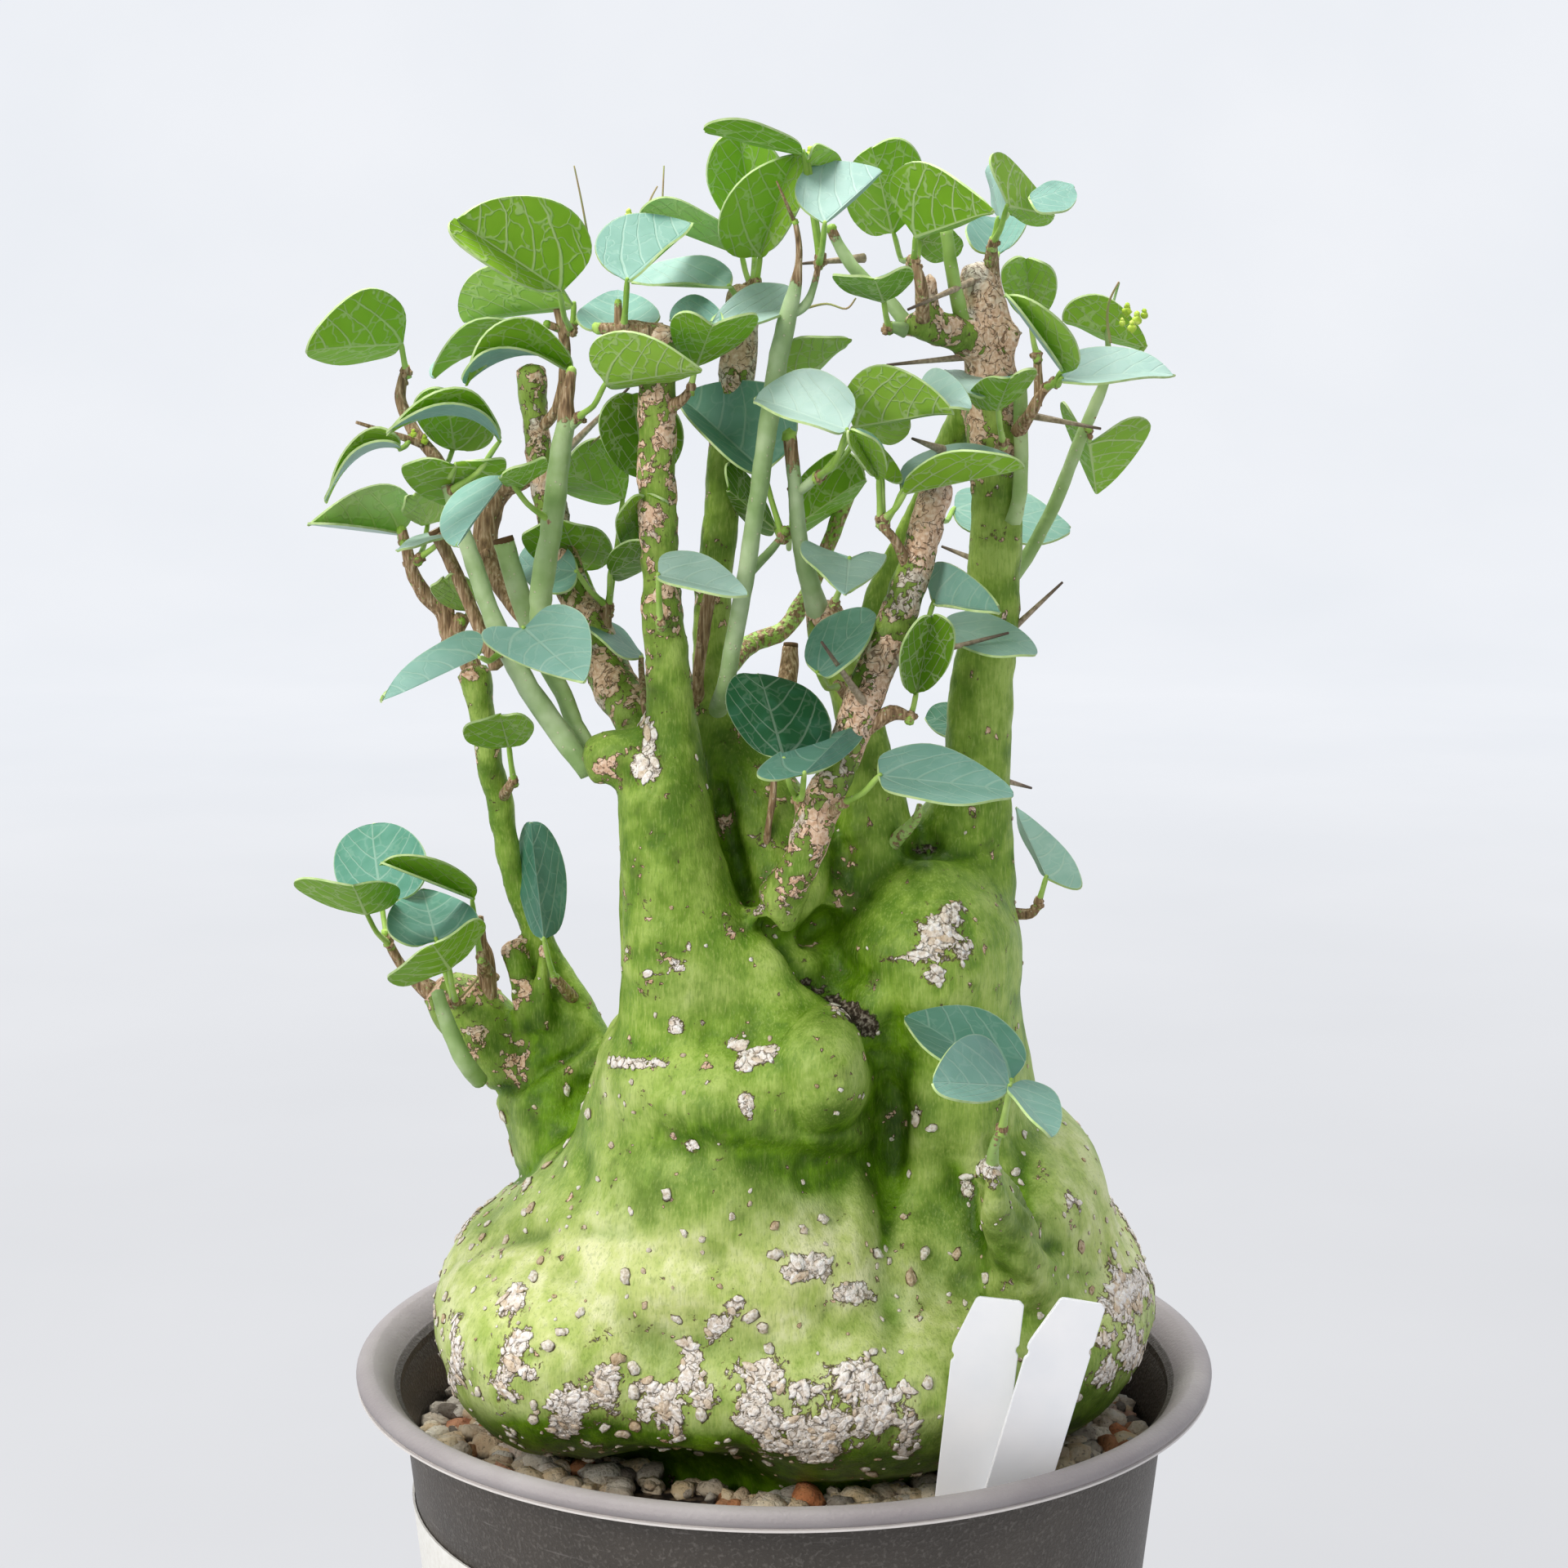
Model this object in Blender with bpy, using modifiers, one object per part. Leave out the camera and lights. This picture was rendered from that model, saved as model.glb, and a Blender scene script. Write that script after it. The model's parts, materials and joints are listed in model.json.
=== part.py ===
"""Potted adenia: a swollen green caudex with forked trunks, leafy sprays and spines, in a pot of grit.

Metres, +Z up. The origin is the centre of the pot's underside, and the plant's front faces -Y.
Sizes are real sizes. The plant is irregular, so its routes and leaf corners are places read off
the photograph: (u, v) in its 1920 x 1920 frame and "front", millimetres towards the viewer from
the upright plane through the pot's middle. seen() turns such a place into metres.
"""
import math
from collections import namedtuple

import bmesh
import bpy
from mathutils import Vector, noise

# Pot, in metres
POT_HEIGHT = 0.190
RIM_RADIUS = 0.120
RIM_INNER_RADIUS = 0.1125
RIM_THICKNESS = 0.0055
WALL_TOP_RADIUS = 0.1075
WALL_THICKNESS = 0.0022
BASE_RADIUS = 0.086
BASE_THICKNESS = 0.003
FOOT_HEIGHT = 0.003
DRAIN_HOLES = 6
DRAIN_RADIUS = 0.006
DRAIN_RING = 0.058
TURN_STEPS = 40

# Grit filling, in metres
GRIT_TOP = 0.1635
GRIT_BOTTOM = 0.0036
GRIT_RELIEF = 0.0022
GRIT_GRAIN = 0.009
GRIT_RINGS = 13

# Plant, in metres
LEAF_LENGTH = 0.036
LEAF_HALF_WIDTH = 0.018
LEAF_THICKNESS = 0.0008
STALK_RADIUS = 0.0011
SPINE_RADIUS = 0.0010
ROOT_DEPTH = 0.006
BULB_VOXEL = 0.004
BULB_ROUNDS = 9
CAUDEX_VOXEL = 0.0026
CAUDEX_ROUNDS = 5
CAUDEX_FACES = 3900
SPRAY_KEEP = 0.80

# Labels and sticker, in metres
LABEL_WIDTH = 0.0170
LABEL_THICKNESS = 0.0010
LABEL_SHOULDER = 0.012
LABEL_BURIED = 0.030
STICKER_HEIGHT = 0.055
STICKER_TOP = 0.151
STICKER_TURN = math.radians(56)
STICKER_MIDDLE = math.radians(-64)
STICKER_THICKNESS = 0.0006

GAP = 0.0003
MM = 0.001

# Viewer, from which the places in the tables were read
VIEW_DISTANCE = 0.8646
VIEW_HEIGHT = 0.5038
VIEW_PITCH = math.radians(10.02)
VIEW_FOCAL = 3924.0
VIEW_MIDDLE = 960.0

TOP = "top"
UNDER = "under"

# A stem is a list of knots: u, v, width in pixels, front in millimetres
THICK_TRUNKS = {
    "front_left": [(805, 402, 48, 38), (806, 500, 50, 38), (805, 600, 50, 38), (808, 700, 51, 38),
                   (812, 760, 55, 38), (818, 830, 58, 38), (822, 890, 70, 38), (815, 963, 116, 38),
                   (822, 1032, 132, 38), (828, 1087, 142, 38), (836, 1167, 160, 38), (850, 1240, 200, 36)],
    "left_flare": [(824, 1060, 128, 38), (832, 1110, 146, 38), (850, 1155, 184, 36), (872, 1195, 228, 33),
                   (892, 1232, 288, 30), (902, 1275, 338, 28), (900, 1320, 352, 26), (888, 1370, 344, 22),
                   (880, 1430, 350, 12)],
    "left_arm": [(800, 925, 66, 38), (760, 925, 70, 37), (724, 932, 56, 34)],
    "left_strip": [(776, 950, 36, 18), (775, 1080, 36, 12), (780, 1210, 40, 14)],
    "rear_left": [(800, 940, 64, 25), (776, 872, 62, 15), (752, 838, 62, 8), (735, 790, 50, 2),
                  (712, 740, 48, -4), (692, 690, 45, -8), (675, 620, 42, -10), (660, 560, 38, -12),
                  (654, 500, 38, -12), (648, 450, 42, -12)],
    "middle": [(911, 352, 44, 8), (903, 450, 45, 8), (888, 550, 48, 8), (882, 640, 48, 8),
               (872, 740, 48, 10), (870, 850, 54, 14), (893, 920, 85, 16), (925, 985, 130, 18),
               (950, 1050, 150, 20), (965, 1120, 170, 22)],
    "bark_branch": [(945, 1120, 70, 44), (980, 1060, 54, 50), (1000, 1000, 52, 50), (1035, 920, 48, 48),
                    (1060, 850, 50, 46), (1090, 780, 50, 44), (1110, 720, 48, 42), (1130, 660, 45, 40),
                    (1150, 590, 42, 38)],
    "knob_branch": [(1006, 742, 52, 18), (1018, 790, 54, 18), (1045, 860, 56, 18), (1060, 930, 72, 18),
                    (1068, 1000, 96, 18), (1072, 1060, 130, 16), (1075, 1120, 190, 12)],
    "rear_right": [(1052, 900, 46, 4), (1055, 850, 44, -4), (1062, 790, 42, -8), (1078, 730, 40, -10),
                   (1105, 670, 40, -10), (1140, 600, 40, -8), (1175, 520, 42, -2), (1198, 465, 44, 6)],
    "right": [(1199, 325, 50, 10), (1202, 360, 58, 10), (1204, 400, 66, 10), (1212, 440, 62, 10),
              (1216, 500, 72, 10), (1220, 600, 66, 10), (1219, 650, 68, 10), (1215, 750, 74, 10),
              (1209, 800, 78, 10), (1202, 850, 83, 10), (1195, 950, 92, 10), (1186, 1000, 116, 8),
              (1168, 1060, 165, 6), (1142, 1120, 222, 6)],
    "right_arm": [(1192, 420, 46, 14), (1165, 406, 46, 18), (1130, 400, 38, 23), (1104, 399, 26, 26)],
    "arm_stub": [(1138, 400, 26, 22), (1138, 336, 24, 24)],
    "crown_stub": [(1225, 440, 30, 12), (1243, 402, 26, 13)],
    "far_left": [(730, 1310, 80, -14), (698, 1235, 58, -18), (682, 1200, 47, -20), (662, 1150, 40, -20),
                 (626, 1063, 34, -18), (612, 980, 35, -16), (603, 950, 37, -14), (595, 900, 36, -12),
                 (586, 850, 38, -10), (581, 820, 48, -10)],
    "low_left": [(538, 1204, 60, -22), (562, 1230, 92, -22), (598, 1262, 96, -22), (632, 1305, 86, -22),
                 (664, 1365, 92, -22), (700, 1430, 150, -16)],
    "low_web": [(704, 1215, 44, -18), (690, 1262, 78, -18), (680, 1310, 104, -18), (690, 1370, 130, -16),
                (712, 1440, 150, -14)],
    "low_stub_tall": [(648, 1262, 34, -14), (640, 1215, 30, -14), (625, 1156, 28, -14)],
    "low_stub_short": [(664, 1262, 26, -10), (665, 1200, 20, -10), (665, 1158, 16, -10)],
    "front_ridge": [(1256, 1590, 120, 42), (1242, 1530, 96, 58), (1227, 1475, 66, 69), (1214, 1446, 48, 76),
                    (1209, 1429, 40, 80)],
}

# A lobe is an ellipsoid: middle u, v and front, half sizes in pixels across and up, half depth in mm
Lobe = namedtuple("Lobe", "u v front across up deep")
LOBES = [
    Lobe(890, 1300, 24, 166, 100, 46),
    Lobe(1018, 1282, 34, 64, 78, 40),
    Lobe(886, 1410, 14, 188, 150, 58),
    Lobe(905, 1500, 10, 285, 170, 66),
    Lobe(985, 1180, 0, 112, 130, 34),
    Lobe(1128, 1165, 8, 126, 150, 46),
    Lobe(1152, 1320, 2, 112, 190, 50),
    Lobe(1216, 1462, 2, 144, 124, 58),
    Lobe(740, 1600, 8, 210, 168, 70),
    Lobe(955, 1640, 14, 182, 176, 70),
    Lobe(1225, 1590, 0, 190, 162, 62),
    Lobe(973, 1600, -4, 440, 172, 88),
    Lobe(975, 1430, -12, 276, 190, 56),
    Lobe(960, 1760, -4, 230, 170, 52),
]

# Thin leafless stems, joined to the caudex
THIN_STEMS = {
    "cut_stub": [(735, 935, 26, 24), (708, 895, 22, 20), (690, 850, 22, 14), (662, 800, 25, 8),
                 (640, 740, 27, 2), (617, 664, 25, 0)],
    "knobby": [(652, 770, 20, 2), (632, 745, 20, -6), (612, 715, 24, -12), (597, 680, 30, -16),
               (596, 640, 32, -18), (612, 600, 30, -18), (640, 588, 22, -14), (662, 580, 20, -12)],
    "dead_tan": [(608, 818, 18, 6), (590, 775, 17, 4), (560, 705, 17, 2), (534, 652, 17, 2)],
    "rear_bow": [(880, 830, 26, 0), (905, 800, 25, -14), (925, 785, 24, -20), (958, 772, 23, -22),
                 (985, 735, 21, -24), (1005, 690, 20, -26), (1025, 640, 19, -28), (1056, 558, 18, -28)],
    "tan_stub": [(960, 860, 26, -10), (966, 820, 24, -14), (968, 792, 18, -16)],
    "dried": [(858, 880, 18, 14), (854, 840, 15, 20), (858, 800, 15, 21), (866, 745, 16, 21),
              (870, 728, 16, 21)],
    "green_stem": [(1180, 400, 20, 16), (1168, 345, 17, 20), (1158, 279, 15, 20)],
    "side_stub": [(1240, 640, 20, 18), (1249, 600, 18, 18), (1250, 530, 18, 18), (1248, 463, 17, 18)],
    "low_knobby": [(600, 1250, 26, -18), (598, 1215, 23, -18), (594, 1175, 22, -18), (589, 1150, 14, -18),
                   (588, 1122, 8, -18)],
    "low_glaucous": [(588, 1322, 30, -10), (572, 1300, 26, -2), (547, 1253, 22, 0), (533, 1213, 16, 0)],
    "dead_twig": [(948, 950, 8, 34), (946, 980, 9, 34), (941, 1010, 8, 35), (938, 1040, 11, 32),
                  (938, 1055, 12, 26)],
    "short_twig": [(1085, 1040, 22, 24), (1108, 1018, 16, 30), (1122, 1002, 12, 32), (1126, 985, 7, 33)],
}

# A spine grows from its root to its point: u, v, front at both ends
SPINES = {
    "crown_left": ((1192, 344, 14), (1112, 379, 40)),
    "crown_low": ((1195, 436, 12), (1086, 447, 30)),
    "bark_long": ((1108, 808, 44), (1235, 775, 58)),
    "bark_left": ((1052, 852, 52), (1006, 786, 66)),
    "right_flank": ((1235, 775, 10), (1301, 713, 18)),
    "bark_short": ((1196, 686, 8), (1153, 669, 4)),
    "low_right": ((1228, 955, 8), (1263, 965, 2)),
}

Leaf = namedtuple("Leaf", "side base tip near_edge far_edge front foot mid size")


def leaf(side, base, tip, edge_a, edge_b, front, foot=None, mid=None, size=1.0):
    """One leaf: the side that shows, its base, tip and two widest edge points, and its stalk's foot."""
    return Leaf(side, base, tip, edge_a, edge_b, front, foot, mid, size)


# A spray is one leafy shoot: its own stems, and its leaves with the feet of their stalks
SPRAYS = {
    "spray_blue_left": {
        "stems": [[(722, 945, 28, 30), (680, 890, 28, 26), (640, 830, 27, 24), (605, 760, 24, 20),
                   (580, 690, 22, 16), (562, 640, 20, 14), (550, 598, 18, 10), (533, 560, 16, 7),
                   (508, 530, 16, 4), (492, 495, 15, 3), (491, 475, 13, 2), (497, 450, 9, 2)],
                  [(520, 545, 12, 6), (480, 531, 7, 10), (436, 517, 4, 13)]],
        "leaves": [
            leaf(UNDER, (491, 419), (376, 425), (455, 357), (425, 446), 4, (497, 454, 2)),
            leaf(UNDER, (558, 568), (548, 618), (492, 575), (620, 572), 24, (545, 585, 11)),
            leaf(UNDER, (490, 550), (397, 616), (450, 548), (450, 568), 14, (506, 530, 5), (440, 560)),
            leaf(UNDER, (611, 541), (478, 532), (560, 502), (560, 523), 30, (553, 600, 12), (556, 510)),
            leaf(UNDER, (555, 549), (545, 475), (510, 505), (606, 522), -8, (540, 570, 8)),
            leaf(TOP, (588, 805), (475, 858), (548, 778), (548, 814), 38, (612, 800, 24)),
        ],
    },
    "spray_far_left": {
        "stems": [[(590, 850, 26, -10), (572, 805, 26, -12), (552, 780, 24, -12), (543, 748, 24, -12),
                   (522, 730, 20, -10), (507, 705, 17, -8), (498, 672, 14, -6), (492, 650, 12, -6)],
                  [(548, 790, 20, -12), (567, 755, 20, -10)],
                  [(503, 695, 12, -7), (513, 685, 8, -6)]],
        "leaves": [
            leaf(UNDER, (489, 656), (380, 643), (478, 594), (438, 646), -16, (494, 664, -6)),
            leaf(TOP, (548, 650), (488, 667), (520, 656), (520, 668), -2, (514, 683, -6)),
            leaf(UNDER, (524, 640), (505, 606), (497, 630), (545, 622), -24, (513, 684, -6), size=0.75),
            leaf(UNDER, (575, 746), (543, 708), (533, 732), (576, 712), -16, (567, 758, -10), size=0.65),
        ],
    },
    "spray_left_crown": {
        "stems": [[(655, 530, 16, -12), (682, 500, 14, -7), (692, 445, 13, -4), (690, 408, 14, -2),
                   (682, 374, 12, -2)],
                  [(690, 410, 11, -2), (706, 392, 11, 0)],
                  [(690, 405, 10, -2), (670, 397, 10, 0)]],
        "leaves": [
            leaf(UNDER, (703, 372), (566, 388), (610, 326), (640, 386), 2, (701, 402, 0)),
            leaf(UNDER, (685, 357), (559, 273), (700, 258), (596, 325), 24, (698, 402, 2)),
            leaf(UNDER, (690, 424), (530, 454), (600, 410), (575, 446), -12, (692, 432, -3), (610, 422)),
            leaf(UNDER, (702, 456), (572, 470), (640, 416), (625, 454), 12, (693, 440, -2), (640, 436)),
        ],
    },
    "spray_left_inner": {
        "stems": [[(740, 800, 14, 2), (743, 765, 12, 2), (744, 744, 11, 2)]],
        "leaves": [
            leaf(UNDER, (747, 700), (800, 668), (760, 668), (780, 703), 6, (746, 742, 2)),
            leaf(UNDER, (715, 697), (690, 640), (642, 668), (748, 668), -22, (744, 742, 0)),
            leaf(TOP, (706, 700), (630, 690), (668, 658), (670, 726), 8, (742, 742, 2)),
            leaf(UNDER, (763, 608), (690, 572), (745, 545), (700, 608), -14, (745, 742, 0)),
        ],
    },
    "spray_blue_bark": {
        "stems": [[(672, 812, 24, 10), (664, 770, 27, 20), (663, 722, 28, 24), (676, 640, 27, 24),
                   (687, 550, 26, 24), (692, 520, 23, 24), (694, 490, 18, 24), (700, 455, 12, 24)],
                  [(690, 530, 14, 24), (708, 512, 14, 25)]],
        "leaves": [
            leaf(UNDER, (742, 468), (857, 450), (752, 409), (800, 471), 44, (709, 510, 26)),
            leaf(TOP, (641, 768), (712, 832), (712, 752), (598, 792), 46, (668, 780, 22)),
            leaf(TOP, (620, 582), (562, 660), (549, 615), (603, 612), 38, (676, 640, 24)),
            leaf(UNDER, (641, 592), (612, 578), (667, 564), (622, 594), 38),
        ],
    },
    "spray_front_crown": {
        "stems": [[(806, 412, 34, 38), (778, 404, 24, 41), (752, 404, 18, 42), (732, 402, 14, 42)],
                  [(757, 402, 11, 42), (757, 371, 9, 42)]],
        "leaves": [
            leaf(TOP, (768, 343), (849, 272), (742, 278), (806, 316), 52, (764, 398, 43)),
            leaf(TOP, (757, 399), (757, 351), (706, 388), (808, 386), 32, (757, 403, 41)),
        ],
    },
    "spray_front_fold": {
        "stems": [[(808, 505, 20, 38), (834, 490, 14, 42), (846, 475, 9, 42)]],
        "leaves": [
            leaf(UNDER, (852, 446), (872, 394), (824, 397), (925, 399), 42, (846, 474, 42)),
            leaf(TOP, (872, 394), (972, 374), (935, 348), (930, 396), 46),
            leaf(TOP, (884, 394), (817, 386), (852, 364), (852, 396), 46, size=0.8),
        ],
    },
    "spray_trunk_front": {
        "stems": [[(812, 775, 16, 40), (808, 758, 12, 46)]],
        "leaves": [
            leaf(TOP, (806, 704), (912, 728), (850, 676), (850, 722), 54, (808, 757, 46)),
        ],
    },
    "spray_trunk_left": {
        "stems": [[(800, 890, 14, 34), (790, 866, 10, 34), (786, 830, 8, 26), (785, 806, 7, 20)]],
        "leaves": [
            leaf(TOP, (785, 803), (711, 748), (752, 764), (742, 790), 18),
        ],
    },
    "spray_trunk_rear": {
        "stems": [[(806, 650, 20, 34), (802, 632, 12, 24)]],
        "leaves": [
            leaf(UNDER, (790, 585), (775, 483), (735, 530), (836, 530), 10, (802, 634, 24)),
            leaf(UNDER, (778, 668), (790, 602), (755, 640), (820, 636), 12, (802, 636, 24)),
        ],
    },
    "spray_middle_crown": {
        "stems": [[(914, 372, 24, 8), (922, 350, 16, 10), (927, 344, 10, 12)]],
        "leaves": [
            leaf(UNDER, (908, 311), (788, 266), (846, 252), (866, 294), -2, (919, 350, 8)),
            leaf(UNDER, (931, 314), (972, 190), (883, 262), (986, 240), 8, (926, 346, 12)),
            leaf(UNDER, (925, 280), (905, 166), (867, 225), (962, 218), -16, (922, 348, 8)),
            leaf(TOP, (893, 350), (770, 345), (850, 315), (850, 350), 22, (912, 366, 12)),
        ],
    },
    "spray_front_shoot": {
        "stems": [[(876, 880, 24, 14), (884, 852, 22, 28), (890, 830, 21, 34), (901, 770, 22, 38),
                   (914, 700, 22, 40), (926, 620, 22, 41), (938, 540, 24, 41), (950, 460, 25, 40),
                   (962, 400, 24, 40), (975, 345, 17, 41), (978, 300, 13, 43), (974, 270, 8, 44)],
                  [(974, 274, 6, 43), (951, 222, 2, 52)],
                  [(966, 385, 14, 40), (985, 375, 12, 39), (996, 352, 9, 37), (1003, 320, 7, 34)],
                  [(914, 705, 14, 38), (940, 678, 11, 30), (965, 648, 9, 26)]],
        "leaves": [
            leaf(TOP, (1010, 273), (1087, 204), (984, 208), (1050, 243), 54, (1003, 322, 34)),
            leaf(UNDER, (984, 186), (866, 158), (925, 151), (955, 184), 56, (976, 274, 44)),
            leaf(UNDER, (990, 198), (1033, 204), (1008, 178), (1008, 204), 58, (977, 276, 44), size=0.5),
            leaf(UNDER, (975, 466), (1038, 417), (967, 422), (1003, 450), 8, (949, 480, 39)),
            leaf(TOP, (935, 577), (829, 480), (872, 545), (958, 480), 26, (958, 656, 27)),
            leaf(UNDER, (950, 648), (893, 600), (905, 574), (918, 642), 8, (961, 650, 27)),
            leaf(UNDER, (966, 648), (1057, 583), (1005, 562), (1022, 628), -22, (966, 654, 25)),
        ],
    },
    "spray_knob": {
        "stems": [[(1004, 760, 30, 18), (994, 722, 26, 24), (985, 690, 22, 28), (977, 640, 20, 32),
                   (973, 590, 18, 34), (967, 534, 17, 35)],
                  [(975, 605, 12, 33), (1000, 584, 13, 38)]],
        "leaves": [
            leaf(TOP, (1037, 526), (922, 484), (1012, 457), (968, 514), 76, (1004, 582, 39)),
            leaf(UNDER, (1047, 521), (1166, 500), (1072, 450), (1105, 514), 46, (1005, 583, 38)),
            leaf(TOP, (1128, 480), (1186, 492), (1152, 455), (1150, 498), 48, size=0.7),
            leaf(UNDER, (1055, 521), (1113, 512), (1092, 543), (1085, 510), 7, (1002, 584, 37), size=0.5),
        ],
    },
    "spray_knob_low": {
        "stems": [[(1026, 770, 18, 20), (1022, 740, 11, 27)]],
        "leaves": [
            leaf(TOP, (1040, 684), (1036, 722), (980, 670), (1085, 684), 38, (1022, 737, 27)),
        ],
    },
    "spray_bark_twig": {
        "stems": [[(1112, 694, 16, 42), (1096, 662, 12, 46), (1082, 645, 11, 47), (1080, 632, 9, 47)]],
        "leaves": [
            leaf(UNDER, (1076, 584), (1042, 524), (1044, 556), (1080, 552), 52, (1078, 636, 47)),
            leaf(TOP, (1080, 584), (1048, 521), (1080, 548), (1100, 576), 46, (1081, 638, 46), size=0.9),
            leaf(UNDER, (1109, 602), (1251, 571), (1165, 556), (1160, 592), 56, (1083, 635, 48)),
            leaf(TOP, (1105, 600), (1252, 567), (1158, 543), (1165, 562), 54, (1084, 641, 46.5)),
        ],
    },
    "spray_arm_tip": {
        "stems": [[(1120, 402, 22, 24), (1106, 390, 19, 24), (1085, 366, 17, 22), (1052, 336, 16, 18),
                   (1030, 305, 15, 16), (1018, 281, 13, 16)],
                  [(1108, 404, 20, 26), (1088, 399, 12, 28)]],
        "leaves": [
            leaf(UNDER, (1082, 367), (1070, 336), (1022, 344), (1117, 336), 36, (1088, 400, 28)),
        ],
    },
    "spray_arm": {
        "stems": [[(1130, 392, 18, 28), (1128, 350, 16, 33), (1118, 318, 11, 33)]],
        "leaves": [
            leaf(UNDER, (1094, 284), (1070, 183), (1037, 250), (1128, 206), -8, (1116, 318, 32)),
            leaf(UNDER, (1121, 289), (1214, 256), (1108, 204), (1168, 277), 40, (1119, 318, 33)),
            leaf(UNDER, (1127, 292), (1178, 300), (1150, 271), (1146, 322), 8, (1120, 320, 31), size=0.65),
        ],
    },
    "spray_right_crown": {
        "stems": [[(1216, 350, 22, 10), (1214, 314, 16, 14), (1217, 294, 10, 18)]],
        "leaves": [
            leaf(UNDER, (1233, 252), (1292, 264), (1222, 188), (1266, 275), 32, (1217, 296, 18)),
            leaf(TOP, (1262, 244), (1317, 227), (1282, 226), (1300, 261), 32, size=0.7),
            leaf(TOP, (1222, 268), (1207, 197), (1211, 232), (1232, 243), 20, (1216, 298, 18), size=0.7),
            leaf(TOP, (1222, 310), (1220, 260), (1182, 286), (1257, 268), 0, (1213, 320, 13)),
        ],
    },
    "spray_right_twig": {
        "stems": [[(1247, 528, 20, 18), (1262, 506, 15, 24), (1275, 482, 12, 25), (1292, 467, 9, 26)],
                  [(1272, 488, 12, 24), (1271, 455, 11, 24), (1270, 432, 9, 24)]],
        "leaves": [
            leaf(UNDER, (1262, 390), (1256, 320), (1226, 345), (1293, 350), 8, (1270, 436, 24)),
            leaf(UNDER, (1299, 455), (1231, 364), (1310, 408), (1272, 414), 40, (1281, 474, 25)),
            leaf(TOP, (1300, 463), (1440, 452), (1352, 424), (1362, 468), 40, (1290, 468, 26)),
        ],
    },
    "spray_right_front": {
        "stems": [[(1222, 560, 22, 16), (1228, 542, 12, 27)]],
        "leaves": [
            leaf(UNDER, (1222, 500), (1238, 458), (1188, 480), (1265, 462), 38, (1228, 541, 28)),
            leaf(TOP, (1210, 476), (1155, 452), (1195, 460), (1182, 482), 36, size=0.8),
        ],
    },
    "spray_right_shoot": {
        "stems": [[(1228, 720, 22, 6), (1256, 684, 18, 0), (1290, 620, 17, -2), (1320, 545, 16, -4),
                   (1337, 505, 15, -4), (1352, 468, 13, -4), (1357, 430, 8, -4), (1356, 400, 5, -4),
                   (1370, 346, 3, -4)]],
        "leaves": [
            leaf(UNDER, (1334, 540), (1344, 604), (1300, 502), (1408, 522), -10, (1333, 528, -4)),
            leaf(UNDER, (1402, 424), (1303, 388), (1350, 365), (1356, 416), -16, (1355, 462, -4)),
        ],
    },
    "spray_rear_right": {
        "stems": [[(1130, 632, 22, -10), (1148, 636, 12, -17)]],
        "leaves": [
            leaf(TOP, (1168, 622), (1308, 646), (1230, 598), (1232, 664), -38, (1149, 636, -17)),
        ],
    },
    "spray_bark_side": {
        "stems": [[(1092, 800, 16, 44), (1118, 795, 13, 50), (1130, 770, 9, 50)]],
        "leaves": [
            leaf(TOP, (1143, 737), (1221, 748), (1156, 691), (1180, 746), 40, (1129, 772, 50)),
            leaf(TOP, (1158, 768), (1266, 790), (1205, 751), (1205, 800), 34, (1132, 776, 49)),
        ],
    },
    "spray_bark_stub": {
        "stems": [[(1058, 894, 20, 47), (1092, 873, 20, 48), (1116, 879, 9, 48)]],
        "leaves": [
            leaf(UNDER, (1122, 848), (1140, 752), (1103, 800), (1168, 796), 42, (1115, 877, 48)),
        ],
    },
    "spray_right_rear_low": {
        "stems": [[(1196, 930, 20, 0), (1200, 916, 12, -14)]],
        "leaves": [
            leaf(TOP, (1192, 895), (1132, 875), (1168, 860), (1160, 903), -20, (1200, 916, -14), size=0.7),
        ],
    },
    "spray_inner_fold": {
        "stems": [[(1040, 855, 18, 22), (1026, 839, 11, 30)]],
        "leaves": [
            leaf(TOP, (1001, 823), (1070, 745), (1000, 766), (1050, 802), 56, (1026, 840, 31), size=0.85),
        ],
    },
    "spray_front_pair": {
        "stems": [[(986, 1010, 20, 44), (978, 977, 13, 51)]],
        "leaves": [
            leaf(TOP, (960, 929), (928, 817), (888, 868), (1018, 880), 74, (976, 977, 50)),
            leaf(TOP, (985, 946), (1042, 888), (931, 940), (1049, 917), 84, (978, 977, 50)),
        ],
    },
    "spray_bark_front": {
        "stems": [[(1012, 1000, 18, 52), (1032, 984, 10, 60)]],
        "leaves": [
            leaf(TOP, (1077, 949), (1238, 966), (1140, 914), (1150, 984), 70, (1033, 983, 60)),
        ],
    },
    "spray_low_left": {
        "stems": [[(530, 1215, 26, -22), (498, 1190, 14, -22), (480, 1162, 12, -20), (472, 1142, 10, -18)],
                  [(545, 1225, 18, -14), (558, 1226, 10, -2)]],
        "leaves": [
            leaf(TOP, (467, 1105), (453, 1004), (408, 1065), (522, 1052), -22, (474, 1150, -18)),
            leaf(UNDER, (448, 1117), (432, 1080), (363, 1086), (488, 1091), -4, (476, 1156, -18)),
            leaf(TOP, (534, 1150), (516, 1083), (475, 1138), (586, 1128), 2, (556, 1226, -4)),
            leaf(UNDER, (550, 1184), (530, 1155), (478, 1203), (592, 1132), 14, (558, 1225, -1)),
        ],
    },
    "spray_low_right": {
        "stems": [[(1214, 1440, 20, 76), (1217, 1405, 13, 84), (1226, 1382, 9, 88)]],
        "leaves": [
            leaf(TOP, (1238, 1323), (1109, 1238), (1222, 1244), (1150, 1296), 84, (1226, 1382, 88)),
            leaf(TOP, (1236, 1330), (1148, 1324), (1192, 1268), (1185, 1350), 96, (1226, 1382, 88)),
            leaf(TOP, (1237, 1328), (1288, 1386), (1290, 1340), (1252, 1360), 94, (1228, 1382, 88)),
        ],
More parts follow.
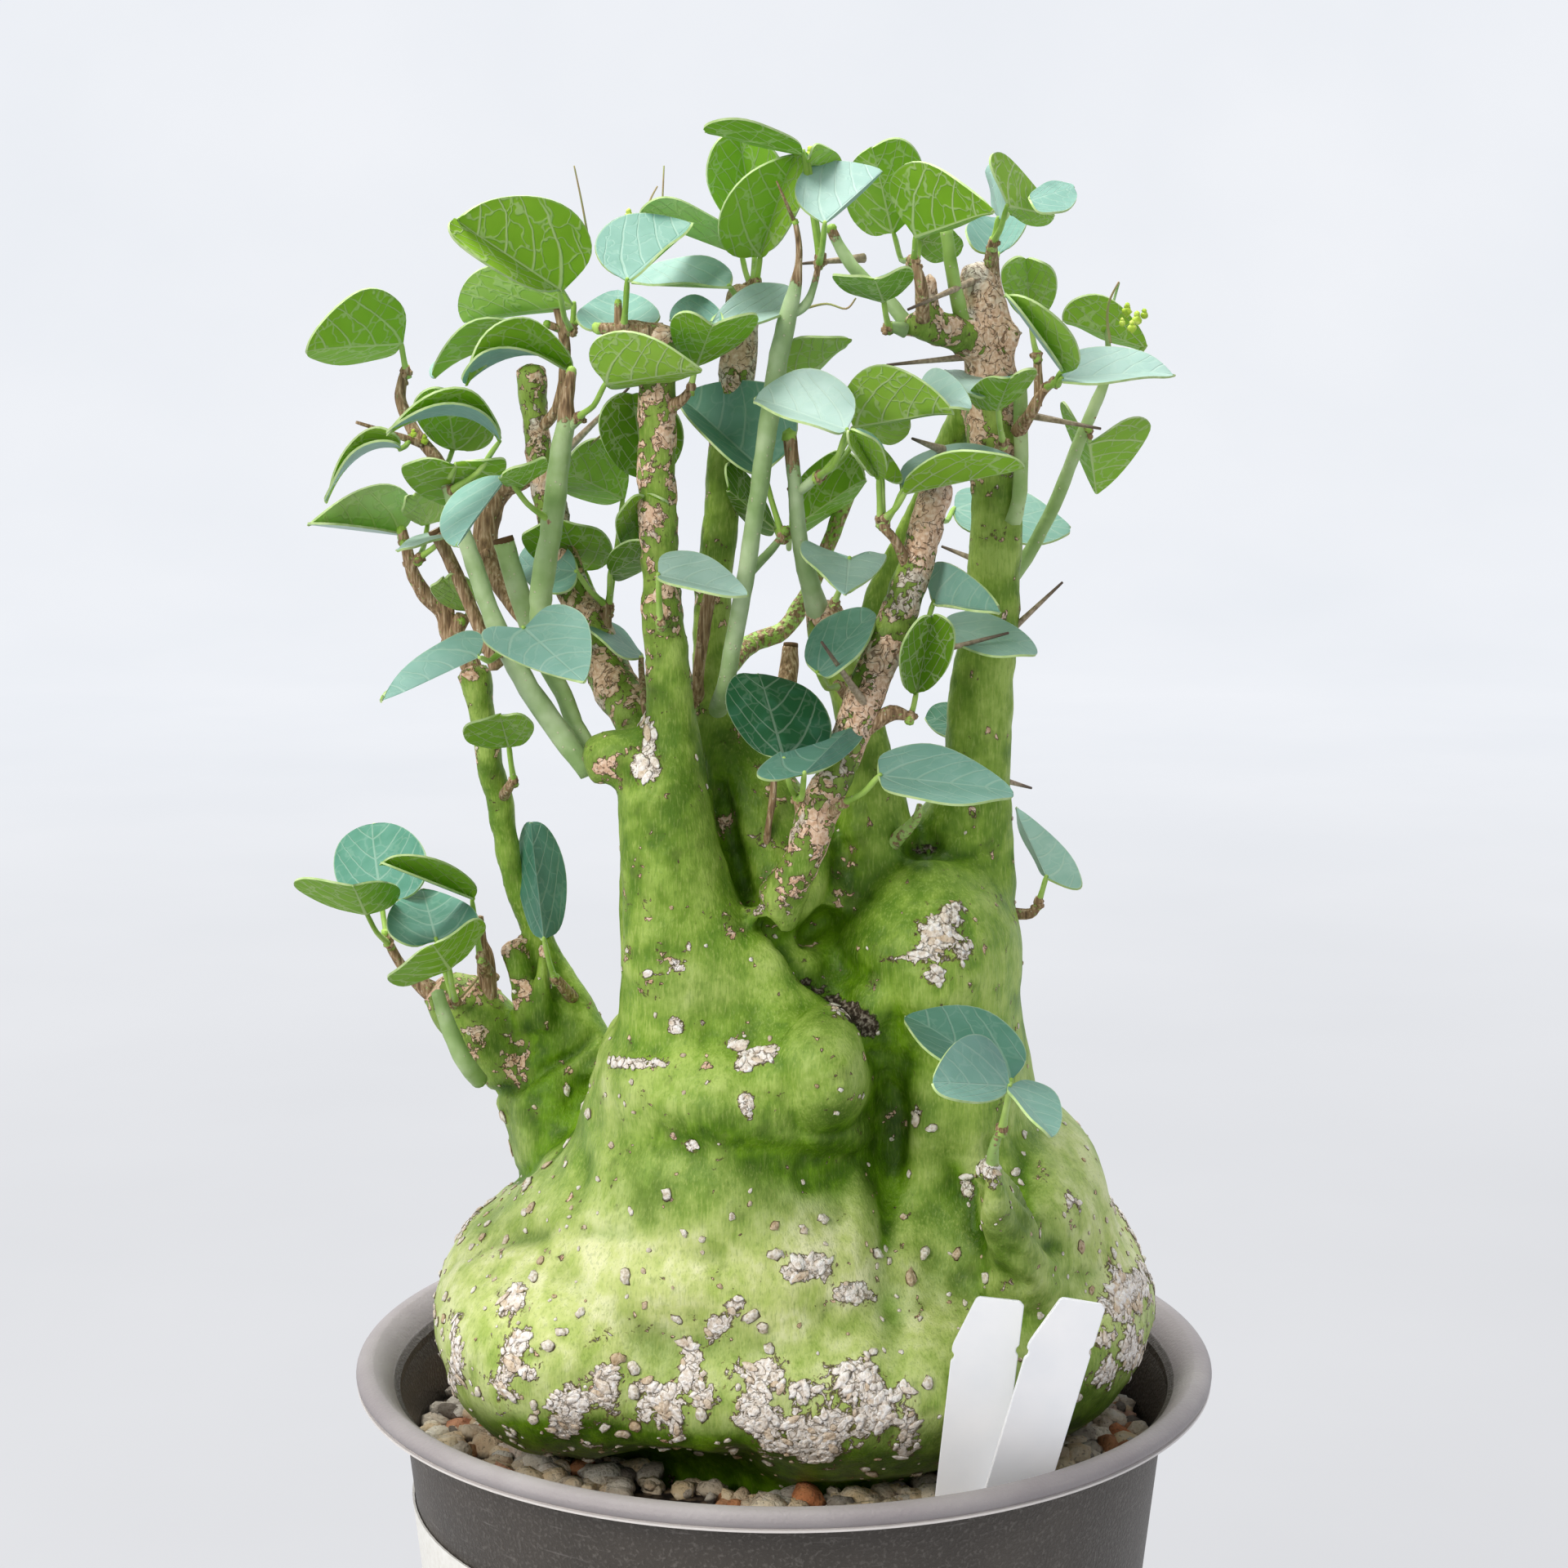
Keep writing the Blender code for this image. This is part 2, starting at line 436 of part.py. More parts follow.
    },
    "spray_low_inner": {
        "stems": [[(700, 1222, 18, -14), (680, 1197, 11, -6)]],
        "leaves": [
            leaf(TOP, (666, 1150), (648, 1002), (634, 1080), (694, 1070), 4, (679, 1198, -6)),
        ],
    },
    "spray_right_flank": {
        "stems": [[(1228, 1118, 16, 8), (1262, 1118, 13, 8), (1273, 1103, 8, 8)]],
        "leaves": [
            leaf(TOP, (1281, 1074), (1240, 985), (1256, 1034), (1322, 1064), 8, (1272, 1104, 8)),
        ],
    },
    "spray_far_left_low": {
        "stems": [[(616, 975, 16, -14), (628, 956, 10, -5)]],
        "leaves": [
            leaf(UNDER, (623, 912), (612, 873), (569, 902), (653, 890), 4, (629, 955, -4)),
        ],
    },
    "spray_low_knob": {
        "stems": [[(596, 1190, 18, -14), (588, 1170, 10, -8)]],
        "leaves": [
            leaf(UNDER, (578, 1102), (467, 1058), (545, 1056), (530, 1082), -16, (588, 1170, -8)),
        ],
    },
}

# Blade of a leaf: where along the midrib it is widest, and how far the two lobes reach behind the stalk
WIDEST = 0.40
LOBE_REACH = 0.10
EDGE_STEPS = 5
MIDRIB_SHARES = (0.0, 0.5, 1.0)

# Colours (linear), roughness
LEAF_COLOUR = (0.20, 0.40, 0.22)
CAUDEX_COLOUR = (0.27, 0.42, 0.10)
POT_COLOUR = (0.15, 0.13, 0.12)
GRIT_COLOUR = (0.32, 0.24, 0.16)
LABEL_COLOUR = (0.85, 0.88, 0.92)


def seen(u, v, front):
    """The place in metres that shows at pixel (u, v), front millimetres before the pot's middle."""
    across = (u - VIEW_MIDDLE) / VIEW_FOCAL
    rise = (VIEW_MIDDLE - v) / VIEW_FOCAL
    run = math.cos(VIEW_PITCH) + rise * math.sin(VIEW_PITCH)
    climb = rise * math.cos(VIEW_PITCH) - math.sin(VIEW_PITCH)
    scale = (VIEW_DISTANCE - front * MM) / run
    return Vector((across * scale, -front * MM, VIEW_HEIGHT + climb * scale))


def pixel_size(place):
    """Metres covered by one pixel at a place."""
    sight = Vector((0, math.cos(VIEW_PITCH), -math.sin(VIEW_PITCH)))
    return (place - VIEWER).dot(sight) / VIEW_FOCAL


VIEWER = Vector((0, -VIEW_DISTANCE, VIEW_HEIGHT))


def new_material(name, colour, roughness):
    material = bpy.data.materials.new(name)
    material.use_nodes = True
    shader = material.node_tree.nodes["Principled BSDF"]
    shader.inputs["Base Color"].default_value = (*colour, 1)
    shader.inputs["Roughness"].default_value = roughness
    shader.inputs["Metallic"].default_value = 0
    return material


def new_object(name, mesh, collection):
    piece = bpy.data.objects.new(name, mesh)
    collection.objects.link(piece)
    return piece


def mesh_from(name, shape):
    """A mesh from a bmesh, with its faces pointing out."""
    bmesh.ops.recalc_face_normals(shape, faces=shape.faces)
    mesh = bpy.data.meshes.new(name)
    shape.to_mesh(mesh)
    shape.free()
    return mesh


def evaluated_mesh(piece):
    depsgraph = bpy.context.evaluated_depsgraph_get()
    return bpy.data.meshes.new_from_object(piece.evaluated_get(depsgraph))


def apply_modifiers(piece):
    """Bake a piece's modifiers into its mesh."""
    baked = evaluated_mesh(piece)
    piece.modifiers.clear()
    piece.data = baked


def remove_all(collection):
    for piece in list(collection.objects):
        bpy.data.objects.remove(piece, do_unlink=True)
    bpy.data.collections.remove(collection)


def smooth_route(points, steps):
    """Points of a Catmull-Rom curve through the given ones, as tuples of floats."""
    if steps == 1 or len(points) < 3:
        return points
    ends = [points[0]] + points + [points[-1]]
    route = []
    for before, start, stop, after in zip(ends, ends[1:], ends[2:], ends[3:]):
        for step in range(steps):
            t = step / steps
            weights = (-0.5 * t + t * t - 0.5 * t ** 3, 1 - 2.5 * t * t + 1.5 * t ** 3,
                       0.5 * t + 2 * t * t - 1.5 * t ** 3, 0.5 * (t ** 3 - t * t))
            corners = (before, start, stop, after)
            route.append(tuple(sum(w * p[axis] for w, p in zip(weights, corners))
                               for axis in range(len(start))))
    return route + [points[-1]]


def tube(name, route, collection, sides_level):
    """A closed tube along (place, radius) pairs, as a mesh object."""
    curve = bpy.data.curves.new(name, "CURVE")
    curve.dimensions = "3D"
    curve.bevel_depth = 1.0
    curve.bevel_resolution = sides_level
    curve.use_fill_caps = True
    spline = curve.splines.new("POLY")
    spline.points.add(len(route) - 1)
    for point, (place, radius) in zip(spline.points, route):
        point.co = (*place, 1)
        point.radius = radius
    guide = new_object(name + "_guide", curve, collection)
    mesh = evaluated_mesh(guide)
    bpy.data.objects.remove(guide, do_unlink=True)
    shape = bmesh.new()
    shape.from_mesh(mesh)
    bmesh.ops.remove_doubles(shape, verts=shape.verts, dist=0.00001)
    return new_object(name, mesh_from(name, shape), collection)


def stem(name, knots, collection, steps=2, sides_level=1):
    """A tube from a table row: u, v, width in pixels and front."""
    route = []
    for u, v, width, front in smooth_route(knots, steps):
        place = seen(u, v, front)
        route.append((place, 0.5 * width * pixel_size(place)))
    return tube(name, route, collection, sides_level)


def stalk(name, leaf_row, collection):
    """A leaf's stalk, bowed a little downwards between its foot and the blade."""
    foot = seen(*leaf_row.foot)
    base = seen(*leaf_row.base, leaf_row.front)
    reach = base - foot
    sag = Vector((0, 0, -0.10 * Vector((reach.x, reach.y, 0)).length))
    inside = foot - reach.normalized() * 0.002
    beyond = base + reach.normalized() * 0.0015
    bow = foot + reach * 0.55 + sag
    route = [(inside, 1.15 * STALK_RADIUS), (bow, STALK_RADIUS), (beyond, 0.8 * STALK_RADIUS)]
    return tube(name, route, collection, 0)


def spine(name, root, point, collection):
    start = seen(*root)
    end = seen(*point)
    inside = start - (end - start).normalized() * ROOT_DEPTH
    route = [(inside, SPINE_RADIUS * 1.1), (start.lerp(end, 0.3), SPINE_RADIUS), (end, 0.00025)]
    return tube(name, route, collection, 0)


def reach_in_depth(offset, length, up_normal, toward):
    """Turn an offset seen flat into one of true length, leaning so that the blade faces up_normal."""
    flat = offset.length
    if flat >= length:
        return offset
    hidden = math.sqrt(length * length - flat * flat)
    lean = -offset.dot(up_normal) / up_normal.dot(toward)
    return offset + toward * math.copysign(0.9 * hidden, lean)


def leaf_corners(row):
    """Base, tip, middle and the two widest edge points of a leaf, in metres, left of the top side first."""
    base = seen(*row.base, row.front)
    toward = (VIEWER - base).normalized()
    facing = 1 if row.side == TOP else -1
    outward = Vector((base.x, base.y, 0)) * 2
    up_normal = (toward * facing + Vector((0, 0, 1)) + outward).normalized()
    scale = pixel_size(base)
    level = Vector((1, 0, 0)) - toward * toward.x
    level.normalize()
    rise = toward.cross(level)

    def offset(start, end):
        return (level * (end[0] - start[0]) - rise * (end[1] - start[1])) * scale

    middle = (row.base[0] + WIDEST * (row.tip[0] - row.base[0]),
              row.base[1] + WIDEST * (row.tip[1] - row.base[1]))
    axis = reach_in_depth(offset(row.base, row.tip), row.size * LEAF_LENGTH, up_normal, toward)
    sides = []
    for edge in (row.near_edge, row.far_edge):
        reach = row.size * LEAF_HALF_WIDTH
        sides.append(reach_in_depth(offset(middle, edge), reach, up_normal, toward))
    bow = Vector((0, 0, 0))
    if row.mid:
        halfway = ((row.base[0] + row.tip[0]) / 2, (row.base[1] + row.tip[1]) / 2)
        bow = offset(halfway, row.mid)
    faces_viewer = axis.cross(sides[0]).dot(toward) > 0
    if faces_viewer != (row.side == TOP):
        sides.reverse()
    return base, axis, sides, bow


def blade_edge(angle):
    """Edge of a blade at an angle from the tip: share along the midrib, and share of its half width."""
    ahead = 1 - WIDEST if math.cos(angle) > 0 else WIDEST + LOBE_REACH
    notch = LOBE_REACH * math.exp(-(((math.pi - angle) / 0.5) ** 2))
    return WIDEST + ahead * math.cos(angle) + notch, math.sin(angle)


def blade_point(corners, along, across):
    """A place on the blade: across runs from -1 at the right edge to 1 at the left."""
    base, axis, (left, right), bow = corners
    side = left if across > 0 else right
    arch = 4 * along * (1 - along)
    return base + axis * along + side * abs(across) + bow * arch


def blade(name, row, collection):
    """A leaf blade as a thin closed solid, split into triangles alike on both faces."""
    corners = leaf_corners(row)
    base, axis, (left, right), bow = corners
    normal = (axis.cross(left) + right.cross(axis)).normalized()
    shape = bmesh.new()
    faces = []

    def pair(along, across, lift):
        place = blade_point(corners, along, across) + normal * lift
        upper = shape.verts.new(place + normal * LEAF_THICKNESS / 2)
        lower = shape.verts.new(place - normal * LEAF_THICKNESS / 2)
        return upper, lower

    midrib = [pair(share, 0, 0) for share in MIDRIB_SHARES]
    rims = []
    for side in (1, -1):
        rim = []
        for step in range(1, EDGE_STEPS):
            along, across = blade_edge(math.pi * (1 - step / EDGE_STEPS))
            rim.append(pair(along, side * across, 0.06 * LEAF_HALF_WIDTH * across))
        rims.append(rim)
        ring = [midrib[0]] + rim + [midrib[2]]
        half = len(ring) // 2
        for first, second in zip(ring[:half], ring[1:half + 1]):
            faces.append((midrib[1], first, second))
        for first, second in zip(ring[half:], ring[half + 1:]):
            faces.append((midrib[1], first, second))
    for corner_set in faces:
        shape.faces.new([corner[0] for corner in corner_set])
        shape.faces.new([corner[1] for corner in corner_set])
    loop = [midrib[0]] + rims[0] + [midrib[2]] + rims[1][::-1]
    for first, second in zip(loop, loop[1:] + loop[:1]):
        shape.faces.new((first[0], second[0], second[1]))
        shape.faces.new((first[0], second[1], first[1]))
    return new_object(name, mesh_from(name, shape), collection)


def keep_largest(piece):
    """Drop loose scraps: keep only the body with the most corners."""
    shape = bmesh.new()
    shape.from_mesh(piece.data)
    left = set(shape.verts)
    largest = set()
    while left:
        body = {left.pop()}
        edge_of_body = list(body)
        while edge_of_body:
            corner = edge_of_body.pop()
            for edge in corner.link_edges:
                other = edge.other_vert(corner)
                if other in left:
                    left.discard(other)
                    body.add(other)
                    edge_of_body.append(other)
        if len(body) > len(largest):
            largest = body
    bmesh.ops.delete(shape, geom=[v for v in shape.verts if v not in largest], context="VERTS")
    shape.to_mesh(piece.data)
    shape.free()


def fuse(target, pieces):
    """Join a collection of pieces into the target by one Boolean union, and remove them."""
    union = target.modifiers.new("fuse", "BOOLEAN")
    union.operation = "UNION"
    union.solver = "MANIFOLD"
    union.operand_type = "COLLECTION"
    union.collection = pieces
    apply_modifiers(target)
    remove_all(pieces)


def cut(target, cutter):
    difference = target.modifiers.new("seat", "BOOLEAN")
    difference.operation = "DIFFERENCE"
    difference.solver = "MANIFOLD"
    difference.object = cutter
    apply_modifiers(target)


def swollen_copy(piece, name, amount, cutters):
    """A copy of a piece, swollen all over, to cut a seat with a small gap."""
    copy = new_object(name, piece.data.copy(), cutters)
    swell = copy.modifiers.new("swell", "DISPLACE")
    swell.strength = amount
    swell.mid_level = 0
    apply_modifiers(copy)
    copy.hide_render = True
    copy.display_type = "WIRE"
    return copy


def make_pot(parts):
    """The pot: a turned wall with a rolled rim, a recessed floor and drain holes."""
    rim_middle = 0.5 * (RIM_RADIUS + RIM_INNER_RADIUS)
    rim_reach = 0.5 * (RIM_RADIUS - RIM_INNER_RADIUS)
    lip_low = POT_HEIGHT - RIM_THICKNESS
    floor_top = BASE_THICKNESS
    profile = []
    for step in range(7):
        angle = math.radians(110 - 22 * step)
        radius = rim_middle + rim_reach * math.cos(angle)
        height = lip_low + 0.5 * RIM_THICKNESS + 0.5 * RIM_THICKNESS * math.sin(angle)
        profile.append((radius, height))
    profile += [
        (WALL_TOP_RADIUS + 0.0015, lip_low - 0.0005),
        (WALL_TOP_RADIUS, lip_low - 0.004),
        (BASE_RADIUS + 0.002, 0.002),
        (BASE_RADIUS, 0.0),
        (0.0, 0.0),
    ]
    inside = [
        (0.0, floor_top),
        (BASE_RADIUS - WALL_THICKNESS, floor_top),
        (WALL_TOP_RADIUS - WALL_THICKNESS, lip_low - 0.006),
        (RIM_INNER_RADIUS - 0.0012, lip_low + 0.002),
    ]
    mesh = bpy.data.meshes.new("pot")
    corners = [(radius, 0, height) for radius, height in profile + inside]
    edges = [(first, first + 1) for first in range(len(corners) - 1)]
    edges.append((len(corners) - 1, 0))
    mesh.from_pydata(corners, edges, [])
    pot = new_object("pot", mesh, parts)
    turn = pot.modifiers.new("turn", "SCREW")
    turn.steps = TURN_STEPS
    turn.render_steps = TURN_STEPS
    turn.use_merge_vertices = True
    turn.merge_threshold = 0.00001
    apply_modifiers(pot)
    shape = bmesh.new()
    shape.from_mesh(pot.data)
    bmesh.ops.remove_doubles(shape, verts=shape.verts, dist=0.00001)
    bmesh.ops.dissolve_degenerate(shape, edges=shape.edges, dist=0.00001)
    pot.data = mesh_from("pot", shape)
    return pot


def drill_drains(pot, cutters):
    drills = bmesh.new()
    for hole in range(DRAIN_HOLES):
        angle = 2 * math.pi * hole / DRAIN_HOLES
        made = bmesh.ops.create_cone(drills, cap_ends=True, segments=8, radius1=DRAIN_RADIUS,
                                     radius2=DRAIN_RADIUS, depth=0.02)
        shift = Vector((DRAIN_RING * math.cos(angle), DRAIN_RING * math.sin(angle), 0))
        bmesh.ops.translate(drills, verts=made["verts"], vec=shift)
    drill = new_object("drain_drill", mesh_from("drain_drill", drills), cutters)
    drill.hide_render = True
    drill.display_type = "WIRE"
    cut(pot, drill)


def inner_radius(height):
    """Radius of the pot's inner wall at a height."""
    low = (BASE_RADIUS - WALL_THICKNESS, FOOT_HEIGHT)
    high = (WALL_TOP_RADIUS - WALL_THICKNESS, POT_HEIGHT - RIM_THICKNESS - 0.006)
    share = (height - low[1]) / (high[1] - low[1])
    return low[0] + share * (high[0] - low[0])


def grit_relief(x, y):
    """Height of the pebbly surface: rounded grains with dips between them."""
    place = Vector((x / GRIT_GRAIN, y / GRIT_GRAIN, 0.5))
    distances, _ = noise.voronoi(place)
    return GRIT_RELIEF * (1 - 1.6 * min(distances[0], 1))


def make_grit(parts):
    """The grit that fills the pot, its top raised in grains by a formula."""
    shape = bmesh.new()
    rim_gap = 2 * GAP
    rings = []
    for ring in range(GRIT_RINGS):
        share = (ring + 1) / GRIT_RINGS
        radius = (inner_radius(GRIT_TOP) - rim_gap) * share
        circle = []
        for turn in range(TURN_STEPS):
            angle = 2 * math.pi * (turn + 0.5 * (ring % 2)) / TURN_STEPS
            x, y = radius * math.cos(angle), radius * math.sin(angle)
            height = GRIT_TOP + (grit_relief(x, y) if ring < GRIT_RINGS - 1 else 0)
            circle.append(shape.verts.new((x, y, height)))
        rings.append(circle)
    low_radius = inner_radius(GRIT_BOTTOM) - rim_gap
    low = []
    for corner in rings[-1]:
        spot = corner.co.copy()
        spot.z = 0
        spot = spot.normalized() * low_radius
        low.append(shape.verts.new((spot.x, spot.y, GRIT_BOTTOM)))
    centre = shape.verts.new((0, 0, GRIT_TOP))
    bottom = shape.verts.new((0, 0, GRIT_BOTTOM))
    for index, first in enumerate(rings[0]):
        shape.faces.new((centre, first, rings[0][(index + 1) % TURN_STEPS]))
    for ring, (inner, outer) in enumerate(zip(rings, rings[1:] + [low])):
        for index in range(TURN_STEPS):
            after = (index + 1) % TURN_STEPS
            if ring % 2 == 0 and outer is not low:
                shape.faces.new((inner[index], outer[index], inner[after]))
                shape.faces.new((inner[after], outer[index], outer[after]))
            else:
                shape.faces.new((inner[index], outer[index], outer[after]))
                shape.faces.new((inner[index], outer[after], inner[after]))
    for index, first in enumerate(low):
        shape.faces.new((bottom, low[(index + 1) % TURN_STEPS], first))
    return new_object("grit", mesh_from("grit", shape), parts)


def merged(name, lumps, voxel, rounds, home):
    """One smooth closed body from a collection of overlapping lumps, which are removed."""
    bpy.context.view_layer.update()
    shape = bmesh.new()
    for piece in lumps.objects:
        mesh = evaluated_mesh(piece)
        mesh.transform(piece.matrix_world)
        shape.from_mesh(mesh)
    body = new_object(name, mesh_from(name, shape), home)
    remove_all(lumps)
    merge = body.modifiers.new("merge", "REMESH")
    merge.mode = "VOXEL"
    merge.voxel_size = voxel
    soften = body.modifiers.new("soften", "SMOOTH")
    soften.factor = 0.5
    soften.iterations = rounds
    apply_modifiers(body)
    keep_largest(body)
    return body


def new_collection(name):
    collection = bpy.data.collections.new(name)
    bpy.context.scene.collection.children.link(collection)
    return collection


def make_caudex(parts):
    """The swollen base and its thick trunks as one grown body, with stems and spines joined to it."""
    lumps = new_collection("lumps")
    for lobe in LOBES:
        middle = seen(lobe.u, lobe.v, lobe.front)
        scale = pixel_size(middle)
        bpy.ops.mesh.primitive_uv_sphere_add(segments=32, ring_count=20, location=middle)
        ball = bpy.context.object
        ball.scale = (lobe.across * scale, lobe.deep * MM, lobe.up * scale)
        for home in list(ball.users_collection):
            home.objects.unlink(ball)
        lumps.objects.link(ball)
    limbs = new_collection("limbs")
    merged("bulb", lumps, BULB_VOXEL, BULB_ROUNDS, limbs)
    for name, knots in THICK_TRUNKS.items():
        stem(name, knots, limbs, steps=3, sides_level=4)
    caudex = merged("caudex", limbs, CAUDEX_VOXEL, CAUDEX_ROUNDS, parts)
    thin = caudex.modifiers.new("thin", "DECIMATE")
    thin.ratio = min(1, CAUDEX_FACES / (2 * len(caudex.data.polygons)))
    apply_modifiers(caudex)
    twigs = new_collection("twigs")
    for name, knots in THIN_STEMS.items():
        stem(name, knots, twigs, steps=1, sides_level=1)
    for name, (root, point) in SPINES.items():
        spine(name, root, point, twigs)
    fuse(caudex, twigs)
    keep_largest(caudex)
    return caudex


def make_spray(name, spray, seat, parts):
    """A leafy shoot: stems, stalks and blades in one body, seated on the caudex."""
    bits = new_collection(name + "_bits")
    main = stem(name, spray["stems"][0], parts, steps=1, sides_level=1)
    for index, knots in enumerate(spray["stems"][1:]):
        stem(f"{name}_stem_{index}", knots, bits, steps=1, sides_level=0)
    for index, row in enumerate(spray["leaves"]):
        blade(f"{name}_blade_{index}", row, bits)
        if row.foot:
            stalk(f"{name}_stalk_{index}", row, bits)
    fuse(main, bits)
    cut(main, seat)
    keep_largest(main)
    tidy_up = main.modifiers.new("tidy_up", "DECIMATE")
    tidy_up.ratio = SPRAY_KEEP
    apply_modifiers(main)
    return main


def make_label(name, foot, head, shoulder_turn, parts):
    """A plant label: a thin plate with a cut top corner, leaning back, its lower end in the grit."""
    low = seen(*foot)
    high = seen(*head)
    rise = high - low
    length = rise.length
    up = rise.normalized()
    across = Vector((1, 0, 0)) - up * up.x
    across.normalize()
    across = (across + Vector((0, shoulder_turn, 0))).normalized()
    outward = across.cross(up).normalized()
    half = LABEL_WIDTH / 2
    outline = [(-0.2 * half, -LABEL_BURIED), (0.2 * half, -LABEL_BURIED), (half, -0.010), (half, length),
               (-0.35 * half, length), (-half, length - LABEL_SHOULDER), (-half, -0.010)]
    shape = bmesh.new()
    front = []
    back = []
    for x, z in outline:
        place = low + across * x + up * z
        front.append(shape.verts.new(place + outward * LABEL_THICKNESS / 2))
        back.append(shape.verts.new(place - outward * LABEL_THICKNESS / 2))
    shape.faces.new(front)
    shape.faces.new(back[::-1])
    for index in range(len(outline)):
        after = (index + 1) % len(outline)
        shape.faces.new((front[index], back[index], back[after], front[after]))
    return new_object(name, mesh_from(name, shape), parts)


def wall_radius(height):
    """Radius of the pot's outer wall at a height."""
    low = (BASE_RADIUS + 0.002, 0.002)
    high = (WALL_TOP_RADIUS, POT_HEIGHT - RIM_THICKNESS - 0.004)
    share = (height - low[1]) / (high[1] - low[1])
    return low[0] + share * (high[0] - low[0])


def make_sticker(parts):
    """A plain paper sticker on the wall, low at the front left, following the wall's taper."""
    shape = bmesh.new()
    columns = 18
    layers = {}
    for side, lift in (("in", GAP), ("out", GAP + STICKER_THICKNESS)):
        for row in range(2):
            height = STICKER_TOP - STICKER_HEIGHT * row
            for column in range(columns + 1):
                angle = STICKER_MIDDLE + STICKER_TURN * (column / columns - 0.5) - math.pi / 2
                radius = wall_radius(height) + lift
                layers[side, row, column] = shape.verts.new(
                    (radius * math.cos(angle), radius * math.sin(angle), height))
    for column in range(columns):
        for side in ("in", "out"):
            shape.faces.new([layers[side, row, column + step]
                             for row, step in ((0, 0), (0, 1), (1, 1), (1, 0))])
        for row in range(2):
            shape.faces.new([layers[side, row, column + step]
                             for side, step in (("in", 0), ("in", 1), ("out", 1), ("out", 0))])
    for column in (0, columns):
        shape.faces.new([layers[side, row, column]
                         for side, row in (("in", 0), ("in", 1), ("out", 1), ("out", 0))])
    return new_object("pot_sticker", mesh_from("pot_sticker", shape), parts)


def main():
    for old in list(bpy.data.objects):
        bpy.data.objects.remove(old, do_unlink=True)
    parts = new_collection("potted_adenia")
    cutters = new_collection("cutters")

    pot = make_pot(parts)
    drill_drains(pot, cutters)
    caudex = make_caudex(parts)
    seat = swollen_copy(caudex, "caudex_seat", 1.3 * GAP, cutters)
    grit = make_grit(parts)
    cut(grit, seat)
    labels = [make_label("label_left", (1183, 1850, 75), (1214, 1589, 80), -0.06, parts),
              make_label("label_right", (1240, 1840, 79.2), (1316, 1591, 88.5), 0.16, parts)]
    for label in labels:
        cut(grit, swollen_copy(label, label.name + "_slot", 1.5 * GAP, cutters))
    keep_largest(grit)
    sticker = make_sticker(parts)
    sprays = [make_spray(name, spray, seat, parts) for name, spray in SPRAYS.items()]

    finishes = [([pot], "pot_plastic", POT_COLOUR, 0.6), ([grit], "pumice_grit", GRIT_COLOUR, 0.95),
                ([caudex], "green_bark", CAUDEX_COLOUR, 0.55), (labels, "label_plastic", LABEL_COLOUR, 0.4),
                ([sticker], "sticker_paper", LABEL_COLOUR, 0.7), (sprays, "leaf", LEAF_COLOUR, 0.5)]
    for pieces, name, colour, roughness in finishes:
        for piece in pieces:
            piece.data.materials.clear()
            piece.data.materials.append(new_material(f"{name}_{piece.name}", colour, roughness))
            piece.data.shade_smooth()
            piece.data.set_sharp_from_angle(angle=math.radians(40))


main()
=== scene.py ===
"""Looks of the potted adenia: a swollen green caudex with forked trunks, leafy sprays, spines and grit.

Metres, in the row's frame: the origin is the centre of the pot's underside and the front faces -Y.
The plant's routes and leaf corners are the CAD model's own: places read off the photograph, as
pixels (u, v) in its 1920 x 1920 frame and "front", millimetres towards the viewer from the upright
plane through the pot's middle.
"""

import json
import math
import random
from collections import namedtuple

import bmesh
import bpy
import numpy
from mathutils import Matrix, Vector, noise
from mathutils.bvhtree import BVHTree

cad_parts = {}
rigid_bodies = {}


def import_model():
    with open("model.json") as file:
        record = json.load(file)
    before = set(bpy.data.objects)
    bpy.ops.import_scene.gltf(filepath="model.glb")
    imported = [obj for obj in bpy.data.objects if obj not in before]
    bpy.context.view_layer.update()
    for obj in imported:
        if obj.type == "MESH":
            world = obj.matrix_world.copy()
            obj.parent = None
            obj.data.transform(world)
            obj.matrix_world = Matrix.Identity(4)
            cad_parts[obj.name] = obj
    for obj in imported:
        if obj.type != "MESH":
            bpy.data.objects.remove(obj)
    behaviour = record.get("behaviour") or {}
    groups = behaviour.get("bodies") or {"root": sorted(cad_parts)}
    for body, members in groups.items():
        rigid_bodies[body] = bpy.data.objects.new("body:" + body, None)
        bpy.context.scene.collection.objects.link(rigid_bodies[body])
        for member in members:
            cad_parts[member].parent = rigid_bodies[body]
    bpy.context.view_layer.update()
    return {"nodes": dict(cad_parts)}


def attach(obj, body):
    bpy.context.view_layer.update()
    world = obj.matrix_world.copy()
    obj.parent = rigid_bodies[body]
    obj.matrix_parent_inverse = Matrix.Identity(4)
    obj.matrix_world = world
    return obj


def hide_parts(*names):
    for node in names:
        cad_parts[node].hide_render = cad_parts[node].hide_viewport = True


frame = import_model()

# Pot, in metres
POT_HEIGHT = 0.190
RIM_RADIUS = 0.120
RIM_INNER_RADIUS = 0.1125
RIM_THICKNESS = 0.0055
WALL_TOP_RADIUS = 0.1075
WALL_THICKNESS = 0.0022
BASE_RADIUS = 0.086
BASE_THICKNESS = 0.003
FOOT_HEIGHT = 0.003
DRAIN_HOLES = 6
DRAIN_RADIUS = 0.006
DRAIN_RING = 0.058
TURN_STEPS = 40

# Grit filling, in metres
GRIT_TOP = 0.1635
GRIT_BOTTOM = 0.0036
GRIT_RELIEF = 0.0022
GRIT_GRAIN = 0.009
GRIT_RINGS = 13

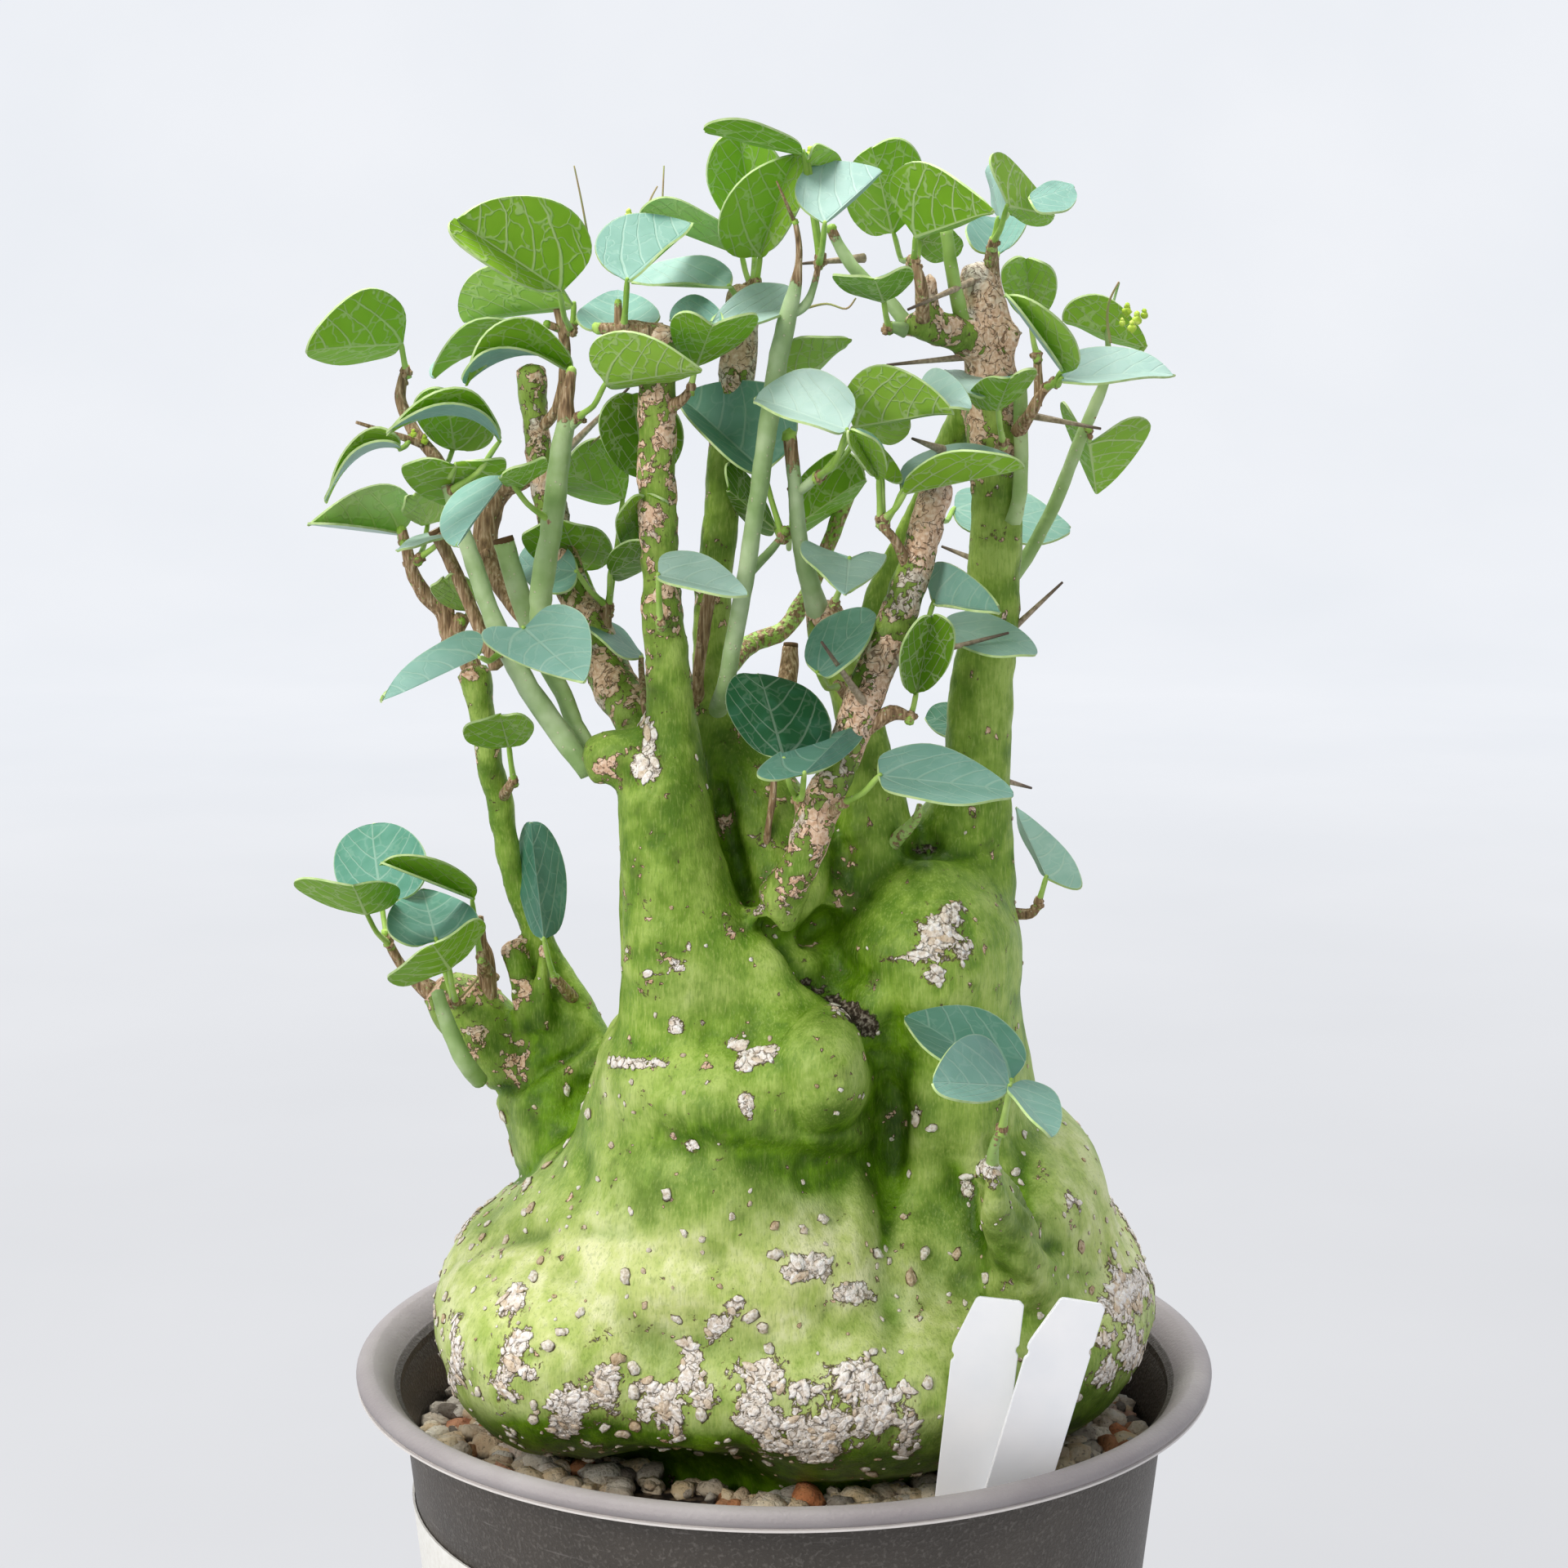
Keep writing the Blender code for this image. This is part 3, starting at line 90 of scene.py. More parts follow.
# Plant, in metres
LEAF_LENGTH = 0.036
LEAF_HALF_WIDTH = 0.018
LEAF_THICKNESS = 0.0008
STALK_RADIUS = 0.0011
SPINE_RADIUS = 0.0010
ROOT_DEPTH = 0.006
BULB_VOXEL = 0.004
BULB_ROUNDS = 9
CAUDEX_VOXEL = 0.0026
CAUDEX_ROUNDS = 5
CAUDEX_FACES = 3500
SPRAY_KEEP = 0.84

# Labels and sticker, in metres
LABEL_WIDTH = 0.0170
LABEL_THICKNESS = 0.0010
LABEL_SHOULDER = 0.012
LABEL_BURIED = 0.030
STICKER_HEIGHT = 0.055
STICKER_TOP = 0.151
STICKER_TURN = math.radians(56)
STICKER_MIDDLE = math.radians(-64)
STICKER_THICKNESS = 0.0006

GAP = 0.0003
MM = 0.001

# Viewer, from which the places in the tables were read
VIEW_DISTANCE = 0.8646
VIEW_HEIGHT = 0.5038
VIEW_PITCH = math.radians(10.02)
VIEW_FOCAL = 3924.0
VIEW_MIDDLE = 960.0

TOP = "top"
UNDER = "under"

# A stem is a list of knots: u, v, width in pixels, front in millimetres
THICK_TRUNKS = {
    "front_left": [(805, 402, 48, 38), (806, 500, 50, 38), (805, 600, 50, 38), (808, 700, 51, 38),
                   (812, 760, 55, 38), (818, 830, 58, 38), (822, 890, 70, 38), (815, 963, 116, 38),
                   (822, 1032, 132, 38), (828, 1087, 142, 38), (836, 1167, 160, 38), (850, 1240, 200, 36)],
    "left_flare": [(824, 1060, 128, 38), (832, 1110, 146, 38), (850, 1155, 184, 36), (872, 1195, 228, 33),
                   (892, 1232, 288, 30), (902, 1275, 338, 28), (900, 1320, 352, 26), (888, 1370, 344, 22),
                   (880, 1430, 350, 12)],
    "left_arm": [(800, 925, 66, 38), (760, 925, 70, 37), (724, 932, 56, 34)],
    "left_strip": [(776, 950, 36, 18), (775, 1080, 36, 12), (780, 1210, 40, 14)],
    "rear_left": [(800, 940, 64, 25), (776, 872, 62, 15), (752, 838, 62, 8), (735, 790, 50, 2),
                  (712, 740, 48, -4), (692, 690, 45, -8), (675, 620, 42, -10), (660, 560, 38, -12),
                  (654, 500, 38, -12), (648, 450, 42, -12)],
    "middle": [(911, 352, 44, 8), (903, 450, 45, 8), (888, 550, 48, 8), (882, 640, 48, 8),
               (872, 740, 48, 10), (870, 850, 54, 14), (893, 920, 85, 16), (925, 985, 130, 18),
               (950, 1050, 150, 20), (965, 1120, 170, 22)],
    "bark_branch": [(945, 1120, 70, 44), (980, 1060, 54, 50), (1000, 1000, 52, 50), (1035, 920, 48, 48),
                    (1060, 850, 50, 46), (1090, 780, 50, 44), (1110, 720, 48, 42), (1130, 660, 45, 40),
                    (1150, 590, 42, 38)],
    "knob_branch": [(1006, 742, 52, 18), (1018, 790, 54, 18), (1045, 860, 56, 18), (1060, 930, 72, 18),
                    (1068, 1000, 96, 18), (1072, 1060, 130, 16), (1075, 1120, 190, 12)],
    "rear_right": [(1052, 900, 46, 4), (1055, 850, 44, -4), (1062, 790, 42, -8), (1078, 730, 40, -10),
                   (1105, 670, 40, -10), (1140, 600, 40, -8), (1175, 520, 42, -2), (1198, 465, 44, 6)],
    "right": [(1199, 325, 50, 10), (1202, 360, 58, 10), (1204, 400, 66, 10), (1212, 440, 62, 10),
              (1216, 500, 72, 10), (1220, 600, 66, 10), (1219, 650, 68, 10), (1215, 750, 74, 10),
              (1209, 800, 78, 10), (1202, 850, 83, 10), (1195, 950, 92, 10), (1186, 1000, 116, 8),
              (1168, 1060, 165, 6), (1142, 1120, 222, 6)],
    "right_arm": [(1192, 420, 46, 14), (1165, 406, 46, 18), (1130, 400, 38, 23), (1104, 399, 26, 26)],
    "arm_stub": [(1138, 400, 26, 22), (1138, 336, 24, 24)],
    "crown_stub": [(1225, 440, 30, 12), (1243, 402, 26, 13)],
    "far_left": [(730, 1310, 80, -14), (698, 1235, 58, -18), (682, 1200, 47, -20), (662, 1150, 40, -20),
                 (626, 1063, 34, -18), (612, 980, 35, -16), (603, 950, 37, -14), (595, 900, 36, -12),
                 (586, 850, 38, -10), (581, 820, 48, -10)],
    "low_left": [(538, 1204, 60, -22), (562, 1230, 92, -22), (598, 1262, 96, -22), (632, 1305, 86, -22),
                 (664, 1365, 92, -22), (700, 1430, 150, -16)],
    "low_web": [(704, 1215, 44, -18), (690, 1262, 78, -18), (680, 1310, 104, -18), (690, 1370, 130, -16),
                (712, 1440, 150, -14)],
    "low_stub_tall": [(648, 1262, 34, -14), (640, 1215, 30, -14), (625, 1156, 28, -14)],
    "low_stub_short": [(664, 1262, 26, -10), (665, 1200, 20, -10), (665, 1158, 16, -10)],
    "front_ridge": [(1256, 1590, 120, 42), (1242, 1530, 96, 58), (1227, 1475, 66, 69), (1214, 1446, 48, 76),
                    (1209, 1429, 40, 80)],
}

# A lobe is an ellipsoid: middle u, v and front, half sizes in pixels across and up, half depth in mm
Lobe = namedtuple("Lobe", "u v front across up deep")
LOBES = [
    Lobe(890, 1300, 24, 166, 100, 46),
    Lobe(1018, 1282, 34, 64, 78, 40),
    Lobe(886, 1410, 14, 188, 150, 58),
    Lobe(905, 1500, 10, 285, 170, 66),
    Lobe(985, 1180, 0, 112, 130, 34),
    Lobe(1128, 1165, 8, 126, 150, 46),
    Lobe(1152, 1320, 2, 112, 190, 50),
    Lobe(1216, 1462, 2, 144, 124, 58),
    Lobe(740, 1600, 8, 210, 168, 70),
    Lobe(955, 1640, 14, 182, 176, 70),
    Lobe(1225, 1590, 0, 190, 162, 62),
    Lobe(973, 1600, -4, 440, 172, 88),
    Lobe(975, 1430, -12, 276, 190, 56),
    Lobe(960, 1760, -4, 230, 170, 52),
]

# Thin leafless stems, joined to the caudex
THIN_STEMS = {
    "cut_stub": [(735, 935, 26, 24), (708, 895, 22, 20), (690, 850, 22, 14), (662, 800, 25, 8),
                 (640, 740, 27, 2), (617, 664, 25, 0)],
    "knobby": [(652, 770, 20, 2), (632, 745, 20, -6), (612, 715, 24, -12), (597, 680, 30, -16),
               (596, 640, 32, -18), (612, 600, 30, -18), (640, 588, 22, -14), (662, 580, 20, -12)],
    "dead_tan": [(608, 818, 18, 6), (590, 775, 17, 4), (560, 705, 17, 2), (534, 652, 17, 2)],
    "rear_bow": [(880, 830, 26, 0), (905, 800, 25, -14), (925, 785, 24, -20), (958, 772, 23, -22),
                 (985, 735, 21, -24), (1005, 690, 20, -26), (1025, 640, 19, -28), (1056, 558, 18, -28)],
    "tan_stub": [(960, 860, 26, -10), (966, 820, 24, -14), (968, 792, 18, -16)],
    "dried": [(858, 880, 18, 14), (854, 840, 15, 20), (858, 800, 15, 21), (866, 745, 16, 21),
              (870, 728, 16, 21)],
    "green_stem": [(1180, 400, 20, 16), (1168, 345, 17, 20), (1158, 279, 15, 20)],
    "side_stub": [(1240, 640, 20, 18), (1249, 600, 18, 18), (1250, 530, 18, 18), (1248, 463, 17, 18)],
    "low_knobby": [(600, 1250, 26, -18), (598, 1215, 23, -18), (594, 1175, 22, -18), (589, 1150, 14, -18),
                   (588, 1122, 8, -18)],
    "low_glaucous": [(586, 1322, 22, -6), (569, 1300, 22, 2), (549, 1256, 20, 4), (535, 1214, 16, 4)],
    "dead_twig": [(948, 950, 8, 34), (946, 980, 9, 34), (941, 1010, 8, 35), (938, 1040, 11, 32),
                  (938, 1055, 12, 26)],
    "short_twig": [(1085, 1040, 22, 24), (1108, 1018, 16, 30), (1122, 1002, 12, 32), (1126, 985, 7, 33)],
}

# A spine grows from its root to its point: u, v, front at both ends
SPINES = {
    "crown_left": ((1192, 344, 14), (1112, 379, 40)),
    "crown_low": ((1195, 436, 12), (1086, 447, 30)),
    "bark_long": ((1108, 808, 44), (1235, 775, 58)),
    "bark_left": ((1052, 852, 52), (1006, 786, 66)),
    "right_flank": ((1235, 775, 10), (1301, 713, 18)),
    "bark_short": ((1196, 686, 8), (1153, 669, 4)),
    "low_right": ((1228, 955, 8), (1263, 965, 2)),
}

Leaf = namedtuple("Leaf", "side base tip near_edge far_edge front foot mid size")


def leaf(side, base, tip, edge_a, edge_b, front, foot=None, mid=None, size=1.0):
    """One leaf: the side that shows, its base, tip and two widest edge points, and its stalk's foot."""
    return Leaf(side, base, tip, edge_a, edge_b, front, foot, mid, size)


# A spray is one leafy shoot: its own stems, and its leaves with the feet of their stalks
SPRAYS = {
    "spray_blue_left": {
        "stems": [[(722, 945, 28, 30), (680, 890, 28, 26), (640, 830, 27, 24), (605, 760, 24, 20),
                   (580, 690, 22, 16), (562, 640, 20, 14), (550, 598, 18, 10), (533, 560, 16, 7),
                   (508, 530, 16, 4), (492, 495, 15, 3), (491, 475, 13, 2), (497, 450, 9, 2)],
                  [(520, 545, 12, 6), (480, 531, 7, 10), (436, 517, 4, 13)]],
        "leaves": [
            leaf(UNDER, (491, 419), (376, 425), (455, 357), (425, 446), 4, (497, 454, 2)),
            leaf(UNDER, (558, 568), (548, 618), (492, 575), (620, 572), 24, (545, 585, 11)),
            leaf(UNDER, (490, 550), (397, 616), (450, 548), (450, 568), 14, (506, 530, 5), (440, 560)),
            leaf(UNDER, (611, 541), (478, 532), (560, 502), (560, 523), 30, (553, 600, 12), (556, 510)),
            leaf(UNDER, (555, 549), (545, 475), (510, 505), (606, 522), -8, (540, 570, 8)),
            leaf(TOP, (588, 805), (475, 858), (548, 778), (548, 814), 38, (612, 800, 24)),
        ],
    },
    "spray_far_left": {
        "stems": [[(590, 850, 26, -10), (572, 805, 26, -12), (552, 780, 24, -12), (543, 748, 24, -12),
                   (522, 730, 20, -10), (507, 705, 17, -8), (498, 672, 14, -6), (492, 650, 12, -6)],
                  [(548, 790, 20, -12), (567, 755, 20, -10)],
                  [(503, 695, 12, -7), (513, 685, 8, -6)]],
        "leaves": [
            leaf(UNDER, (489, 656), (380, 643), (478, 594), (438, 646), -16, (494, 664, -6)),
            leaf(TOP, (548, 650), (488, 667), (520, 656), (520, 668), -2, (514, 683, -6)),
            leaf(UNDER, (524, 640), (505, 606), (497, 630), (545, 622), -24, (513, 684, -6), size=0.75),
            leaf(UNDER, (575, 746), (543, 708), (533, 732), (576, 712), -16, (567, 758, -10), size=0.65),
        ],
    },
    "spray_left_crown": {
        "stems": [[(655, 530, 16, -12), (682, 500, 14, -7), (692, 445, 13, -4), (690, 408, 14, -2),
                   (682, 374, 12, -2)],
                  [(690, 410, 11, -2), (706, 392, 11, 0)],
                  [(690, 405, 10, -2), (670, 397, 10, 0)]],
        "leaves": [
            leaf(UNDER, (703, 372), (566, 388), (610, 326), (640, 386), 2, (701, 402, 0)),
            leaf(UNDER, (685, 357), (559, 273), (700, 258), (596, 325), 24, (698, 402, 2)),
            leaf(UNDER, (690, 424), (530, 454), (600, 410), (575, 446), -12, (692, 432, -3), (610, 422)),
            leaf(UNDER, (702, 456), (572, 470), (640, 416), (625, 454), 12, (693, 440, -2), (640, 436)),
        ],
    },
    "spray_left_inner": {
        "stems": [[(740, 800, 14, 2), (743, 765, 12, 2), (744, 744, 11, 2)]],
        "leaves": [
            leaf(UNDER, (747, 700), (800, 668), (760, 668), (780, 703), 6, (746, 742, 2)),
            leaf(UNDER, (715, 697), (690, 640), (642, 668), (748, 668), -22, (744, 742, 0)),
            leaf(TOP, (706, 700), (630, 690), (668, 658), (670, 726), 8, (742, 742, 2)),
            leaf(UNDER, (763, 608), (690, 572), (745, 545), (700, 608), -14, (745, 742, 0)),
        ],
    },
    "spray_blue_bark": {
        "stems": [[(672, 812, 24, 10), (664, 770, 27, 20), (663, 722, 28, 24), (676, 640, 27, 24),
                   (687, 550, 26, 24), (692, 520, 23, 24), (694, 490, 18, 24), (700, 455, 12, 24)],
                  [(690, 530, 14, 24), (708, 512, 14, 25)]],
        "leaves": [
            leaf(UNDER, (742, 468), (857, 450), (752, 409), (800, 471), 44, (709, 510, 26)),
            leaf(TOP, (641, 768), (712, 832), (712, 752), (598, 792), 46, (668, 780, 22)),
            leaf(TOP, (620, 582), (562, 660), (549, 615), (603, 612), 38, (676, 640, 24)),
            leaf(UNDER, (641, 592), (612, 578), (667, 564), (622, 594), 38),
        ],
    },
    "spray_front_crown": {
        "stems": [[(806, 412, 34, 38), (778, 404, 24, 41), (752, 404, 18, 42), (732, 402, 14, 42)],
                  [(757, 402, 11, 42), (757, 371, 9, 42)]],
        "leaves": [
            leaf(TOP, (768, 343), (849, 272), (742, 278), (806, 316), 52, (764, 398, 43)),
            leaf(TOP, (757, 399), (757, 351), (706, 388), (808, 386), 32, (757, 403, 41)),
        ],
    },
    "spray_front_fold": {
        "stems": [[(808, 505, 20, 38), (834, 490, 14, 42), (846, 475, 9, 42)]],
        "leaves": [
            leaf(UNDER, (852, 446), (872, 394), (824, 397), (925, 399), 42, (846, 474, 42)),
            leaf(TOP, (872, 394), (972, 374), (935, 348), (930, 396), 46),
            leaf(TOP, (884, 394), (817, 386), (852, 364), (852, 396), 46, size=0.8),
        ],
    },
    "spray_trunk_front": {
        "stems": [[(812, 775, 16, 40), (808, 758, 12, 46)]],
        "leaves": [
            leaf(TOP, (806, 704), (912, 728), (850, 676), (850, 722), 54, (808, 757, 46)),
        ],
    },
    "spray_trunk_left": {
        "stems": [[(800, 890, 14, 34), (790, 866, 10, 34), (786, 830, 8, 26), (785, 806, 7, 20)]],
        "leaves": [
            leaf(TOP, (785, 803), (711, 748), (752, 764), (742, 790), 18),
        ],
    },
    "spray_trunk_rear": {
        "stems": [[(806, 650, 20, 34), (802, 632, 12, 24)]],
        "leaves": [
            leaf(UNDER, (790, 585), (775, 483), (735, 530), (836, 530), 10, (802, 634, 24)),
            leaf(UNDER, (778, 668), (790, 602), (755, 640), (820, 636), 12, (802, 636, 24)),
        ],
    },
    "spray_middle_crown": {
        "stems": [[(914, 372, 24, 8), (922, 350, 16, 10), (927, 344, 10, 12)]],
        "leaves": [
            leaf(UNDER, (908, 311), (788, 266), (846, 252), (866, 294), -2, (919, 350, 8)),
            leaf(UNDER, (931, 314), (972, 190), (883, 262), (986, 240), 8, (926, 346, 12)),
            leaf(UNDER, (925, 280), (905, 166), (867, 225), (962, 218), -16, (922, 348, 8)),
            leaf(TOP, (893, 350), (770, 345), (850, 315), (850, 350), 22, (912, 366, 12)),
        ],
    },
    "spray_front_shoot": {
        "stems": [[(876, 880, 24, 14), (884, 852, 22, 28), (890, 830, 21, 34), (901, 770, 22, 38),
                   (914, 700, 22, 40), (926, 620, 22, 41), (938, 540, 24, 41), (950, 460, 25, 40),
                   (962, 400, 24, 40), (974, 350, 16, 41), (978, 322, 9, 42), (978, 298, 8, 43), (974, 272, 7, 44)],
                  [(974, 274, 6, 43), (951, 222, 2, 52)],
                  [(966, 385, 14, 40), (985, 375, 12, 39), (996, 352, 9, 37), (1003, 320, 7, 34)],
                  [(914, 705, 14, 38), (940, 678, 11, 30), (965, 648, 9, 26)]],
        "leaves": [
            leaf(TOP, (1010, 273), (1087, 204), (984, 208), (1050, 243), 54, (1003, 322, 34)),
            leaf(UNDER, (984, 186), (866, 158), (925, 151), (955, 184), 36, (1004, 316, 31)),
            leaf(UNDER, (990, 198), (1033, 204), (1008, 178), (1008, 204), 35, (1005, 314, 31), size=0.5),
            leaf(UNDER, (975, 466), (1038, 417), (967, 422), (1003, 450), 8, (949, 480, 39)),
            leaf(TOP, (935, 577), (829, 480), (872, 545), (958, 480), 26, (958, 656, 27)),
            leaf(UNDER, (950, 648), (893, 600), (905, 574), (918, 642), 8, (961, 650, 27)),
            leaf(UNDER, (966, 648), (1057, 583), (1005, 562), (1022, 628), -22, (966, 654, 25)),
        ],
    },
    "spray_knob": {
        "stems": [[(1004, 760, 30, 18), (994, 722, 26, 24), (985, 690, 22, 28), (977, 640, 20, 32),
                   (973, 590, 18, 34), (967, 534, 17, 35)],
                  [(975, 605, 12, 33), (1000, 584, 13, 38)]],
        "leaves": [
            leaf(TOP, (1037, 526), (922, 484), (1012, 457), (968, 514), 76, (1004, 582, 39)),
            leaf(UNDER, (1047, 521), (1166, 500), (1072, 450), (1105, 514), 46, (1005, 583, 38)),
            leaf(TOP, (1128, 480), (1186, 492), (1152, 455), (1150, 498), 48, size=0.7),
            leaf(UNDER, (1055, 521), (1113, 512), (1092, 543), (1085, 510), 7, (1002, 584, 37), size=0.5),
        ],
    },
    "spray_knob_low": {
        "stems": [[(1026, 770, 18, 20), (1022, 740, 11, 27)]],
        "leaves": [
            leaf(TOP, (1040, 684), (1036, 722), (980, 670), (1085, 684), 38, (1022, 737, 27)),
        ],
    },
    "spray_bark_twig": {
        "stems": [[(1112, 694, 16, 42), (1096, 662, 12, 46), (1082, 645, 11, 47), (1080, 632, 9, 47)]],
        "leaves": [
            leaf(UNDER, (1076, 584), (1042, 524), (1044, 556), (1080, 552), 52, (1078, 636, 47)),
            leaf(TOP, (1080, 584), (1048, 521), (1080, 548), (1100, 576), 46, (1081, 638, 46), size=0.9),
            leaf(UNDER, (1109, 602), (1251, 571), (1165, 556), (1160, 592), 56, (1083, 635, 48)),
            leaf(TOP, (1105, 600), (1252, 567), (1158, 543), (1165, 562), 54, (1084, 641, 46.5)),
        ],
    },
    "spray_arm_tip": {
        "stems": [[(1120, 402, 22, 24), (1106, 390, 19, 24), (1085, 366, 17, 22), (1052, 336, 16, 18),
                   (1030, 305, 15, 16), (1018, 281, 13, 16)],
                  [(1108, 404, 20, 26), (1088, 399, 12, 28)]],
        "leaves": [
            leaf(UNDER, (1082, 367), (1070, 336), (1022, 344), (1117, 336), 36, (1088, 400, 28)),
        ],
    },
    "spray_arm": {
        "stems": [[(1130, 392, 18, 28), (1128, 350, 16, 33), (1118, 318, 11, 33)]],
        "leaves": [
            leaf(UNDER, (1094, 284), (1070, 183), (1037, 250), (1128, 206), -8, (1116, 318, 32)),
            leaf(UNDER, (1121, 289), (1214, 256), (1108, 204), (1168, 277), 40, (1119, 318, 33)),
            leaf(UNDER, (1127, 292), (1178, 300), (1150, 271), (1146, 322), 8, (1120, 320, 31), size=0.65),
        ],
    },
    "spray_right_crown": {
        "stems": [[(1216, 350, 22, 10), (1214, 314, 16, 14), (1217, 294, 10, 18)]],
        "leaves": [
            leaf(UNDER, (1233, 252), (1292, 264), (1222, 188), (1266, 275), 32, (1217, 296, 18)),
            leaf(TOP, (1262, 244), (1317, 227), (1282, 226), (1300, 261), 32, size=0.7),
            leaf(TOP, (1222, 268), (1207, 197), (1211, 232), (1232, 243), 20, (1216, 298, 18), size=0.7),
            leaf(TOP, (1222, 310), (1220, 260), (1182, 286), (1257, 268), 0, (1213, 320, 13)),
        ],
    },
    "spray_right_twig": {
        "stems": [[(1247, 528, 20, 18), (1262, 506, 15, 24), (1275, 482, 12, 25), (1292, 467, 9, 26)],
                  [(1272, 488, 12, 24), (1271, 455, 11, 24), (1270, 432, 9, 24)]],
        "leaves": [
            leaf(UNDER, (1262, 390), (1256, 320), (1226, 345), (1293, 350), 8, (1270, 436, 24)),
            leaf(UNDER, (1299, 455), (1231, 364), (1310, 408), (1272, 414), 40, (1281, 474, 25)),
            leaf(TOP, (1300, 463), (1440, 452), (1352, 424), (1362, 468), 40, (1290, 468, 26)),
        ],
    },
    "spray_right_front": {
        "stems": [[(1222, 560, 22, 16), (1228, 542, 12, 27)]],
        "leaves": [
            leaf(UNDER, (1222, 500), (1238, 458), (1188, 480), (1265, 462), 38, (1228, 541, 28)),
            leaf(TOP, (1210, 476), (1155, 452), (1195, 460), (1182, 482), 36, size=0.8),
        ],
    },
    "spray_right_shoot": {
        "stems": [[(1228, 720, 22, 6), (1256, 684, 18, 0), (1290, 620, 17, -2), (1320, 545, 16, -4),
                   (1337, 505, 15, -4), (1352, 468, 13, -4), (1357, 430, 8, -4), (1356, 400, 5, -4),
                   (1370, 346, 3, -4)]],
        "leaves": [
            leaf(UNDER, (1334, 540), (1344, 604), (1300, 502), (1408, 522), -10, (1333, 528, -4)),
            leaf(UNDER, (1402, 424), (1303, 388), (1350, 365), (1356, 416), -16, (1355, 462, -4)),
        ],
    },
    "spray_rear_right": {
        "stems": [[(1130, 632, 22, -10), (1148, 636, 12, -17)]],
        "leaves": [
            leaf(TOP, (1168, 622), (1308, 646), (1230, 598), (1232, 664), -38, (1149, 636, -17)),
        ],
    },
    "spray_bark_side": {
        "stems": [[(1092, 800, 16, 44), (1118, 795, 13, 50), (1130, 770, 9, 50)]],
        "leaves": [
            leaf(TOP, (1143, 737), (1221, 748), (1156, 691), (1180, 746), 40, (1129, 772, 50)),
            leaf(TOP, (1158, 768), (1266, 790), (1205, 751), (1205, 800), 34, (1132, 776, 49)),
        ],
    },
    "spray_bark_stub": {
        "stems": [[(1058, 894, 20, 47), (1092, 873, 20, 48), (1116, 879, 9, 48)]],
        "leaves": [
            leaf(UNDER, (1122, 848), (1140, 752), (1103, 800), (1168, 796), 42, (1115, 877, 48)),
        ],
    },
    "spray_right_rear_low": {
        "stems": [[(1196, 930, 20, 0), (1200, 916, 12, -14)]],
        "leaves": [
            leaf(TOP, (1192, 895), (1132, 875), (1168, 860), (1160, 903), -20, (1200, 916, -14), size=0.7),
        ],
    },
    "spray_inner_fold": {
        "stems": [[(1040, 855, 18, 22), (1026, 839, 11, 30)]],
        "leaves": [
            leaf(TOP, (1001, 823), (1070, 745), (1000, 766), (1050, 802), 56, (1026, 840, 31), size=0.85),
        ],
    },
    "spray_front_pair": {
        "stems": [[(986, 1010, 20, 44), (978, 977, 13, 51)]],
        "leaves": [
            leaf(TOP, (960, 929), (928, 817), (888, 868), (1018, 880), 74, (976, 977, 50)),
            leaf(TOP, (985, 946), (1042, 888), (931, 940), (1049, 917), 84, (978, 977, 50)),
        ],
    },
    "spray_bark_front": {
        "stems": [[(1012, 1000, 18, 52), (1032, 984, 10, 60)]],
        "leaves": [
            leaf(TOP, (1077, 949), (1238, 966), (1140, 914), (1150, 984), 70, (1033, 983, 60)),
        ],
    },
    "spray_low_left": {
        "stems": [[(530, 1215, 26, -22), (498, 1190, 14, -22), (480, 1162, 12, -20), (472, 1142, 10, -18)],
                  [(545, 1225, 18, -14), (558, 1226, 10, -2)]],
        "leaves": [
            leaf(TOP, (467, 1105), (453, 1004), (408, 1065), (522, 1052), -22, (474, 1150, -18)),
            leaf(UNDER, (448, 1117), (432, 1080), (363, 1086), (488, 1091), -4, (476, 1156, -18)),
            leaf(TOP, (534, 1150), (516, 1083), (475, 1138), (586, 1128), 2, (556, 1226, -4)),
            leaf(UNDER, (550, 1184), (530, 1155), (478, 1203), (592, 1132), 14, (558, 1225, -1)),
        ],
    },
    "spray_low_right": {
        "stems": [[(1214, 1440, 20, 76), (1217, 1405, 13, 84), (1226, 1382, 9, 88)]],
        "leaves": [
            leaf(TOP, (1238, 1323), (1109, 1238), (1222, 1244), (1150, 1296), 84, (1226, 1382, 88)),
            leaf(TOP, (1236, 1330), (1148, 1324), (1192, 1268), (1185, 1350), 96, (1226, 1382, 88)),
            leaf(TOP, (1237, 1328), (1288, 1386), (1290, 1340), (1252, 1360), 94, (1228, 1382, 88)),
        ],
    },
    "spray_low_inner": {
        "stems": [[(700, 1222, 18, -14), (680, 1197, 11, -6)]],
        "leaves": [
            leaf(TOP, (666, 1150), (648, 1002), (634, 1080), (694, 1070), 4, (679, 1198, -6)),
        ],
    },
    "spray_right_flank": {
        "stems": [[(1228, 1118, 16, 8), (1262, 1118, 13, 8), (1273, 1103, 8, 8)]],
        "leaves": [
            leaf(TOP, (1281, 1074), (1240, 985), (1256, 1034), (1322, 1064), 8, (1272, 1104, 8)),
        ],
    },
    "spray_far_left_low": {
        "stems": [[(616, 975, 16, -14), (628, 956, 10, -5)]],
        "leaves": [
            leaf(UNDER, (623, 912), (612, 873), (569, 902), (653, 890), 4, (629, 955, -4)),
        ],
    },
    "spray_low_knob": {
        "stems": [[(596, 1190, 18, -14), (588, 1170, 10, -8)]],
        "leaves": [
            leaf(UNDER, (578, 1102), (467, 1058), (545, 1056), (530, 1082), -16, (588, 1170, -8)),
        ],
    },
}

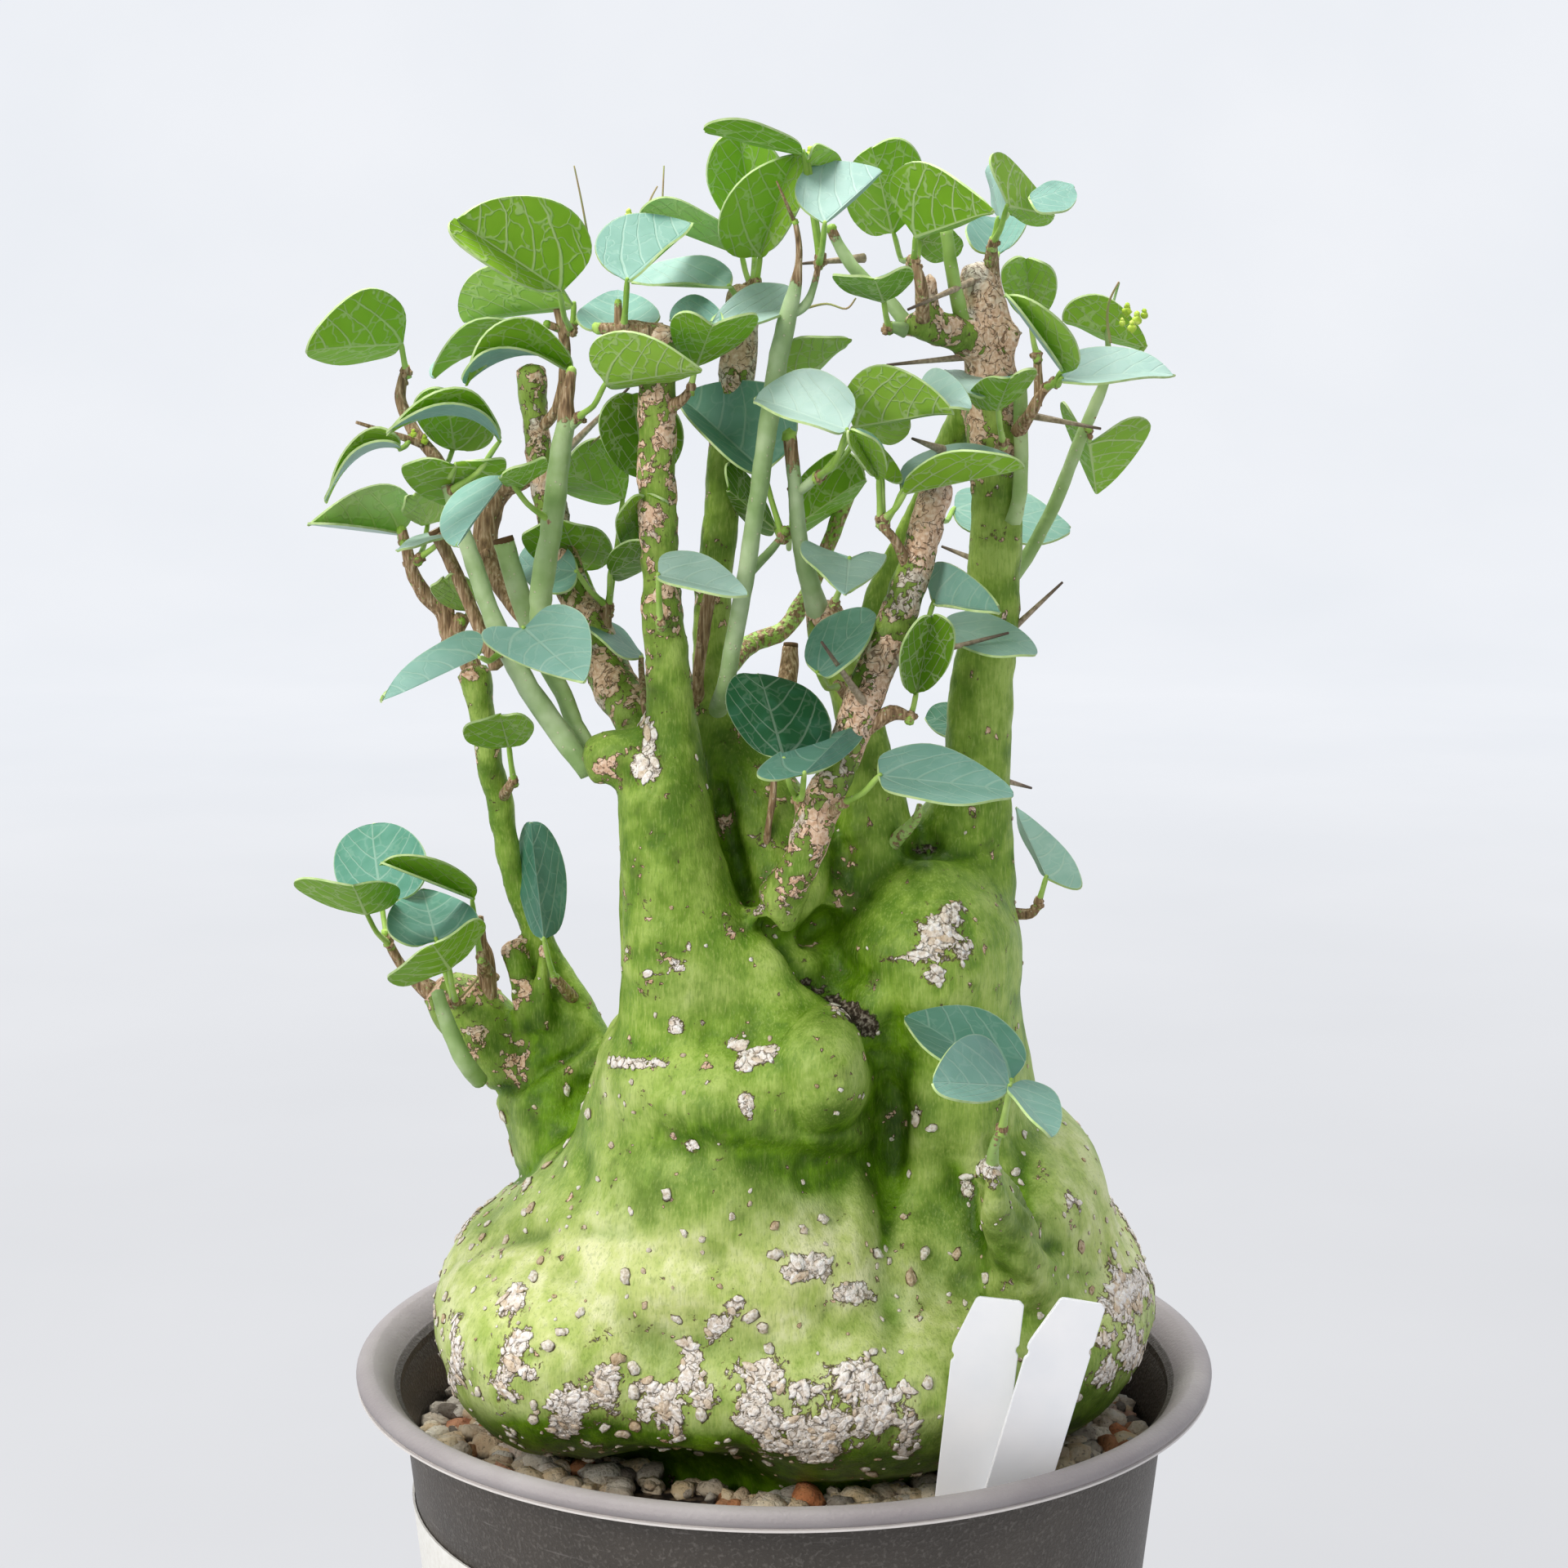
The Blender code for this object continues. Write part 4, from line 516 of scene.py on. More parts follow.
def seen(u, v, front):
    """The place in metres that shows at pixel (u, v), front millimetres before the pot's middle."""
    across = (u - VIEW_MIDDLE) / VIEW_FOCAL
    rise = (VIEW_MIDDLE - v) / VIEW_FOCAL
    run = math.cos(VIEW_PITCH) + rise * math.sin(VIEW_PITCH)
    climb = rise * math.cos(VIEW_PITCH) - math.sin(VIEW_PITCH)
    scale = (VIEW_DISTANCE - front * MM) / run
    return Vector((across * scale, -front * MM, VIEW_HEIGHT + climb * scale))


def pixel_size(place):
    """Metres covered by one pixel at a place."""
    sight = Vector((0, math.cos(VIEW_PITCH), -math.sin(VIEW_PITCH)))
    return (place - VIEWER).dot(sight) / VIEW_FOCAL


VIEWER = Vector((0, -VIEW_DISTANCE, VIEW_HEIGHT))


def smooth_route(points, steps):
    """Points of a Catmull-Rom curve through the given ones, as tuples of floats."""
    if steps == 1 or len(points) < 3:
        return points
    ends = [points[0]] + points + [points[-1]]
    route = []
    for before, start, stop, after in zip(ends, ends[1:], ends[2:], ends[3:]):
        for step in range(steps):
            t = step / steps
            weights = (-0.5 * t + t * t - 0.5 * t ** 3, 1 - 2.5 * t * t + 1.5 * t ** 3,
                       0.5 * t + 2 * t * t - 1.5 * t ** 3, 0.5 * (t ** 3 - t * t))
            corners = (before, start, stop, after)
            route.append(tuple(sum(w * p[axis] for w, p in zip(weights, corners))
                               for axis in range(len(start))))
    return route + [points[-1]]


def reach_in_depth(offset, length, up_normal, toward):
    """Turn an offset seen flat into one of true length, leaning so that the blade faces up_normal."""
    flat = offset.length
    if flat >= length:
        return offset
    hidden = math.sqrt(length * length - flat * flat)
    lean = -offset.dot(up_normal) / up_normal.dot(toward)
    return offset + toward * math.copysign(0.9 * hidden, lean)


def leaf_corners(row):
    """Base, tip, middle and the two widest edge points of a leaf, in metres, left of the top side first."""
    base = seen(*row.base, row.front)
    toward = (VIEWER - base).normalized()
    facing = 1 if row.side == TOP else -1
    outward = Vector((base.x, base.y, 0)) * 2
    up_normal = (toward * facing + Vector((0, 0, 1)) + outward).normalized()
    scale = pixel_size(base)
    level = Vector((1, 0, 0)) - toward * toward.x
    level.normalize()
    rise = toward.cross(level)

    def offset(start, end):
        return (level * (end[0] - start[0]) - rise * (end[1] - start[1])) * scale

    middle = (row.base[0] + WIDEST * (row.tip[0] - row.base[0]),
              row.base[1] + WIDEST * (row.tip[1] - row.base[1]))
    axis = reach_in_depth(offset(row.base, row.tip), row.size * LEAF_LENGTH, up_normal, toward)
    sides = []
    for edge in (row.near_edge, row.far_edge):
        reach = row.size * LEAF_HALF_WIDTH
        sides.append(reach_in_depth(offset(middle, edge), reach, up_normal, toward))
    bow = Vector((0, 0, 0))
    if row.mid:
        halfway = ((row.base[0] + row.tip[0]) / 2, (row.base[1] + row.tip[1]) / 2)
        bow = offset(halfway, row.mid)
    faces_viewer = axis.cross(sides[0]).dot(toward) > 0
    if faces_viewer != (row.side == TOP):
        sides.reverse()
    return base, axis, sides, bow


# Finer surfaces than the CAD model's, in metres
FINE_VOXEL = 0.00158
FINE_ROUNDS = 7
BLADE_THICKNESS = 0.0006
BLADE_ANGLES = 22
BLADE_BANDS = 5
STEM_SIDES = 14
STALK_SIDES = 8
POT_STEPS = 160

# Blade of a leaf, as in the CAD model: widest place on the midrib, and reach of the lobes
WIDEST = 0.40
LOBE_REACH = 0.10

RANDOM = random.Random(17)


def srgb(code):
    """A linear colour with alpha from a six-digit sRGB code."""
    channels = [int(code[i:i + 2], 16) / 255 for i in (0, 2, 4)]
    return tuple(c / 12.92 if c <= 0.04045 else ((c + 0.055) / 1.055) ** 2.4 for c in channels) + (1,)


class Paint:
    """A procedural material, with short names for the nodes that it is built from."""

    def __init__(self, name, roughness, specular=0.5):
        self.material = bpy.data.materials.new(name)
        self.material.use_nodes = True
        self.nodes = self.material.node_tree.nodes
        self.links = self.material.node_tree.links
        self.shader = self.nodes["Principled BSDF"]
        self.shader.inputs["Roughness"].default_value = roughness
        self.shader.inputs["Specular IOR Level"].default_value = specular
        self.place = self.nodes.new("ShaderNodeTexCoord").outputs["Object"]

    def put(self, socket, value):
        if isinstance(value, bpy.types.NodeSocket):
            self.links.new(value, socket)
        else:
            socket.default_value = value

    def number(self, name):
        node = self.nodes.new("ShaderNodeAttribute")
        node.attribute_name = name
        return node.outputs["Fac"]

    def math(self, operation, first, second=0.0, third=0.0, clamp=False):
        node = self.nodes.new("ShaderNodeMath")
        node.operation = operation
        node.use_clamp = clamp
        for socket, value in zip(node.inputs, (first, second, third)):
            self.put(socket, value)
        return node.outputs[0]

    def step(self, value, low, high):
        """0 below low, 1 above high, smooth between; low may be the larger."""
        node = self.nodes.new("ShaderNodeMapRange")
        node.interpolation_type = "SMOOTHSTEP"
        turned = low > high
        self.put(node.inputs["Value"], value)
        self.put(node.inputs["From Min"], min(low, high))
        self.put(node.inputs["From Max"], max(low, high))
        self.put(node.inputs["To Min"], 1.0 if turned else 0.0)
        self.put(node.inputs["To Max"], 0.0 if turned else 1.0)
        return node.outputs["Result"]

    def stretched(self, x, y, z, place=None):
        node = self.nodes.new("ShaderNodeMapping")
        self.put(node.inputs["Vector"], place or self.place)
        node.inputs["Scale"].default_value = (x, y, z)
        return node.outputs["Vector"]

    def noise(self, scale, detail=3.0, place=None, distortion=0.0):
        node = self.nodes.new("ShaderNodeTexNoise")
        self.put(node.inputs["Vector"], place or self.place)
        node.inputs["Scale"].default_value = scale
        node.inputs["Detail"].default_value = detail
        node.inputs["Distortion"].default_value = distortion
        return node.outputs["Fac"]

    def warped(self, scale, reach):
        """Places shifted about by noise, to bend a pattern."""
        node = self.nodes.new("ShaderNodeTexNoise")
        self.put(node.inputs["Vector"], self.place)
        node.inputs["Scale"].default_value = scale
        shift = self.nodes.new("ShaderNodeVectorMath")
        shift.operation = "MULTIPLY_ADD"
        self.links.new(node.outputs["Color"], shift.inputs[0])
        shift.inputs[1].default_value = (reach, reach, reach)
        self.put(shift.inputs[2], self.place)
        return shift.outputs[0]

    def cells(self, scale, feature="F1", place=None):
        node = self.nodes.new("ShaderNodeTexVoronoi")
        node.feature = feature
        self.put(node.inputs["Vector"], place or self.place)
        node.inputs["Scale"].default_value = scale
        return node

    def join(self, x, y, z):
        node = self.nodes.new("ShaderNodeCombineXYZ")
        for socket, value in zip(node.inputs, (x, y, z)):
            self.put(socket, value)
        return node.outputs[0]

    def split(self, colour):
        node = self.nodes.new("ShaderNodeSeparateColor")
        self.put(node.inputs[0], colour)
        return node.outputs

    def mix(self, share, first, second, blend="MIX"):
        node = self.nodes.new("ShaderNodeMix")
        node.data_type = "RGBA"
        node.blend_type = blend
        self.put(node.inputs[0], share)
        self.put(node.inputs[6], srgb(first) if isinstance(first, str) else first)
        self.put(node.inputs[7], srgb(second) if isinstance(second, str) else second)
        return node.outputs[2]

    def ramp(self, value, *stops):
        node = self.nodes.new("ShaderNodeValToRGB")
        self.put(node.inputs[0], value)
        ramp = node.color_ramp
        while len(ramp.elements) < len(stops):
            ramp.elements.new(0.5)
        for element, (position, code) in zip(ramp.elements, stops):
            element.position = position
            element.color = srgb(code)
        return node.outputs[0]

    def colour(self, value):
        self.put(self.shader.inputs["Base Color"], value)

    def roughness(self, value):
        self.put(self.shader.inputs["Roughness"], value)

    def bump(self, height, depth):
        """Relief: height from 0 to 1, depth in metres."""
        node = self.nodes.new("ShaderNodeBump")
        node.inputs["Strength"].default_value = 1.0
        node.inputs["Distance"].default_value = depth
        self.put(node.inputs["Height"], height)
        self.links.new(node.outputs[0], self.shader.inputs["Normal"])

    def glow_through(self, colour, share):
        """Let a share of the light from behind through, tinted."""
        output = self.nodes["Material Output"]
        through = self.nodes.new("ShaderNodeBsdfTranslucent")
        self.put(through.inputs["Color"], colour)
        both = self.nodes.new("ShaderNodeMixShader")
        both.inputs[0].default_value = share
        self.links.new(self.shader.outputs[0], both.inputs[1])
        self.links.new(through.outputs[0], both.inputs[2])
        self.links.new(both.outputs[0], output.inputs["Surface"])


class Pile:
    """Corners and faces of many small shapes, gathered into one mesh, with named numbers per corner."""

    def __init__(self, *shades):
        self.corners = []
        self.faces = []
        self.shades = {name: [] for name in shades}

    def add(self, corners, faces, **shades):
        start = len(self.corners)
        self.corners.extend(corners)
        self.faces.extend([start + index for index in face] for face in faces)
        for name, row in self.shades.items():
            value = shades[name]
            row.extend(value if isinstance(value, list) else [value] * len(corners))

    def build(self, name, materials, nodes=()):
        mesh = bpy.data.meshes.new(name)
        mesh.from_pydata([tuple(corner) for corner in self.corners], [], self.faces)
        for shade, values in self.shades.items():
            mesh.attributes.new(shade, "FLOAT", "POINT").data.foreach_set("value", values)
        return dress(bpy.data.objects.new(name, mesh), materials, nodes)


def dress(piece, materials, nodes=()):
    """Give a piece its materials and its place in the frame."""
    if not piece.users_collection:
        bpy.context.scene.collection.objects.link(piece)
    piece.data.materials.clear()
    for material in materials:
        piece.data.materials.append(material)
    piece.data.shade_smooth()
    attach(piece, "root")
    if nodes:
        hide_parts(*nodes)
    return piece


def ring_frames(places):
    """Two crosswise directions at each place of a route, turned as little as possible on the way."""
    frames = []
    side = None
    for index, place in enumerate(places):
        ahead = (places[min(index + 1, len(places) - 1)] - places[max(index - 1, 0)]).normalized()
        if side is None:
            side = ahead.orthogonal()
        side = (side - ahead * side.dot(ahead)).normalized()
        frames.append((side, ahead.cross(side), ahead))
    return frames


def sweep(pile, route, sides, lumpiness=0.0, **shades):
    """A closed tube with rounded ends along (place, radius) pairs. A shade may be a function of the share."""
    places = [place for place, radius in route]
    corners = []
    shares = []
    for index, ((place, radius), (side, cross, ahead)) in enumerate(zip(route, ring_frames(places))):
        for step in range(sides):
            angle = 2 * math.pi * step / sides
            spoke = side * math.cos(angle) + cross * math.sin(angle)
            swell = 1 + lumpiness * noise.noise((place + spoke * radius) * 260)
            corners.append(place + spoke * radius * swell)
            shares.append(index / (len(route) - 1))
    faces = []
    for index in range(len(route) - 1):
        for step in range(sides):
            first = index * sides + step
            second = index * sides + (step + 1) % sides
            faces.append((first, second, second + sides, first + sides))
    for index, turned in ((0, True), (len(route) - 1, False)):
        place, radius = route[index]
        outward = ring_frames(places)[index][2] * (-0.35 if turned else 0.35) * radius
        corners.append(place + outward)
        shares.append(0.0 if turned else 1.0)
        middle = len(corners) - 1
        for step in range(sides):
            first = index * sides + step
            second = index * sides + (step + 1) % sides
            faces.append((middle, second, first) if turned else (middle, first, second))
    values = {}
    for name, shade in shades.items():
        values[name] = [shade(share) for share in shares] if callable(shade) else shade
    pile.add(corners, faces, **values)


def route_of(knots, steps=4):
    """(place, radius) pairs of a smooth stem from a table row."""
    route = []
    for u, v, width, front in smooth_route(knots, steps):
        place = seen(u, v, front)
        route.append((place, 0.5 * width * pixel_size(place)))
    return route


def pixel_of(points):
    """Pixel columns and rows of an array of places."""
    away = points - numpy.array(VIEWER)
    sight = numpy.array((0, math.cos(VIEW_PITCH), -math.sin(VIEW_PITCH)))
    over = numpy.array((0, math.sin(VIEW_PITCH), math.cos(VIEW_PITCH)))
    depth = away @ sight
    return VIEW_MIDDLE + VIEW_FOCAL * away[:, 0] / depth, VIEW_MIDDLE - VIEW_FOCAL * (away @ over) / depth


def sight_ray(u, v):
    return (seen(u, v, 0) - VIEWER).normalized()


# Bark on the trunks: for each, pixel rows and how much of the surface there is bark
BARK = {
    "bark_branch": ((590, 0.80), (700, 0.50), (800, 0.72), (900, 0.62), (1030, 0.62), (1085, 0.35), (1130, 0.1)),
    "right": ((325, 0.90), (430, 0.80), (520, 0.42), (590, 0.40), (615, 0.0)),
    "middle": ((352, 0.90), (440, 0.80), (520, 0.40), (640, 0.10)),
    "front_left": ((402, 0.70), (520, 0.44), (780, 0.40), (860, 0.05)),
    "rear_left": ((450, 0.45), (600, 0.60), (860, 0.62), (900, 0.1)),
    "knob_branch": ((742, 0.90), (775, 0.25), (800, 0.0)),
    "right_arm": ((395, 0.40), (425, 0.35)),
    "arm_stub": ((336, 0.90), (400, 0.75)),
    "crown_stub": ((402, 0.9), (430, 0.6)),
    "left_arm": ((925, 0.25), (935, 0.35)),
    "far_left": ((815, 0.45), (835, 0.12), (1000, 0.10)),
    "low_left": ((1204, 0.45), (1240, 0.30), (1300, 0.20), (1370, 0.0)),
    "low_stub_tall": ((1156, 0.85), (1175, 0.3), (1240, 0.2)),
    "low_stub_short": ((1158, 0.85), (1175, 0.25), (1240, 0.1)),
    "rear_right": ((465, 0.45), (520, 0.1), (600, 0.0)),
}

# Cork patches on the bulb: middle and half sizes in pixels
CORK = {
    "right_lobe": ((1150, 1150, 24, 30), (1112, 1172, 20, 5), (1148, 1194, 12, 12), (1163, 1124, 12, 14)),
    "arm": ((790, 940, 13, 13), (794, 912, 6, 22)),
    "streak": ((842, 1164, 5, 12), (828, 1182, 10, 7), (806, 1193, 14, 4)),
    "left_lobe": ((920, 1298, 20, 11), (898, 1281, 14, 6), (778, 1302, 27, 5), (1028, 1244, 11, 13),
                  (912, 1350, 7, 11), (844, 1403, 13, 7), (826, 1258, 8, 7), (868, 1326, 8, 4)),
    "upper_belly": ((985, 1556, 26, 12), (1040, 1582, 22, 11), (876, 1624, 11, 13), (622, 1592, 15, 16),
                    (896, 1598, 12, 7), (1004, 1553, 8, 14)),
    "left_band": ((632, 1660, 18, 28), (618, 1690, 14, 24), (556, 1660, 8, 40), (684, 1716, 16, 12),
                  (742, 1690, 20, 32), (716, 1712, 26, 12), (690, 1742, 14, 18)),
    "middle_band": ((812, 1702, 30, 14), (838, 1672, 12, 26), (820, 1730, 16, 26), (862, 1712, 14, 20),
                    (794, 1722, 10, 16), (928, 1690, 26, 20), (930, 1730, 24, 32), (985, 1700, 42, 12),
                    (1040, 1688, 34, 22), (1080, 1730, 30, 26), (1012, 1760, 22, 30), (960, 1775, 44, 16),
                    (1110, 1752, 14, 24), (1062, 1670, 12, 14), (1106, 1700, 8, 12)),
    "right_band": ((1376, 1600, 22, 32), (1386, 1650, 16, 36), (1360, 1680, 20, 18), (1400, 1570, 12, 22),
                   (1350, 1640, 12, 10)),
    "callus": ((1209, 1428, 17, 16), (1309, 1474, 11, 13), (1117, 1366, 8, 9), (1182, 1452, 7, 11)),
}

# Painted shade and paler skin, each table: middle, half sizes in pixels and strength. The first is painted shade:
# deeper green where shade falls in hollows, creases and under overhangs.
PAINTED_SHADE_SPOTS = (
    (872, 1380, 60, 30, 0.8), (955, 1425, 90, 60, 0.9), (1108, 1310, 34, 90, 0.8), (1228, 1535, 34, 52, 0.6),
    (1258, 1470, 20, 60, 0.6), (795, 1440, 40, 50, 0.4), (880, 1780, 240, 36, 0.9), (700, 1755, 100, 26, 0.7),
    (1050, 1180, 70, 50, 0.7), (1036, 1400, 40, 60, 0.6), (1085, 1450, 14, 90, 0.5), (1130, 1060, 40, 12, 0.7),
    (1290, 1700, 100, 50, 0.6), (900, 960, 40, 80, 0.6), (1168, 1420, 30, 70, 0.3), (620, 1500, 60, 14, 0.25),
    (650, 1280, 70, 70, 1.0), (668, 1370, 50, 60, 0.9), (792, 1460, 30, 50, 0.4), (1050, 1030, 30, 110, 0.4), (820, 1080, 60, 140, 0.35), (1000, 1250, 60, 30, 0.3),
    (880, 1260, 100, 40, 0.25), (960, 1310, 80, 30, 0.25), (1070, 1420, 16, 60, 0.5), (640, 1760, 60, 22, 0.6),
)
# Paler skin: the belly's own pale tone, with painted light on lit ridges and bulges.
PALE_AND_LIT_SPOTS = (
    (650, 1570, 110, 80, 0.9), (770, 1600, 120, 70, 0.7), (1000, 1590, 120, 80, 0.7), (1150, 1590, 60, 60, 0.5),
    (1370, 1520, 40, 80, 0.6), (860, 1215, 70, 40, 0.35), (745, 1340, 22, 70, 0.5),
    (1310, 1400, 40, 60, 0.45), (840, 1540, 90, 40, 0.5), (1190, 1490, 14, 60, 0.35), (1000, 1500, 50, 50, 0.4),
)
# A dark crumbly line along the crease between the shoulder and the right lobe, and painted shade in the pit: middle,
# half sizes in pixels and strength.
CREASE_AND_PIT_DARK = ((988, 1201, 8, 6, 1.1), (1003, 1213, 10, 6, 1.1), (1018, 1224, 12, 7, 1.2), (1034, 1234, 15, 9, 1.2),
          (1050, 1245, 17, 11, 1.2), (1064, 1260, 13, 12, 1.2), (1133, 1040, 18, 7, 1.0))

# Fine wrinkles: pixels along each, half width in pixels and depth in millimetres
WRINKLES = (
    (((880, 960), (896, 1030), (912, 1086), (934, 1128), (958, 1156)), 9, 3.2),
    (((958, 1156), (992, 1194), (1032, 1222), (1066, 1256), (1084, 1300)), 12, 4.6),
    (((1066, 1256), (1088, 1300), (1094, 1340), (1090, 1372)), 11, 1.2),
    (((606, 1340), (634, 1332), (668, 1308), (700, 1292), (724, 1270)), 7, 2.2),
    (((690, 1150), (706, 1190), (724, 1230)), 6, 0.9),
    (((1084, 1300), (1094, 1360), (1090, 1430), (1096, 1520)), 13, 1.8),
    (((985, 1150), (1012, 1118), (1026, 1080), (1034, 1040)), 10, 2.4),
    (((1214, 1400), (1236, 1450), (1262, 1500), (1300, 1530)), 10, 1.6),
    (((1196, 1452), (1188, 1500), (1206, 1556), (1250, 1580)), 11, 2.2),
    (((716, 1300), (700, 1350), (716, 1420), (700, 1480)), 12, 1.3),
    (((968, 1330), (972, 1390), (990, 1450)), 14, 1.4),
    (((630, 1440), (668, 1420), (700, 1380), (716, 1330)), 8, 1.6),
    (((742, 1306), (790, 1330), (860, 1344), (940, 1342), (1010, 1330), (1066, 1300)), 6, 0.55),
    (((1030, 1092), (1090, 1104), (1150, 1100), (1210, 1082)), 6, 0.6),
    (((1110, 1146), (1150, 1152), (1200, 1140)), 6, 0.35),
    (((790, 1168), (818, 1180), (850, 1176)), 5, 0.5),
    (((1096, 1030), (1120, 1046), (1160, 1048), (1215, 1040)), 6, 0.8),
    (((1118, 1012), (1150, 1022), (1200, 1018)), 5, 0.6),
    (((628, 1330), (660, 1346), (700, 1352)), 5, 0.5),
    (((545, 1548), (600, 1516), (690, 1502), (770, 1512)), 9, 0.9),
    (((1210, 1372), (1240, 1392), (1270, 1430)), 6, 0.5),
    (((1240, 1540), (1290, 1562), (1340, 1560)), 8, 0.7),
)

# Hollows (negative) and swellings of the bulb: middle, half sizes in pixels and depth in millimetres
SCULPT = {
    "lobe_crease": (1092, 1330, 22, 130, -3.2),
    "lobe_crease_low": (1092, 1500, 24, 130, -1.9),
    "upper_crease": (1030, 1190, 34, 18, -2.6),
    "crease_turn": (1098, 1262, 14, 34, -2.0),
    "shoulder": (1004, 1262, 66, 46, 2.6),
    "shoulder_groove": (968, 1306, 44, 66, 4.0),
    "flank_left": (952, 1176, 26, 40, 2.6),
    "knob_fill": (1022, 1392, 54, 40, 3.2),
    "knob_fill_left": (946, 1384, 96, 32, 3.6),
    "arch": (890, 1832, 130, 40, -10.0),
    "arch_left": (790, 1806, 70, 26, -4.0),
    "neck_hollow_left": (815, 1410, 50, 40, -1.2),
    "neck_hollow_mid": (950, 1450, 50, 40, -0.6),
    "neck_rib": (880, 1440, 22, 80, 1.3),
    "left_rib": (725, 1400, 26, 80, 1.6),
    "right_rib": (1050, 1450, 22, 90, 1.8),
    "chin": (890, 1290, 120, 30, 0.9),
    "pit": (1133, 1036, 22, 11, -4.0),
    "pit_lip": (1140, 1064, 34, 12, 1.8),
    "belly_dimple": (1180, 1330, 36, 60, -1.8),
    "belly_hollow": (1160, 1440, 30, 60, -2.0),
    "ridge_hollow": (1256, 1450, 20, 60, -2.4),
    "right_hollow": (1236, 1545, 34, 44, -2.6),
    "right_dimple": (1310, 1520, 34, 30, -1.2),
    "low_groove": (900, 1800, 26, 46, -2.4),
    "low_groove_left": (690, 1790, 26, 40, -1.8),
    "chin_under": (840, 1380, 70, 26, -0.6),
    "ridge": (1218, 1480, 22, 60, 2.6),
    "ridge_low": (1250, 1560, 34, 34, 2.2),
    "ridge_left": (1176, 1500, 18, 70, -1.8),
    "flank_dimple": (1330, 1600, 30, 34, -1.0),
    "flank_swell": (1356, 1520, 26, 50, 1.0),
    "right_lobe_low": (1190, 1300, 40, 40, 1.2),
    "left_dimple": (612, 1560, 34, 26, -1.1),
    "left_swell": (676, 1610, 44, 34, 1.0),
    "mid_dimple": (866, 1540, 44, 22, -1.3),
    "belly_fold": (1092, 1640, 22, 60, -1.2),
    "belly_swell": (770, 1590, 90, 60, 1.0),
    "belly_swell_mid": (970, 1620, 80, 70, 1.2),
    "left_fold": (640, 1515, 80, 14, -1.2),
}


def merged(name, lumps, voxel, rounds, home):
    """One smooth closed body from a collection of overlapping lumps, which are removed."""
    bpy.context.view_layer.update()
    shape = bmesh.new()
    for piece in lumps.objects:
        mesh = baked(piece)
        mesh.transform(piece.matrix_world)
        shape.from_mesh(mesh)
    mesh = bpy.data.meshes.new(name)
    shape.to_mesh(mesh)
    shape.free()
    body = bpy.data.objects.new(name, mesh)
    home.objects.link(body)
    for piece in list(lumps.objects):
        bpy.data.objects.remove(piece, do_unlink=True)
    bpy.data.collections.remove(lumps)
    merge = body.modifiers.new("merge", "REMESH")
    merge.mode = "VOXEL"
    merge.voxel_size = voxel
    soften = body.modifiers.new("soften", "SMOOTH")
    soften.factor = 0.5
    soften.iterations = rounds
    apply_modifiers(body)
    return body


def baked(piece):
    depsgraph = bpy.context.evaluated_depsgraph_get()
    return bpy.data.meshes.new_from_object(piece.evaluated_get(depsgraph))


def apply_modifiers(piece):
    mesh = baked(piece)
    piece.modifiers.clear()
    piece.data = mesh


def new_collection(name):
    collection = bpy.data.collections.new(name)
    bpy.context.scene.collection.children.link(collection)
    return collection


def lump(mesh, name, home):
    piece = bpy.data.objects.new(name, mesh)
    home.objects.link(piece)
    return piece


def grown_body():
    """The caudex and its thick trunks, merged from the same lobes and routes as the CAD model."""
    lumps = new_collection("lumps")
    for index, lobe in enumerate(LOBES):
        middle = seen(lobe.u, lobe.v, lobe.front)
        scale = pixel_size(middle)
        shape = bmesh.new()
        bmesh.ops.create_uvsphere(shape, u_segments=32, v_segments=20, radius=1)
        spread = Matrix.Diagonal((lobe.across * scale, lobe.deep * MM, lobe.up * scale, 1))
        bmesh.ops.transform(shape, verts=shape.verts, matrix=Matrix.Translation(middle) @ spread)
        mesh = bpy.data.meshes.new(f"lobe_{index}")
        shape.to_mesh(mesh)
        shape.free()
        lump(mesh, mesh.name, lumps)
    limbs = new_collection("limbs")
    merged("bulb", lumps, BULB_VOXEL, BULB_ROUNDS, limbs)
    for name, knots in THICK_TRUNKS.items():
        pile = Pile()
        sweep(pile, route_of(knots, 6), 24)
        mesh = bpy.data.meshes.new(name)
        mesh.from_pydata([tuple(corner) for corner in pile.corners], [], pile.faces)
        lump(mesh, name, limbs)
    return merged("caudex_body", limbs, FINE_VOXEL, FINE_ROUNDS, bpy.context.scene.collection)


def mesh_array(mesh, field):
    values = numpy.empty(len(mesh.vertices) * 3)
    source = mesh.vertices if field == "co" else mesh.vertex_normals
    source.foreach_get(field if field == "co" else "vector", values)
    return values.reshape(-1, 3)


def soft_ellipse(columns, rows, u, v, across, up):
    """1 at the middle of an ellipse of pixels, 0 at its rim and negative beyond."""
    return 1 - numpy.sqrt(((columns - u) / across) ** 2 + ((rows - v) / up) ** 2)


def near_hit(tree, places, u, v, reach):
    """Whether each place is near where the line of sight through a pixel first meets the body."""
    hit = tree.ray_cast(VIEWER, sight_ray(u, v))[0]
    if hit is None:
        return numpy.zeros(len(places), bool)
    return numpy.linalg.norm(places - numpy.array(hit), axis=1) < reach


def field_noise(places, scale, seed=0.0):
    """Smooth noise from -1 to 1 at each place."""
    shift = Vector((seed, seed * 1.7, seed * 0.6))
    return numpy.array([noise.noise(Vector(place) * scale + shift) for place in places])


def rough_noise(places, scale, seed=0.0, octaves=4):
    """Ragged noise from -1 to 1 at each place."""
    shift = Vector((seed, seed * 1.7, seed * 0.6))
    return numpy.array([noise.fractal(Vector(place) * scale + shift, 0.8, 2.1, octaves) for place in places])


def eased(values, low, high):
    """0 below low, 1 above high, smooth between."""
    share = numpy.clip((values - low) / (high - low), 0, 1)
    return share * share * (3 - 2 * share)


